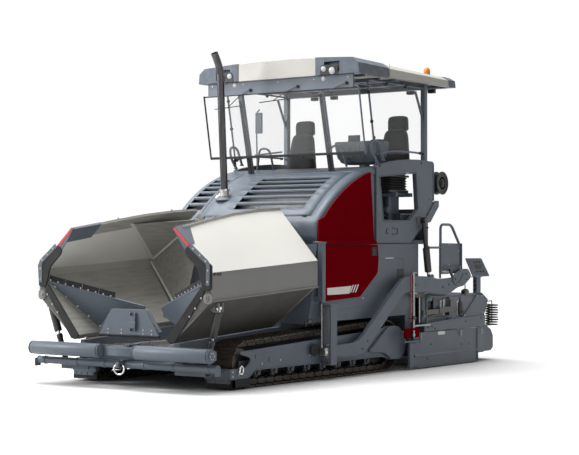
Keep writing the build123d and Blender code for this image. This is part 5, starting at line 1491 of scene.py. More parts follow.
cheeks = [block((x, x + 0.021), (1.372, 1.468), (0.255, 0.415), 0.003) for x in (1.213, 1.268)]
slide = joined(*cheeks, block((1.213, 1.289), (1.260, 1.373), (0.290, 0.380), 0.003),
               rod((1.213, *TOW_PIN), (1.289, *TOW_PIN), 0.034, 24))
level_rod = turned((ROD_X, ROD_Y, 0.355), (ROD_X, ROD_Y, 1.060),
                   [(0, 0.014), (0.055, 0.014), (0.060, 0.008), (0.70, 0.008)], 18)
pair("tow_slide", joined(slide, level_rod), zinc, "tractor", whole=["tow_points"])

# %% Hatch outline, louvre and pin on the chassis flank
def seam(points, width=0.006):
    """Dark flat line along a path on the flank: a strip of the given width, 1 mm proud."""
    path = np.array([(y, z) for y, z in points], float)
    way = np.gradient(path, axis=0)
    way /= np.linalg.norm(way, axis=1)[:, None]
    side = np.stack([-way[:, 1], way[:, 0]], axis=1) * width / 2
    loop = np.concatenate([path + side, (path - side)[::-1]])
    return slab(loop, 1.1285, 1.1305, "x", 0.0004)


hatch_line = rounded([(2.640, 1.404), (3.190, 1.414), (3.262, 1.360), (3.257, 1.196)], [0, 0.05, 0.06, 0],
                     6, closed=False)
lines = joined(seam(hatch_line), seam([(2.60, 1.604), (3.40, 1.604)], 0.010),
               seam([(1.74, 0.80), (2.30, 0.83)], 0.003))
pair("flank_seams", lines, black, "tractor")
slot = slab([(2.82, 1.408), (3.02, 1.411), (3.02, 1.421), (2.82, 1.418)], 1.129, 1.1325, "x", 0.0006)
pair("flank_slot", slot, steel, "tractor")
louvre = joined(*[bar((1.133, 3.112, z), (1.133, 3.258, z), 0.004, 0.010)
                  for z in np.linspace(1.180, 1.268, 7)])
frame_strip = slab([(3.098, 1.168), (3.272, 1.168), (3.272, 1.278), (3.098, 1.278)],
                   1.1295, 1.1315, "x", 0.0005)
pair("flank_louvre", joined(louvre, frame_strip), black, "tractor")
arch = tube([(1.128, 1.098, 0.640), (1.120, 1.098, 0.712), (1.120, 1.236, 0.712), (1.128, 1.236, 0.640)],
            0.011, 0.035, 10, 5)
pair("flank_arch", arch, black, "tractor")
pin = turned((1.129, 2.300, 0.930), (1.146, 2.300, 0.930), [(0, 0.012), (0.012, 0.012), (0.016, 0.007)], 14)
pair("flank_pin", pin, steel, "tractor")


# %% [markdown]
# ## Exhaust stack
#
# A thick-walled pipe, black with a polished streak, kinks towards the front at the top.
# It is open, so its surface turns over the rim and runs back down inside: one closed band of rings.

# %% Stack
def open_pipe(path, radius, wall, sides=24):
    """Pipe with both ends open: circles of the outer radius go up the path, circles of the inner
    one come back, and the last ring meets the first."""
    path = np.asarray(path, float)
    ahead = np.gradient(path, axis=0)
    ahead /= np.linalg.norm(ahead, axis=1)[:, None]
    side = np.cross(ahead, (1.0, 0.0, 0.0))
    side /= np.linalg.norm(side, axis=1)[:, None]
    up = np.cross(side, ahead)
    t = np.linspace(0, 2 * np.pi, sides, endpoint=False)
    ray = np.cos(t)[None, :, None] * side[:, None] + np.sin(t)[None, :, None] * up[:, None]
    outer, inner = path[:, None] + radius * ray, path[:, None] + (radius - wall) * ray
    return grid(np.concatenate([outer, inner[::-1]]), round_u=True, round_v=True)


stack_path = rounded([(-0.540, 1.700, 2.180), (-0.540, 1.694, 2.300), (-0.544, 1.612, 3.790),
                      (-0.556, 1.512, 3.972)],
                     [0, 0, 0.10, 0], 10, closed=False)
piece("exhaust_stack", open_pipe(stack_path, 0.046, 0.004), stack_black, "tractor", ["exhaust_pipe"])
collar = turned((-0.540, 1.7005, 2.190), (-0.540, 1.6925, 2.330),
                [(0.0, 0.050), (0.0, 0.078), (0.012, 0.078), (0.014, 0.056), (0.060, 0.056), (0.062, 0.064),
                 (0.084, 0.064), (0.086, 0.050)], 28, ring=True)
clamp_ear = block((-0.492, -0.458), (1.64, 1.70), (2.250, 2.276), 0.003)
clamp_bolt = rod((-0.474, 1.630, 2.263), (-0.474, 1.712, 2.263), 0.007, 10)
shield = turned((-0.540, 1.703, 2.140), (-0.540, 1.700, 2.200),
                [(0, 0.115), (0.008, 0.115), (0.030, 0.088), (0.055, 0.070), (0.060, 0.050)], 28)
piece("stack_clamp", joined(collar, clamp_ear, clamp_bolt), steel, "tractor")
piece("stack_foot", shield, slate, "tractor")
elbow = turned((-0.655, 1.70, 2.165), (-0.565, 1.70, 2.235),
               [(0, 0.030), (0.006, 0.038), (0.03, 0.038), (0.036, 0.030), (0.10, 0.026)], 18)
piece("stack_valve", elbow, steel, "tractor")
catches = []
for x, y in ((-0.645, 1.400), (0.900, 1.405)):
    z = float(hood_z(y))
    catches.append(block((x - 0.030, x + 0.030), (y - 0.014, y + 0.014), (z - 0.002, z + 0.010), 0.003))
piece("hood_catches", joined(*catches), black_plastic, "tractor")
print("exhaust built")

# %% [markdown]
# ## Operator station
#
# Two seats face forward behind a tub-shaped console, on a platform with a tall side frame on each
# side. The frames are right as plain plates, so they stay; what is added is what a hand or an eye
# meets: the folded edge of the window, the grips, the seam lines, rails and boots.

# %% Side frame trim
WINDOW = np.array([(2.690, 2.438), (3.579, 2.512), (3.626, 2.045), (3.424, 1.880), (2.778, 1.880)])
window_lip = slab(WINDOW, 1.106, 1.1335, "x", 0.0015, [drawn_in(WINDOW, -0.012)])
slant = [(3.405, 1.600), (3.420, 1.600), (4.125, 2.066), (4.125, 2.084)]
rear_fold = slab([(3.800, 1.862), (3.905, 1.876), (4.120, 2.085), (4.120, 2.160), (4.030, 2.160),
                  (3.800, 1.930)],
                 1.128, 1.148, "x", 0.004)
belt = slab([(2.640, 1.612), (3.400, 1.612), (3.400, 1.622), (2.640, 1.622)], 1.1285, 1.1345, "x", 0.001)
pair("side_frame_folds", joined(window_lip, rear_fold, belt), slate, "tractor")
GRIPS = [([(2.985, 1.792), (3.110, 1.792), (3.110, 1.716), (2.985, 1.716)], 0.007, 0.03),
         ([(2.900, 1.785), (2.850, 1.785), (2.850, 1.722), (2.900, 1.722)], 0.006, 0.02)]
grip = joined(*[tube(raised(np.array(corners), 1.1315, "x"), radius, bend, 8, 5)
                for corners, radius, bend in GRIPS])
seams = joined(*[slab(np.array(s), 1.1298, 1.1306, "x", 0.0002) for s in (
    slant, [(2.488, 2.276), (2.494, 2.276), (2.600, 1.900), (2.594, 1.900)])])
frame_bolts = bolts([(1.131, y, z) for y, z in ((2.575, 2.35), (2.62, 2.22), (3.90, 2.18), (3.84, 1.98))],
                    (1, 0, 0), 0.008, 0.006)
pair("side_frame_marks", joined(grip, seams, frame_bolts), black, "tractor")
print("window lip faces", sum(len(f) for f in window_lip[1]))


# %% Handrails
front_loop = tube([(1.112, 2.668, 2.600), (1.112, 2.560, 2.730), (1.112, 2.540, 2.868),
                   (1.112, 2.690, 2.872), (1.112, 2.800, 2.650)],
                  0.0165, 0.07, 14, 7)
long_rail = tube([(1.112, 2.640, 2.700), (1.118, 2.900, 2.752), (1.120, 3.190, 2.770),
                  (1.112, 3.500, 2.772), (1.100, 3.700, 2.768)],
                 0.0125, 0.10, 12, 6)
rear_rail = tube([(1.095, 3.975, 2.660), (1.095, 4.052, 2.660), (1.095, 4.052, 2.160)], 0.0165, 0.05, 14, 7)
feet = joined(*[turned((1.112, y, z), (1.112, y, z + 0.03),
                       [(0, 0.030), (0.010, 0.030), (0.014, 0.020), (0.030, 0.018)], 16)
                for y, z in ((2.668, 2.588), (2.800, 2.632))])
pair("station_handrails", joined(front_loop, long_rail, rear_rail, feet), slate, "tractor",
     whole=["handrails"])
inner_loop = tube([(0.470, 2.640, 2.560), (0.470, 2.570, 2.780), (0.520, 2.560, 2.830),
                   (0.640, 2.565, 2.830), (0.700, 2.600, 2.560)],
                  0.014, 0.06, 12, 6)
rail_clamps = joined(*[turned((1.09, y, z), (1.135, y, z),
                              [(0, 0.012), (0.006, 0.019), (0.038, 0.019), (0.045, 0.012)], 14)
                       for y, z in ((2.690, 2.700), (3.700, 2.768), (3.700, 2.640), (2.700, 2.560))])
pair("inner_grab_rail", inner_loop, slate, "tractor")
pair("rail_clamps", rail_clamps, black_plastic, "tractor")
print("rails built")


# %% [markdown]
# ### Seats
#
# A seat pad is foam under cloth: crowned in the middle, pulled in at the seams. The form starts as a
# superellipsoid, cos and sin raised to a power below 1, which gives a box with full, soft sides.
# Blender's cloth solver then blows it up a little from inside, so that the cloth gets the uneven
# fullness that no formula has. The pads of the other seat are the same mesh mirrored.

# %% Pad form
def pad_form(centre, half, power=0.42, lean=0.0, narrow=0.0, rows=26, columns=48):
    """Superellipsoid: x = a cos(v)^p cos(u)^p, y = b cos(v)^p sin(u)^p and z = c sin(v)^p, with signed
    powers. It narrows towards the top by the share narrow and leans back by lean for each unit of
    height."""
    v = np.linspace(-np.pi / 2, np.pi / 2, rows)[:, None]
    u = np.linspace(0, 2 * np.pi, columns, endpoint=False)[None]

    def soft(wave):
        """A wave raised to the power with its sign kept."""
        return np.sign(wave) * np.abs(wave) ** power

    a, b, c = half
    x = a * soft(np.cos(v)) * soft(np.cos(u))
    y = b * soft(np.cos(v)) * soft(np.sin(u))
    z = c * soft(np.sin(v)) * np.ones_like(u)
    x = x * (1 - narrow * (z / c + 1) / 2)
    y = y + lean * (z + c)
    points = np.stack([x, y, z], axis=2) + np.asarray(centre)
    return grid(points, round_v=True)


def blown(item, cap):
    """Fullness by cloth: voxel remesh, 20 frames under pressure without gravity, movement capped."""
    remesh = item.modifiers.new("even cells", "REMESH")
    remesh.mode = "VOXEL"
    remesh.voxel_size = 0.011
    depsgraph = bpy.context.evaluated_depsgraph_get()
    even = bpy.data.meshes.new_from_object(item.evaluated_get(depsgraph))
    item.modifiers.clear()
    item.data = even
    count = len(even.vertices)
    before = np.empty(count * 3, np.float32)
    even.vertices.foreach_get("co", before)
    cloth_run = item.modifiers.new("cloth", "CLOTH")
    cloth_run.settings.use_pressure = True
    cloth_run.settings.uniform_pressure_force = 4.0
    cloth_run.settings.effector_weights.gravity = 0.0
    cloth_run.settings.quality = 5
    cloth_run.point_cache.frame_start = 1
    cloth_run.point_cache.frame_end = 20
    for number in range(1, 21):
        bpy.context.scene.frame_set(number)
    depsgraph = bpy.context.evaluated_depsgraph_get()
    full = bpy.data.meshes.new_from_object(item.evaluated_get(depsgraph))
    after = np.empty(count * 3, np.float32)
    full.vertices.foreach_get("co", after)
    item.modifiers.clear()
    step = (after - before).reshape(-1, 3)
    length = np.linalg.norm(step, axis=1)[:, None]
    step *= np.minimum(1.0, cap / np.maximum(length, 1e-9))
    even.vertices.foreach_set("co", (before.reshape(-1, 3) + step).ravel())
    even.update()
    even.shade_smooth()
    bpy.context.scene.frame_set(1)


def seat_pad(name, shape, node, cap=0.008):
    """Left pad, blown up, and its mirror image on the right seat."""
    left = piece(f"{name}_left", shape, cloth, "tractor", [f"{node}_left"], crisp=180)
    blown(left, cap)
    other = left.data.copy()
    flat = np.empty(len(other.vertices) * 3, np.float32)
    other.vertices.foreach_get("co", flat)
    flat[0::3] *= -1
    other.vertices.foreach_set("co", flat)
    other.flip_normals()
    right = bpy.data.objects.new(f"{name}_right", other)
    bpy.context.scene.collection.objects.link(right)
    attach(right, "tractor")
    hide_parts(f"{node}_right")
    for item in (left, right):
        smooth = item.modifiers.new("smooth", "SUBSURF")
        smooth.levels = smooth.render_levels = 1


# %% Seat pads
SEAT_X, SEAT_Y, HEAD_Z = 0.745, 3.420, 3.168
seat_pad("seat_cushion", pad_form((SEAT_X, SEAT_Y, 2.535), (0.243, 0.235, 0.058), 0.36), "seat")
seat_pad("seat_back", pad_form((SEAT_X, 3.655, 2.840), (0.240, 0.052, 0.262), 0.40, lean=0.10, narrow=0.30),
         "seat")
seat_pad("head_rest", pad_form((SEAT_X, 3.755, HEAD_Z), (0.158, 0.044, 0.104), 0.38, narrow=0.10), "seat")


# %% Seat piping, shell and armrests
def rounded_loop(half_x, half_y, radius, steps=6):
    """Rounded rectangle about the origin."""
    corners = [(half_x, half_y), (-half_x, half_y), (-half_x, -half_y), (half_x, -half_y)]
    return rounded(corners, radius, steps)


edge = raised(rounded_loop(0.225, 0.215, 0.09) + (SEAT_X, SEAT_Y), 2.586, "z")
piping = swept(ring_of(0.0035, 8), edge, closed=True)
edge = raised(rounded_loop(0.128, 0.078, 0.05) + (SEAT_X, HEAD_Z), 3.709, "y")
head_piping = swept(ring_of(0.003, 8), edge, closed=True)
posts = [rod((SEAT_X + x, 3.740, 3.060), (SEAT_X + x, 3.757, 3.110), 0.007, 10) for x in (-0.06, 0.06)]
shell = block((0.600, 0.890), (3.705, 3.728), (2.60, 3.04), 0.010)
recliners = [turned((SEAT_X + s * 0.236, 3.66, 2.560), (SEAT_X + s * 0.262, 3.66, 2.560),
                    [(0, 0.055), (0.018, 0.055), (0.026, 0.040)], 20) for s in (-1, 1)]
arm = joined(block((0.470, 0.520), (3.30, 3.62), (2.735, 2.775), 0.012),
             bar((0.495, 3.62, 2.60), (0.495, 3.60, 2.74), 0.03, 0.05, edge=0.006))
pair("seat_trim", joined(piping, head_piping, *posts, shell, *recliners, arm), black_plastic, "tractor")


def bellows(centre, half, low, high, folds):
    """Rubber boot: rounded rectangles stacked up, their size swinging between two values."""
    levels = np.linspace(low, high, 2 * folds + 1)
    grow = np.where(np.arange(len(levels)) % 2 == 0, 0.0, 0.022)
    loops = []
    for level, more in zip(levels, grow):
        ring = rounded_loop(half[0] + more, half[1] + more, 0.07)
        loops.append(raised(ring + centre, level, "z"))
    return loft(loops)


pair("seat_boot", bellows((SEAT_X, SEAT_Y), (0.200, 0.215), 2.285, 2.455, 5), rubber, "tractor", crisp=25)
plate = rounded_loop(0.235, 0.245, 0.04)
pan = joined(slab(plate + (SEAT_X, SEAT_Y), 2.452, 2.480, "z", 0.006),
             slab(plate * 0.97 + (SEAT_X, SEAT_Y), 2.250, 2.288, "z", 0.006))
pair("seat_pan", pan, black, "tractor", whole=["seat_bases"])
print("seats built")

# %% [markdown]
# ### Console
#
# The console is a tub that slides from seat to seat: a moulded bowl on a column, with a raised rim
# and a dark panel sunk into its top. Its skin runs over eight rounded rectangles.

# %% Console tub
def tub(levels, x, y):
    """Loops of a rounded rectangle: each row gives height, half width, half depth, shift in y."""
    rings = []
    for z, a, b, dy in levels:
        ring = rounded_loop(a, b, 0.07)
        rings.append(raised(ring + (x, y + dy), z, "z"))
    return loft(rings)


DESK_X, DESK_Y = 0.705, 2.935
BOWL = [(2.600, 0.20, 0.085, 0.02), (2.625, 0.27, 0.115, 0.01), (2.700, 0.310, 0.140, 0.0),
        (2.812, 0.332, 0.150, 0.0), (2.878, 0.336, 0.154, 0.0), (2.890, 0.330, 0.148, 0.0),
        (2.886, 0.312, 0.130, 0.0), (2.850, 0.300, 0.120, 0.0)]
bowl = tub(BOWL, DESK_X, DESK_Y)
column = joined(bar((0.745, 2.945, 2.26), (0.745, 2.940, 2.61), 0.115, 0.11, (1, 0, 0), 0.02),
                block((0.655, 0.835), (2.87, 3.03), (2.240, 2.270), 0.008),
                bar((0.745, 2.930, 1.645), (0.745, 2.945, 2.26), 0.09, 0.09, (1, 0, 0), 0.01))
rib_lines = joined(*[bar((DESK_X + x, 2.783, 2.665), (DESK_X + x, 2.781, 2.845), 0.006, 0.006, edge=0.001)
                     for x in np.linspace(-0.26, 0.26, 9)])
piece("console_tub", joined(bowl, column, rib_lines), plastic, "tractor", ["control_console"])
face = slab(rounded_loop(0.292, 0.112, 0.06) + (DESK_X, DESK_Y), 2.851, 2.857, "z", 0.002)
keys = joined(*[block((x - 0.011, x + 0.011), (y - 0.009, y + 0.009), (2.856, 2.864), 0.002)
                for x in DESK_X + np.linspace(-0.24, 0.24, 9)
                for y in (DESK_Y - 0.07, DESK_Y - 0.035, DESK_Y)])
stick = joined(rod((0.86, 2.985, 2.855), (0.86, 2.985, 2.93), 0.009, 10),
               turned((0.86, 2.985, 2.92), (0.86, 2.985, 2.965),
                      [(0, 0.014), (0.02, 0.022), (0.038, 0.018), (0.045, 0.006)], 16))
screen_box = block((0.46, 0.64), (2.985, 3.010), (2.860, 2.985), 0.008)
cup = slab(rounded([(0.575, 2.640), (0.600, 2.640), (0.600, 2.690), (0.575, 2.690)], 0.006),
           2.7845, 2.792, "y", 0.001)
piece("console_panel", joined(face, keys, stick, screen_box, cup), black_plastic, "tractor")
steering = swept(ring_of(0.011, 10), raised(arc_loop((0.90, 3.02), 0.085, 28), 2.905, "z"), closed=True)
column = rod((0.90, 3.02, 2.80), (0.90, 3.02, 2.905), 0.012, 10)
spoke = bar((0.82, 3.02, 2.903), (0.98, 3.02, 2.903), 0.006, 0.02, (0, 1, 0), 0.002)
piece("steering_ring", joined(steering, column, spoke), black_plastic, "tractor")
under = joined(
    bar((-0.95, 3.42, 2.235), (0.95, 3.42, 2.235), 0.36, 0.028, (0, 1, 0), 0.004),
    bar((-1.04, 3.24, 2.225), (1.04, 3.24, 2.225), 0.05, 0.05, (0, 1, 0), 0.006),
    bar((-1.04, 3.60, 2.225), (1.04, 3.60, 2.225), 0.05, 0.05, (0, 1, 0), 0.006),
    both(bar((0.60, 3.30, 1.645), (0.60, 3.30, 2.22), 0.06, 0.06, (1, 0, 0), 0.006)),
    both(bar((0.88, 3.30, 1.645), (0.88, 3.30, 2.22), 0.045, 0.06, (1, 0, 0), 0.006)),
    both(bar((0.90, 3.55, 1.80), (0.70, 3.20, 2.10), 0.02, 0.05, (1, 0, 0), 0.004)),
    both(block((0.42, 0.98), (3.44, 3.80), (1.645, 1.985), 0.012)),
    both(turned((0.86, 3.25, 2.02), (0.92, 3.25, 2.02), [(0, 0.05), (0.05, 0.05), (0.06, 0.035)], 20)))
piece("station_underframe", under, slate, "tractor")
levers = both(joined(bar((0.70, 3.02, 1.70), (0.70, 3.10, 1.95), 0.02, 0.03, edge=0.004),
                     rod((0.74, 3.30, 2.05), (0.80, 3.06, 1.72), 0.016, 12)))
piece("station_levers", levers, black, "tractor")

# %% [markdown]
# ## Windows and their frames
#
# The windscreen leans forward from a black lower bar up to the header. Each side has a pane in a bent
# tube, held by round rubber buffers. Panes are thin closed plates in nearly clear glass.

# %% Glass
def pane(corners):
    """Thin closed plate through four corners."""
    return leaf(corners, 0.005, 0.0015)


SCREEN_LOW, SCREEN_HIGH, SCREEN_HALF = (2.262, 2.700), (2.112, 3.500), 1.195
screen_pane = pane([(-SCREEN_HALF, *SCREEN_LOW), (SCREEN_HALF, *SCREEN_LOW), (SCREEN_HALF, *SCREEN_HIGH),
                    (-SCREEN_HALF, *SCREEN_HIGH)])
side_pane = slab(rounded([(2.600, 2.700), (3.772, 2.762), (3.772, 3.592), (2.470, 3.592)],
                         [0.02, 0.02, 0.05, 0.05]), 1.086, 1.091, "x", 0.001)
piece("windscreen", screen_pane, glass, "tractor", ["cab_glass"])
pair("side_window", side_pane, glass, "tractor")
low_bar = bar((-1.205, 2.262, 2.708), (1.205, 2.262, 2.708), 0.018, 0.032, (0, 1, 0), 0.003)
left_frame = bar((-1.203, 2.262, 2.70), (-1.203, 2.112, 3.51), 0.014, 0.024, (1, 0, 0), 0.003)
strips = both(bar((0.625, 2.345, 2.500), (0.625, 2.128, 3.500), 0.050, 0.016, (1, 0, 0), 0.003))
piece("screen_seals",
      joined(low_bar, left_frame, strips, block((-1.205, 1.205), (2.104, 2.120), (3.490, 3.506), 0.002)),
      rubber, "tractor")
right_tube = tube([(1.150, 2.106, 3.515), (1.203, 2.108, 3.505), (1.203, 2.250, 2.735),
                   (1.203, 2.262, 2.690)], 0.0115, 0.03, 10, 5)
piece("screen_tube", right_tube, slate, "tractor")
pane_tube = tube([(1.100, 2.660, 2.560), (1.100, 2.632, 2.744), (1.100, 2.462, 3.622),
                  (1.100, 3.856, 3.618), (1.100, 3.791, 2.700)],
                 0.0125, 0.05, 12, 6)
pair("side_window_tube", pane_tube, slate, "tractor")
buffers = joined(*[turned((1.080, y, z), (1.120, y, z),
                          [(0, 0.010), (0.008, 0.021), (0.030, 0.021), (0.040, 0.010)], 14)
                   for y, z in ((2.492, 3.470), (2.560, 3.110), (2.640, 2.700), (2.900, 3.610),
                                (3.350, 3.606), (3.815, 3.080), (3.795, 2.760))])
pair("window_buffers", buffers, rubber, "tractor")
print("windows built")

# %% [markdown]
# ## Roof
#
# The roof is a shallow moulded shell on four posts. Its plain nodes have the right form, so they keep
# their place and take paint; what is added is the header's bolts and three wipers, the lamps in their
# dark pockets, the seams and the drip edge.

# %% Header, wipers and drip edge
header_bolts = bolts([(x, 2.099, 3.625) for x in (-1.05, -0.55, 0.0, 0.55, 1.05)], (0, -1, 0), 0.007, 0.005)
piece("header_bolts", header_bolts, steel, "tractor")


def wiper(x, z, elbow, tip):
    """Pivot on the header, a thin arm and a blade across its end."""
    hub = turned((x, 2.104, z), (x, 2.062, z), [(0, 0.020), (0.020, 0.020), (0.032, 0.016), (0.042, 0.008)],
                 16)
    arm = tube([(x, 2.074, z), (elbow[0], 2.084, elbow[1]), (tip[0], 2.096, tip[1])], 0.0055, 0.05, 8, 5)
    blade = bar((tip[0] - 0.22, 2.106, tip[1] - 0.012), (tip[0] + 0.20, 2.110, tip[1] + 0.012), 0.012,
                0.014, (0, 0, 1), 0.002)
    return joined(hub, arm, blade)


wipers = joined(wiper(-0.434, 3.548, (-0.60, 3.48), (-0.800, 3.345)),
                wiper(0.304, 3.551, (0.10, 3.48), (-0.080, 3.395)),
                wiper(1.034, 3.552, (0.80, 3.48), (0.600, 3.425)))
piece("wipers", wipers, black, "tractor")

# %% Roof seams and trim
drip = swept(ring_of(0.006, 8),
             np.array([(-1.228, 2.80, 3.668), (-1.228, 4.20, 3.668), (-1.10, 4.380, 3.668),
                       (1.10, 4.380, 3.668),
                                         (1.228, 4.20, 3.668), (1.228, 2.80, 3.668)]))
piece("drip_edge", drip, slate, "tractor")
cap_seam = slab([(2.756, 3.690), (2.760, 3.690), (2.760, 3.835), (2.756, 3.835)],
                1.2335, 1.2360, "x", 0.0005)
pair("cap_seam", cap_seam, black, "tractor")


# %% [markdown]
# ### Lamps
#
# Each front corner cap has a dark pocket with two round work lamps; one more hangs under the eaves.
# A lamp is a turned bowl, a bezel and a domed lens whose height falls as one minus the radius squared.

# %% Work lamps
def lamp_parts(x, y, z, radius, tilt=0.0):
    """Housing and lens of a round lamp that looks forward, tilted down by a small slope."""
    front = np.array((x, y, z))
    back = front + (0, 0.075, 0.075 * tilt)
    housing = turned(front, back, [(0.004, radius * 0.88), (-0.002, radius * 0.92), (-0.004, radius),
                                   (0.016, radius),
                                   (0.05, radius * 0.78), (0.075, radius * 0.35)], 26)
    r = np.linspace(0.02, 0.90, 7)
    rows = np.column_stack([-0.002 - 0.012 * (1 - r ** 2), r * radius])
    dome = turned(front, back, rows, 26)
    return housing, dome


places = [(0.730, 2.046, 3.735, 0.040), (0.858, 2.040, 3.708, 0.048), (0.690, 2.105, 3.622, 0.038)]
shells, lenses = zip(*[lamp_parts(*place, tilt=0.2) for place in places])
pocket = slab(rounded([(0.668, 3.664), (0.940, 3.664), (0.930, 3.778), (0.700, 3.788)], 0.014),
              2.0445, 2.0505, "y", 0.002)
pair("lamp_pocket", pocket, black_plastic, "tractor")
pair("lamp_shell", joined(*shells), plastic, "tractor", whole=["work_lamps"])
pair("lamp_lens", joined(*lenses), lens, "tractor")
stalk = bar((0.690, 2.135, 3.63), (0.690, 2.135, 3.70), 0.02, 0.01, edge=0.002)
pair("lamp_stalk", stalk, slate, "tractor")
rear_shells = joined(*[block((x - 0.05, x + 0.05), (4.235, 4.30), (3.600, 3.665), 0.008)
                       for x in (0.62, 0.95)])
pair("rear_lamps", rear_shells, black_plastic, "tractor")
rear_glass = joined(*[slab(rounded([(x - 0.042, 3.606), (x + 0.042, 3.606), (x + 0.042, 3.659),
                                    (x - 0.042, 3.659)], 0.006), 4.299, 4.304, "y", 0.001)
                      for x in (0.62, 0.95)])
pair("rear_lamp_lens", rear_glass, lens, "tractor")

# %% Beacon
dome_rows = [(0.0, 0.040), (0.010, 0.043), (0.030, 0.043), (0.055, 0.041), (0.075, 0.034), (0.088, 0.022),
             (0.094, 0.004)]
BEACON = (1.000, 4.060)
dome = turned((*BEACON, 3.830), (*BEACON, 3.920), dome_rows, 28)
ribs = [swept(ring_of(0.0016, 6), raised(arc_loop(BEACON, 0.0435, 28), z, "z"), closed=True)
        for z in (3.845, 3.855, 3.865)]
piece("beacon_dome", joined(dome, *ribs), amber, "tractor", ["beacon"])
base = turned((*BEACON, 3.720), (*BEACON, 3.836),
              [(0, 0.030), (0.070, 0.030), (0.078, 0.048), (0.110, 0.048), (0.114, 0.042)], 24)
piece("beacon_base", base, black_plastic, "tractor")

# %% Posts and brackets under the roof
brace = both(joined(bar((1.10, 3.79, 3.20), (1.10, 3.60, 3.56), 0.02, 0.035, (1, 0, 0), 0.004),
                    block((1.070, 1.128), (3.775, 3.86), (3.58, 3.64), 0.006)))
lining_bars = joined(*[bar((-1.16, y, 3.655), (1.16, y, 3.655), 0.05, 0.03, (0, 1, 0), 0.005)
                       for y in (2.30, 3.02, 4.10)],
                     *[bar((x, 2.15, 3.648), (x, 4.25, 3.648), 0.04, 0.02, (1, 0, 0), 0.004)
                       for x in (-0.625, 0.625)])
fan = joined(block((-0.30, 0.10), (2.52, 2.95), (3.585, 3.650), 0.02),
             block((-0.22, 0.02), (2.50, 2.53), (3.60, 3.635), 0.006))
piece("roof_braces", joined(brace, lining_bars), slate, "tractor")
piece("roof_unit", fan, black_plastic, "tractor")
mirror_arm = tube([(-0.72, 2.62, 2.60), (-0.72, 2.60, 3.30), (-0.64, 2.56, 3.34)], 0.009, 0.05, 10, 5)
mirror = block((-0.700, -0.585), (2.545, 2.565), (3.03, 3.30), 0.008)
piece("mirror", joined(mirror_arm, mirror), slate, "tractor")
cross = bar((-0.625, 2.44, 2.74), (-0.30, 2.60, 2.78), 0.02, 0.03, (0, 0, 1), 0.004)
piece("station_cross_rail", cross, slate, "tractor")
print("roof dressed")

# %% [markdown]
# ## Tow arms and their lifting cylinders
#
# Each arm is a thick cranked plate that pulls the screed. A plain plate would do for its outline, but
# the real one catches a bright line along its upper edge, so its corners are broken by 9 mm. The
# hooked rear end carries a second curved plate; the cylinder above it lifts the screed for travel.

# %% Tube along a free line
def swept_free(profile, path):
    """Sweep along a path in space: side is the cross product of the way ahead and a fixed slant."""
    ahead = np.gradient(path, axis=0)
    ahead /= np.linalg.norm(ahead, axis=1)[:, None]
    side = np.cross(ahead, (0.31, 0.23, 0.92))
    side /= np.linalg.norm(side, axis=1)[:, None]
    up = np.cross(side, ahead)
    points = path[:, None] + profile[None, :, :1] * side[:, None] + profile[None, :, 1:] * up[:, None]
    return loft(points)


# %% Arms
ARM_LINE = [(1.500, 0.400), (1.900, 0.408), (2.040, 0.450), (2.780, 1.004), (2.960, 1.136), (3.080, 1.181),
            (3.580, 1.181), (3.900, 1.135), (4.340, 1.152), (4.580, 1.250), (4.710, 1.231), (4.750, 1.145),
            (4.540, 1.030), (4.400, 1.024), (4.200, 0.953), (4.000, 0.925), (3.490, 0.971), (3.080, 0.981),
            (2.970, 0.934), (2.120, 0.278), (1.990, 0.249), (1.640, 0.246), (1.500, 0.270)]
reaches = [0.02, 0.06, 0.10, 0.10, 0.10, 0.10, 0.12, 0.14, 0.10, 0.06, 0.06, 0.06, 0.08, 0.06, 0.06, 0.10,
           0.12,
           0.10, 0.08, 0.10, 0.08, 0.06, 0.02]
arm_plate = slab(rounded(ARM_LINE, reaches, 5), 1.225, 1.285, "x", 0.008)
tongue = joined(block((1.236, 1.266), (1.425, 1.505), (0.295, 0.375), 0.004),
                turned((1.236, 1.425, 0.335), (1.266, 1.425, 0.335),
                       [(0, 0.0345), (0, 0.044), (0.004, 0.048), (0.026, 0.048), (0.030, 0.044),
                        (0.030, 0.0345)], 28, ring=True))
hook_line = [(4.225, 1.178), (4.315, 1.216), (4.475, 1.262), (4.640, 1.262), (4.695, 1.198), (4.640, 1.093),
             (4.460, 1.030),
             (4.330, 1.042), (4.240, 1.080)]
bend = np.array([(4.345, 1.072), (4.400, 1.095), (4.445, 1.130), (4.478, 1.165), (4.495, 1.200)])
slot = np.concatenate([bend, bend[::-1] + (-0.009, 0.006)])
hook_plate = slab(rounded(hook_line, 0.045, 5), 1.284, 1.297, "x", 0.004, [slot])
eye_cheek = turned((1.224, 3.800, 1.150), (1.236, 3.800, 1.150),
                   [(0, 0.020), (0, 0.052), (0.010, 0.052), (0.012, 0.020)], 24, ring=True)
pair("tow_arm_plate", joined(arm_plate, tongue, hook_plate, eye_cheek), slate, "screed", crisp=40,
     whole=["tow_arms"])
arm_bolts = bolts([(1.285, y, z) for y, z in ((2.060, 0.330), (2.180, 0.420), (3.980, 1.030),
                                              (4.140, 1.060), (3.30, 1.075))], (1, 0, 0), 0.011, 0.008)
# Two of the hook's black heads are discs that paint the shade in the hook plate's holes.
hook_heads_and_hole_shades = bolts([(1.298, y, z) for y, z in ((4.575, 1.195), (4.600, 1.120), (4.290, 1.130))], (1, 0, 0),
                   0.012, 0.005)
pair("tow_arm_bolts_and_hole_shades", joined(arm_bolts, hook_heads_and_hole_shades), black, "screed")
t = np.linspace(0, 7 * 2 * np.pi, 84)
coil = swept_free(ring_of(0.0050, 6),
                  np.column_stack([1.262 + 0.022 * np.cos(t), np.linspace(3.965, 4.150, 84),
                                   1.222 + 0.022 * np.sin(t)]))
pair("arm_spring", coil, steel, "screed")
lever = joined(bar((1.275, 4.165, 1.252), (1.275, 4.270, 1.140), 0.030, 0.030, (1, 0, 0), 0.005),
               block((1.255, 1.278), (3.985, 4.130), (1.268, 1.292), 0.003))
pair("arm_lever", lever, black, "screed")
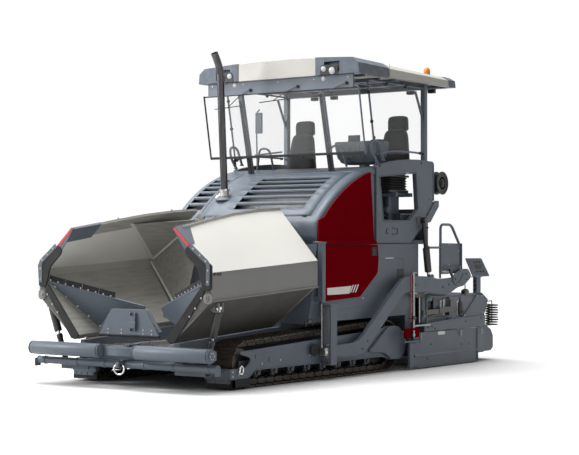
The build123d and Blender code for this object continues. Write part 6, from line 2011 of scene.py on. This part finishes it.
LOCK_X, LOCK_Y = 1.255, 4.620


def chain_link(n):
    """Link n of the lock's chain: an oval of wire. Every second one is a quarter turn round, and
    each hangs 22 mm below the one before."""
    oval = ring_of(0.010, 16) * (1, 1.5)
    line = raised(oval, 0.0, "x" if n % 2 else "y")
    return moved(swept(ring_of(0.0030, 6), line, closed=True), LOCK_X, LOCK_Y, 1.070 - 0.022 * n)


WEIGHT = [(0.925, 0.030, 0.050), (0.930, 0.034, 0.056), (0.972, 0.034, 0.056), (0.990, 0.022, 0.030),
          (0.996, 0.012, 0.016)]
weight = loft([raised(rounded_loop(a, b, 0.015) + (LOCK_X, LOCK_Y), z, "z") for z, a, b in WEIGHT])
pair("lock_chain", joined(*[chain_link(n) for n in range(4)]), black, "screed")
pair("lock_weight", weight, black, "screed")

# %% Lifting cylinders
top, eye = np.array((1.180, 3.670, 1.900)), np.array((1.180, 3.800, 1.150))
way = (eye - top) / np.linalg.norm(eye - top)
barrel = turned(top, top + way * 0.415, [(0.030, 0.026), (0.036, 0.029), (0.060, 0.031), (0.395, 0.031),
                                         (0.398, 0.033), (0.413, 0.033), (0.415, 0.030), (0.415, 0.0235)],
                28)
upper_eye = turned(top - (0.040, 0, 0), top + (0.040, 0, 0),
                   [(0, 0.0145), (0, 0.036), (0.003, 0.039), (0.077, 0.039), (0.080, 0.036),
                    (0.080, 0.0145)], 28, ring=True)
port = rod(top + way * 0.10 + (0.03, 0, 0), top + way * 0.10 + (0.062, 0, 0), 0.010, 10)
pair("lift_barrel", joined(barrel, upper_eye, port), black, "lift_barrels", whole=["lift_barrels"])
length = np.linalg.norm(eye - top)
shaft = turned(top + way * 0.352, eye - way * 0.022,
               [(0, 0.018), (0.003, 0.0215), (length - 0.376, 0.0215), (length - 0.374, 0.018)], 24)
cover = turned(top, eye, [(0.366, 0.0405), (0.366, 0.0435), (0.372, 0.0460), (0.672, 0.0460),
                          (0.684, 0.036), (0.684, 0.0225), (0.676, 0.0225), (0.672, 0.0405)],
               28, ring=True)
pair("lift_cover", cover, black, "lift_rods")
lower_eye = turned(eye - (0.018, 0, 0), eye + (0.018, 0, 0),
                   [(0, 0.020), (0.003, 0.0275), (0.033, 0.0275), (0.036, 0.020)], 24)
lower_pin = rod(eye - (0.018, 0, 0), (1.255, eye[1], eye[2]), 0.0135, 18)
pair("lift_rod", joined(shaft, lower_eye, lower_pin), chrome, "lift_rods", whole=["lift_rods"])
boot = joined(rod((1.128, 3.670, 1.900), (1.145, 3.670, 1.900), 0.050, 24),
              block((1.120, 1.150), (3.580, 3.720), (1.86, 1.94), 0.006))
pair("lift_bracket", boot, slate, "tractor")
print("arms and cylinders built")

# %% Walkway guard over the arm
guard_line = rounded([(3.945, 1.300), (4.500, 1.300), (4.506, 1.598), (3.945, 1.604)], 0.012)
guard = joined(slab(guard_line, 1.248, 1.254, "x", 0.002),
               block((1.248, 1.278), (3.943, 3.951), (1.145, 1.604), 0.002),
               block((1.248, 1.278), (4.500, 4.508), (1.245, 1.600), 0.002),
               block((1.236, 1.280), (3.951, 4.500), (1.296, 1.303), 0.002),
               block((1.243, 1.248), (3.951, 4.500), (1.200, 1.300), 0.001))
guard_rail = tube([(1.262, 3.960, 1.210), (1.262, 3.960, 1.846), (1.262, 4.236, 1.846),
                   (1.262, 4.452, 1.590)], 0.0178, 0.07, 16, 7)
guard_stub = tube([(1.262, 3.662, 1.545), (1.262, 3.955, 1.545)], 0.0145, 0.02, 12, 3)
stub_end = turned((1.262, 3.652, 1.545), (1.262, 3.680, 1.545),
                  [(0, 0.012), (0.004, 0.020), (0.022, 0.020), (0.028, 0.015)], 16)
pair("walk_guard", joined(guard, guard_rail, guard_stub, stub_end), slate, "screed",
     whole=["screed_guards"])
pair("walk_guard_bolts", bolts([(1.254, y, z) for y, z in ((4.20, 1.585), (4.20, 1.320), (4.45, 1.50))],
                               (1, 0, 0), 0.007, 0.005), steel, "screed")

# %% [markdown]
# ## Screed, end gates and masts
#
# The screed's bodies are plain plate boxes, so the nodes stay and get their fittings. The end gate is
# rebuilt with a rounded slot, a front channel and a running shoe, and the mast in front of it gets
# its painted sleeve, clamps and sensor bracket.

# %% End gate
gate_line = [(3.262, 0.060), (3.300, 0.024), (4.928, 0.022), (4.928, 0.462), (3.262, 0.462)]
slot = rounded([(3.872, 0.412), (4.069, 0.412), (4.069, 0.456), (3.872, 0.456)], 0.024, 7)
gate = slab(gate_line, 1.2555, 1.2740, "x", 0.002, [slot])
front_channel = joined(block((1.258, 1.290), (3.150, 3.240), (0.020, 0.340), 0.003),
                       block((1.256, 1.266), (3.235, 3.300), (0.030, 0.340), 0.001))
lip = slab([(1.272, 0.160), (1.296, 0.160), (1.296, 0.166), (1.274, 0.190)], 3.275, 4.905, "y", 0.001)
rear_fold = block((1.273, 1.286), (4.905, 4.928), (0.030, 0.462), 0.002)
shoe = joined(block((1.235, 1.290), (3.330, 4.880), (0.012, 0.030), 0.004),
              block((1.238, 1.286), (4.05, 4.50), (0.008, 0.013), 0.001))
channel_line = [(3.535, 0.465), (5.142, 0.477), (5.143, 0.626), (4.527, 0.614), (3.535, 0.570)]
channel = joined(slab(channel_line, 1.2555, 1.2750, "x", 0.004),
                 bar((1.270, 3.540, 0.568), (1.270, 4.530, 0.612), 0.022, 0.010, (1, 0, 0), 0.002))
pair("end_gate_plate", joined(gate, front_channel, lip, rear_fold, shoe, channel), slate, "extension_*",
     ["end_gate"], crisp=35)
dots = bolts([(1.2745, y, z) for y, z in ((3.70, 0.300), (3.60, 0.120))] +
             [(1.2755, y, z) for y, z in ((3.62, 0.520), (3.72, 0.528), (3.80, 0.500), (4.60, 0.560),
                                          (5.02, 0.590))], (1, 0, 0), 0.010, 0.008)
# The two black ovals are plates that paint the shade of oval slots in the gate.
slot_shades = joined(*[slab(rounded([(y - 0.012, z - 0.020), (y + 0.012, z - 0.020), (y + 0.012, z + 0.020),
                               (y - 0.012, z + 0.020)], 0.011), 1.2735, 1.2765, "x", 0.001)
                 for y, z in ((4.487, 0.261), (4.689, 0.260))])
pair("end_gate_bolts_and_slot_shades", joined(dots, slot_shades), black, "extension_*")
window_line = rounded([(3.868, 0.408), (4.073, 0.408), (4.073, 0.460), (3.868, 0.460)], 0.025)
pair("end_gate_window", slab(window_line, 1.260, 1.270, "x", 0.002), white, "extension_*")


def eye_spring(y, z):
    """Short coil spring with a stud: a helix of radius 10 mm."""
    t = np.linspace(0, 5 * 2 * np.pi, 61)
    line = np.column_stack([1.290 + 0.010 * np.cos(t), y + 0.010 * np.sin(t), z - 0.055 * t / t[-1]])
    ahead = swept_free(ring_of(0.0022, 6), line)
    return joined(ahead, rod((1.290, y, z + 0.012), (1.290, y, z - 0.066), 0.004, 8),
                  rod((1.276, y, z + 0.004), (1.296, y, z + 0.004), 0.006, 8))


pair("end_gate_springs", joined(*[eye_spring(y, 0.438) for y in (3.423, 4.446, 5.019)]), steel,
     "extension_*")

# %% Mast with its sleeve, clamps and red grips
MAST = (1.305, 3.215)
mast = rod((*MAST, 0.412), (*MAST, 1.238), 0.0155, 18)
mast_clamps = joined(*[block((1.286, 1.322), (3.188, 3.242), (z, z + 0.026), 0.005)
                       for z in (0.430, 0.955)],
                     block((1.273, 1.318), (3.215, 3.320), (0.425, 0.450), 0.003),
                     block((1.273, 1.318), (3.215, 3.615), (0.545, 0.566), 0.003),
                     turned((1.270, 3.185, 1.215), (1.325, 3.185, 1.215),
                            [(0, 0.008), (0.004, 0.014), (0.05, 0.014), (0.055, 0.008)], 14),
                     rod((1.305, 3.195, 1.222), (1.305, 3.310, 1.228), 0.006, 10),
                     rod((1.290, 3.160, 0.965), (1.290, 3.330, 0.965), 0.007, 10))
pair("mast_rod", joined(mast, mast_clamps), zinc, "extension_*")
scale_rod = rod((1.290, 3.180, 0.600), (1.290, 3.180, 1.215), 0.0065, 10)
pair("mast_scale", scale_rod, stripe_red, "extension_*")
GRIP_LINES = [[(3.005, 0.405), (3.120, 0.405), (3.120, 0.532), (3.005, 0.532)],
              [(3.222, 0.410), (3.332, 0.410), (3.332, 0.540), (3.222, 0.540)]]
grips = [slab(rounded(corners, 0.030), 1.283, 1.322, "x", 0.006) for corners in GRIP_LINES]
bridge = block((1.284, 1.322), (3.100, 3.240), (0.500, 0.532), 0.004)
pair("mast_grips", joined(*grips, bridge), red, "extension_*")
studs = joined(block((1.290, 1.316), (2.990, 3.420), (0.352, 0.372), 0.003),
               *[rod((1.303, y, 0.335), (1.303, y, 0.400), 0.009, 10)
                 for y in (3.010, 3.125, 3.250, 3.370)])
pair("mast_studs", studs, slate, "extension_*")
spring_clamp = joined(*[turned((*MAST, z), (*MAST, z + 0.018),
                               [(0, 0.0158), (0, 0.0235), (0.018, 0.0235), (0.018, 0.0158)], 18, ring=True)
                        for z in (0.640, 0.664)],
                      rod((1.290, 3.130, 0.652), (1.290, 3.300, 0.652), 0.010, 10))
pair("mast_spring", spring_clamp, black, "extension_*")
print("gates and masts built")

# %% [markdown]
# ### Fittings between the arm and the side beam
#
# Behind the mast stand the leg that ties the screed to the arm, a setting bar, a damper and the
# spindles. They are small, but from the side they fill the gap under the arm.

# %% The screed's own body and its extensions
main_line = [(3.720, 0.160), (3.760, 0.120), (4.230, 0.120), (4.230, 0.640), (4.100, 0.700), (3.780, 0.700),
             (3.720, 0.620)]
main_body = joined(slab(main_line, -1.190, 1.190, "x", 0.005),
                   both(block((1.140, 1.156), (3.960, 4.200), (0.600, 1.120), 0.003)),
                   *[both(block((a, b), (4.229, 4.318), (z - 0.058, z + 0.058), 0.004))
                     for a, b in ((0.150, 0.300), (0.850, 1.000)) for z in (0.420, 0.570)])
piece("screed_body", main_body, slate, "screed", ["screed_main"])
seams = [block((x, x + 0.006), (3.717, 3.722), (0.170, 0.610), 0.001) for x in (-0.60, -0.003, 0.60)]
face_heads = [(x, 3.720, z) for x in (0.15, 0.45, 0.75, 1.05) for z in (0.22, 0.56)]
piece("screed_seams", joined(*seams, both(bolts(face_heads, (0, -1, 0), 0.011, 0.008))), black, "screed")
side_line = [(4.250, 0.477), (5.142, 0.477), (5.143, 0.626), (5.258, 0.831), (5.088, 0.925), (4.948, 0.923),
             (4.527, 0.614), (4.250, 0.600)]
cover_line = [(4.527, 0.594), (4.952, 0.905), (5.084, 0.905), (5.238, 0.820), (5.130, 0.626),
              (5.150, 0.620), (5.260, 0.831),
              (5.090, 0.927), (4.947, 0.925), (4.515, 0.606)]
rear_line = [(5.100, 0.470), (5.330, 0.470), (5.453, 0.418), (5.516, 0.330), (5.516, 0.160), (5.445, 0.122),
             (5.100, 0.120)]
HAND_RAIL = [(4.940, 0.880), (4.900, 0.905), (3.700, 0.912), (3.640, 0.880), (3.640, 0.560)]


def extension_body(tube_z):
    """Left extension: floor box, side and cover plates, rear hood, side brackets, hand rail and the
    guide tube, whose height differs from side to side so that the two tubes pass each other."""
    return joined(
        block((0.010, 1.255), (4.380, 5.143), (0.120, 0.460), 0.004),
        slab(side_line, 1.234, 1.254, "x", 0.003),
        slab(cover_line, 0.030, 1.254, "x", 0.002),
        slab(rounded(rear_line, 0.012), 0.010, 1.194, "x", 0.004),
        block((1.235, 1.255), (4.250, 4.400), (0.340, 0.480), 0.002),
        block((1.235, 1.255), (3.600, 4.260), (0.477, 0.575), 0.002),
        block((0.030, 0.050), (4.527, 5.143), (0.455, 0.620), 0.002),
        rod((-1.090, 4.298, tube_z), (1.236, 4.298, tube_z), 0.044, 28),
        tube(raised(np.array(HAND_RAIL), 1.240, "x"), 0.013, 0.03, 12, 5))


for side, shape in (("left", extension_body(0.570)), ("right", mirrored(extension_body(0.420)))):
    piece(f"extension_body_{side}", shape, slate, f"extension_{side}", [f"screed_extension_{side}"])
liner = slab([(4.560, 0.605), (4.960, 0.895), (5.080, 0.895), (5.225, 0.820), (5.120, 0.605)],
             1.130, 1.142, "x", 0.002)
pair("extension_liner", liner, black_plastic, "extension_*")
print("screed bodies built")

# %% Side fittings
leg = joined(block((1.140, 1.200), (3.600, 3.680), (0.560, 0.985), 0.008),
             turned((1.120, 3.872, 0.915), (1.165, 3.872, 0.915),
                    [(0, 0.055), (0.004, 0.072), (0.040, 0.072), (0.045, 0.060)], 30),
             block((1.100, 1.150), (4.230, 4.300), (0.700, 0.990), 0.010))
pair("screed_leg", leg, slate, "screed")
valves = joined(block((0.960, 1.080), (3.740, 4.520), (0.640, 0.910), 0.012),
                block((1.080, 1.130), (3.760, 4.040), (0.720, 0.900), 0.010),
                block((1.080, 1.120), (4.330, 4.480), (0.690, 0.860), 0.010),
                *[rod((1.080, y, z), (1.150, y, z), 0.030, 18)
                  for y, z in ((4.10, 0.80), (4.20, 0.80), (4.10, 0.70), (3.84, 0.80))])
pair("valve_block", valves, black_plastic, "screed")
setting = joined(bar((1.200, 3.600, 0.702), (1.200, 4.010, 0.712), 0.020, 0.066, (1, 0, 0), 0.004),
                 bar((1.200, 4.030, 0.722), (1.200, 4.500, 0.732), 0.020, 0.074, (1, 0, 0), 0.004))
olive = paint("olive grey paint", (0.085, 0.085, 0.070), 0.45)
pair("setting_bar", setting, olive, "screed")
pair("setting_box", block((1.180, 1.210), (3.430, 3.600), (0.905, 0.970), 0.008), olive, "screed")
damper = joined(turned((1.190, 4.600, 0.625), (1.190, 4.600, 0.835),
                       [(0, 0.020), (0.006, 0.034), (0.185, 0.034), (0.195, 0.024), (0.210, 0.024)], 20),
                rod((1.190, 4.600, 0.830), (1.190, 4.600, 0.885), 0.010, 12))
pair("damper", damper, black, "extension_*")
spindles = joined(*[joined(rod((1.180, y, 0.640), (1.180, y, z), 0.008, 10),
                           bolts([(1.180, y, z)], (0, 0, 1), 0.013, 0.020))
                    for y, z in ((4.100, 0.830), (4.180, 0.840), (4.545, 0.815), (3.700, 0.680))],
                  rod((1.200, 3.530, 0.580), (1.200, 3.530, 0.905), 0.009, 12),
                  both(rod((0.40, 4.260, 0.720), (0.40, 4.260, 0.790), 0.012, 12)))
pair("spindles", spindles, steel, "screed")
signal = turned((1.190, 3.730, 0.850), (1.190, 3.730, 0.930),
                [(0, 0.016), (0.006, 0.021), (0.074, 0.021), (0.080, 0.014)], 18)
pair("signal_lamp", signal, green, "screed")
pair("signal_base", block((1.190, 1.215), (3.640, 3.760), (0.948, 0.960), 0.004), white, "screed")
ties = joined(*[tube([(1.190, 3.660 + 0.02 * n, 0.640), (1.200, 3.900 + 0.03 * n, 0.655 + 0.012 * n),
                      (1.190, 4.240, 0.640)], 0.009, 0.10, 8, 6) for n in range(3)])
pair("side_pipes", ties, black, "screed")

# %% Side plate's fittings and the remote panel
side_bolts = bolts([(1.256, y, z) for y, z in ((4.60, 0.640), (4.95, 0.890), (5.08, 0.890), (5.10, 0.660),
                                               (4.70, 0.600))], (1, 0, 0), 0.009, 0.006)
inner_flange = bar((1.238, 4.535, 0.640), (1.238, 4.945, 0.918), 0.040, 0.010, edge=0.002)
pair("side_plate_flange", inner_flange, slate, "extension_*")
pair("side_plate_bolts", side_bolts, steel, "extension_*")
panel_post = joined(block((1.190, 1.250), (4.950, 5.065), (0.925, 1.150), 0.004),
                    block((1.180, 1.262), (4.900, 5.080), (1.140, 1.152), 0.003))
panel_line = [(4.612, 1.402), (5.045, 1.400), (5.285, 1.150), (4.822, 1.146)]
panel_frame = slab(rounded(panel_line, 0.025, 5), 1.252, 1.274, "x", 0.007)
pair("remote_case", joined(panel_post, panel_frame), slate, "extension_*", ["remote_panel"])
# Black discs on the post paint the shade in its three holes.
holes = bolts([(1.220, 4.950, z) for z in (0.975, 1.030, 1.085)], (0, -1, 0), 0.012, 0.004)
pair("remote_post_holes", holes, black, "extension_*")
face_line = rounded([(4.665, 1.385), (5.025, 1.383), (5.240, 1.166), (4.855, 1.163)], 0.02, 5)
face = slab(face_line, 1.274, 1.2765, "x", 0.001)
knobs = joined(*[turned((1.276, y, z), (1.288, y, z), [(0, 0.010), (0.008, 0.010), (0.012, 0.007)], 14)
                 for y, z in ((4.83, 1.345), (4.90, 1.345), (4.97, 1.345), (4.92, 1.22), (5.00, 1.22),
                              (5.08, 1.22))],
               slab(rounded([(4.86, 1.255), (5.03, 1.259), (5.06, 1.315), (4.86, 1.315)], 0.01, 4),
                    1.276, 1.279, "x", 0.001))
pair("remote_face", face, plastic, "extension_*")
pair("remote_knobs", knobs, black_plastic, "extension_*")

# %% [markdown]
# ### Augers
#
# A flight is a ribbon wound round the shaft. For turn t and radius r its points are
# (x0 + pitch t / 2 pi, r cos t, r sin t). Four such lines, at two radii and two places along the
# shaft, are the corners of the blade's section.

# %% Auger flights
AUGER = (3.400, 0.430)


def flight(start, end, pitch, inner, outer, thick, steps_per_turn=22):
    """Helical blade: a closed four-corner section carried round and along the shaft."""
    turns = (end - start) / pitch
    t = np.linspace(0, 2 * np.pi * turns, int(steps_per_turn * turns))
    corners = np.array([(inner, -thick / 2), (outer, -thick / 2), (outer, thick / 2), (inner, thick / 2)])
    x = start + pitch * t[:, None] / (2 * np.pi) + corners[None, :, 1]
    y = AUGER[0] + corners[None, :, 0] * np.cos(t)[:, None]
    z = AUGER[1] + corners[None, :, 0] * np.sin(t)[:, None]
    return loft(np.stack([x, y, z], axis=2))


auger_shaft = rod((0.062, *AUGER), (1.078, *AUGER), 0.0395, 22)
auger_collars = [turned((x, *AUGER), (x + 0.03, *AUGER),
                        [(0, 0.041), (0.004, 0.052), (0.026, 0.052), (0.030, 0.041)], 18)
                 for x in (0.30, 0.72)]
auger = joined(auger_shaft, flight(0.085, 1.055, 0.300, 0.036, 0.156, 0.016), *auger_collars)
pair("auger_flight", auger, steel, "auger_*", ["auger"], crisp=30)
print("augers built")

# %% [markdown]
# ## Cleaning hose reel and the coiled heater hose
#
# The reel is two pressed discs with the hose wound between them. At the rear left hangs the heater
# hose, coiled over a hook: one cord whose turns are points of a smooth curve, 14 to a turn.

# %% Reel
REEL = (4.290, 2.400)


def disc(x0, x1):
    """Pressed disc with a rolled rim, a ring of ribs and a hub."""
    rows = [(0.0, 0.030), (0.0, 0.060), (0.003, 0.070), (0.003, 0.135), (0.006, 0.148), (0.010, 0.154),
            (0.014, 0.154), (0.016, 0.148),
            (0.010, 0.136), (0.010, 0.060), (0.012, 0.030)]
    return turned((x0, *REEL), (x1, *REEL), rows, 40)


wound = [swept(ring_of(0.0105, 10), raised(arc_loop(REEL, radius, 40), x, "x"), closed=True)
         for x, radius in ((1.034, 0.128), (1.055, 0.131), (1.076, 0.128), (1.044, 0.112), (1.066, 0.112))]
reel = joined(disc(1.022, 1.010), disc(1.088, 1.100), rod((1.012, *REEL), (1.098, *REEL), 0.085, 30),
              *wound,
              turned((1.098, *REEL), (1.112, *REEL), [(0, 0.040), (0.008, 0.040), (0.014, 0.026)], 24))
pair("hose_reel_drum", reel, black_plastic, "tractor", whole=["hose_reel"])
print("reel built")


# %% Coiled cords
def coil_points(centre, radii, low, high, turns, per_turn=14):
    """Helix with a slowly changing radius: (cx + a cos t, cy + b sin t, low to high), plus a small
    wobble of the radius so that no two turns lie exactly alike."""
    t = np.linspace(0, 2 * np.pi * turns, int(turns * per_turn) + 1)
    wobble = 1 + 0.05 * np.sin(2.3 * t) + 0.03 * np.cos(0.7 * t)
    return np.column_stack([centre[0] + radii[0] * wobble * np.cos(t),
                            centre[1] + radii[1] * wobble * np.sin(t),
                            np.linspace(low, high, len(t))])


def cord_curve(name, points, radius, finish):
    """Smooth NURBS cord through its control points."""
    data = bpy.data.curves.new(name, "CURVE")
    data.dimensions = "3D"
    data.bevel_depth = radius
    data.bevel_resolution = 4
    data.use_fill_caps = True
    line = data.splines.new("NURBS")
    line.points.add(len(points) - 1)
    rows = np.column_stack([points - (0, MIDDLE, 0), np.ones(len(points))])
    line.points.foreach_set("co", rows.astype(np.float32).ravel())
    line.order_u = 3
    line.use_endpoint_u = True
    line.resolution_u = 6
    data.materials.append(finish)
    item = bpy.data.objects.new(name, data)
    bpy.context.scene.collection.objects.link(item)
    return item


# %% The heater hose over its hook
def quadratic_length(points):
    """Length of the quadratic B-spline of the points, from 16 samples of each of its spans:
    p(t) = (1-t)^2 a / 2 + (1 + 2t - 2t^2) b / 2 + t^2 c / 2."""
    t = np.linspace(0, 1, 16)[:, None, None]
    a, b, c = points[None, :-2], points[None, 1:-1], points[None, 2:]
    line = ((1 - t) ** 2 * a + (1 + 2 * t - 2 * t * t) * b + t * t * c) / 2
    line = line.transpose(1, 0, 2).reshape(-1, 3)
    return float(np.linalg.norm(np.diff(line, axis=0), axis=1).sum())


HOSE = 0.018
COIL = (1.226, 5.414)
lead = np.array([(1.160, 5.245, 0.690), (1.160, 5.262, 0.730), (1.166, 5.290, 0.762),
                 (1.185, 5.325, 0.778)])
coil = coil_points(COIL, (0.082, 0.082), 0.785, 0.470, 9.5)
hose_line = np.concatenate([lead, coil[7:]])
hose = cord_curve("heater_hose_left", hose_line, HOSE / 2, rubber)
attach(hose, "extension_left")
end, back = hose_line[-1], hose_line[-2]
tail = (end - back) / np.linalg.norm(end - back)
sleeve = rod(end - tail * 0.012, end + tail * 0.050, 0.0135, 18)
nut = turned(end + tail * 0.048, end + tail * 0.075,
             [(0, 0.010), (0.004, 0.0155), (0.022, 0.0155), (0.027, 0.011)], 18)
plug = piece("hose_coupling_left", joined(sleeve, nut), green, "extension_left")
quadratic_length(hose_line)
hook_rod = tube([(1.226, 5.225, 0.800), (1.226, 5.420, 0.812), (1.226, 5.420, 0.520)], 0.007, 0.02, 10, 4)
piece("hose_hook_left", joined(hook_rod, rod((1.160, 5.240, 0.640), (1.160, 5.240, 0.700), 0.014, 14)),
      slate, "extension_left")
print("hose", round(quadratic_length(hose_line), 3), "m")

# %% [markdown]
# ## Floor, light and camera
#
# The floor is white paper. Its own diffuse colour takes the shadow; a glow seen only by the camera
# lifts the rest to white without lighting the machine. Ambient occlusion weakens the glow where the
# machine stands close, and so paints a soft shadow round it.
# One wide lamp hangs above, a softer one stands in front on each side, and the sky fills in.

# %% Floor
def white_floor():
    """Wide sheet just under the tracks."""
    size = 60.0
    corners = np.array([(-size, -size, 0), (size, -size, 0), (size, size, 0), (-size, size, 0)], float)
    mesh = bpy.data.meshes.new("floor")
    mesh.from_pydata(corners - (0, 0, 0.001), [], [(0, 1, 2, 3)])
    item = bpy.data.objects.new("floor", mesh)
    bpy.context.scene.collection.objects.link(item)
    made = bpy.data.materials.new("floor paper")
    made.use_nodes = True
    tree = made.node_tree
    shader = tree.nodes["Principled BSDF"]
    shader.inputs["Roughness"].default_value = 0.9
    shader.inputs["Specular IOR Level"].default_value = 0.1
    paper = ramp(tree, spots(tree, 2.0, 2), [(0.3, (0.60, 0.60, 0.60)), (0.7, (0.61, 0.61, 0.61))])
    tree.links.new(paper, shader.inputs["Base Color"])
    # Ambient occlusion weakens the glow near the machine: a painted soft shadow on the floor.
    painted_shadow_ao = tree.nodes.new("ShaderNodeAmbientOcclusion")
    painted_shadow_ao.inputs["Distance"].default_value = 5.0
    painted_shadow_ao.samples = 8
    light = tree.nodes.new("ShaderNodeLightPath")
    seen = tree.nodes.new("ShaderNodeMath")
    seen.operation = "MAXIMUM"
    tree.links.new(light.outputs["Is Camera Ray"], seen.inputs[0])
    tree.links.new(light.outputs["Is Glossy Ray"], seen.inputs[1])
    glow = tree.nodes.new("ShaderNodeMath")
    glow.operation = "MULTIPLY"
    tree.links.new(seen.outputs[0], glow.inputs[0])
    tree.links.new(spread(tree, painted_shadow_ao.outputs["AO"], 0.0, 0.80, 0.42, 0.99), glow.inputs[1])
    shader.inputs["Emission Color"].default_value = (1, 1, 1, 1)
    tree.links.new(glow.outputs[0], shader.inputs["Emission Strength"])
    mesh.materials.append(made)


white_floor()


# %% Sky and lamps
def sky():
    """Even pale sky that the camera and reflections see as white."""
    world = bpy.data.worlds.new("studio")
    bpy.context.scene.world = world
    world.use_nodes = True
    tree = world.node_tree
    back = tree.nodes["Background"]
    back.inputs["Color"].default_value = (1, 1, 1, 1)
    light = tree.nodes.new("ShaderNodeLightPath")
    seen = light.outputs["Is Camera Ray"]
    for name in ("Is Glossy Ray", "Is Transmission Ray"):
        either = tree.nodes.new("ShaderNodeMath")
        either.operation = "MAXIMUM"
        tree.links.new(seen, either.inputs[0])
        tree.links.new(light.outputs[name], either.inputs[1])
        seen = either.outputs[0]
    tree.links.new(spread(tree, seen, SKY, 1.0, 0.0, 1.0), back.inputs["Strength"])


def lamp(name, place, target, size, power):
    """Square soft lamp turned towards a target."""
    data = bpy.data.lights.new(name, "AREA")
    data.size = size
    data.energy = power
    item = bpy.data.objects.new(name, data)
    item.location = place
    item.rotation_euler = (Vector(target) - Vector(place)).to_track_quat("-Z", "Y").to_euler()
    bpy.context.scene.collection.objects.link(item)


SKY = 0.30
sky()
lamp("overhead", (-1.5, -1.0, 9.0), (0, 0, 0.5), 7.0, 1250)
lamp("front left", (-9.0, -9.0, 6.0), (0, -1.0, 1.0), 5.0, 1050)
lamp("front right", (11.0, -4.0, 5.0), (0, 0.5, 1.2), 5.0, 12)

# %% [markdown]
# ### The camera
#
# A long lens from the machine's front left corner, at chest height. It looks level, so the uprights
# stay upright.

# %% Camera
EYE = (11.554, -13.698 - MIDDLE, 1.584)
TURN, PITCH = math.radians(35.763), math.radians(0.627)
LENS = 97.0


def camera():
    """Camera at EYE, turned by TURN from looking along +Y and raised by PITCH."""
    data = bpy.data.cameras.new("camera")
    data.lens = LENS
    data.sensor_width = 36.0
    data.clip_end = 200.0
    item = bpy.data.objects.new("camera", data)
    item.location = EYE
    item.rotation_euler = (math.pi / 2 + PITCH, 0, TURN)
    bpy.context.scene.collection.objects.link(item)
    bpy.context.scene.camera = item


camera()
bpy.context.scene.view_settings.view_transform = "Standard"

# %% [markdown]
# ## Count of pieces
#
# The last cell prints how many pieces were added and how many faces they have.

# %% Pieces and faces
print("pieces", len(PIECES), "faces", sum(count for _, count in PIECES))
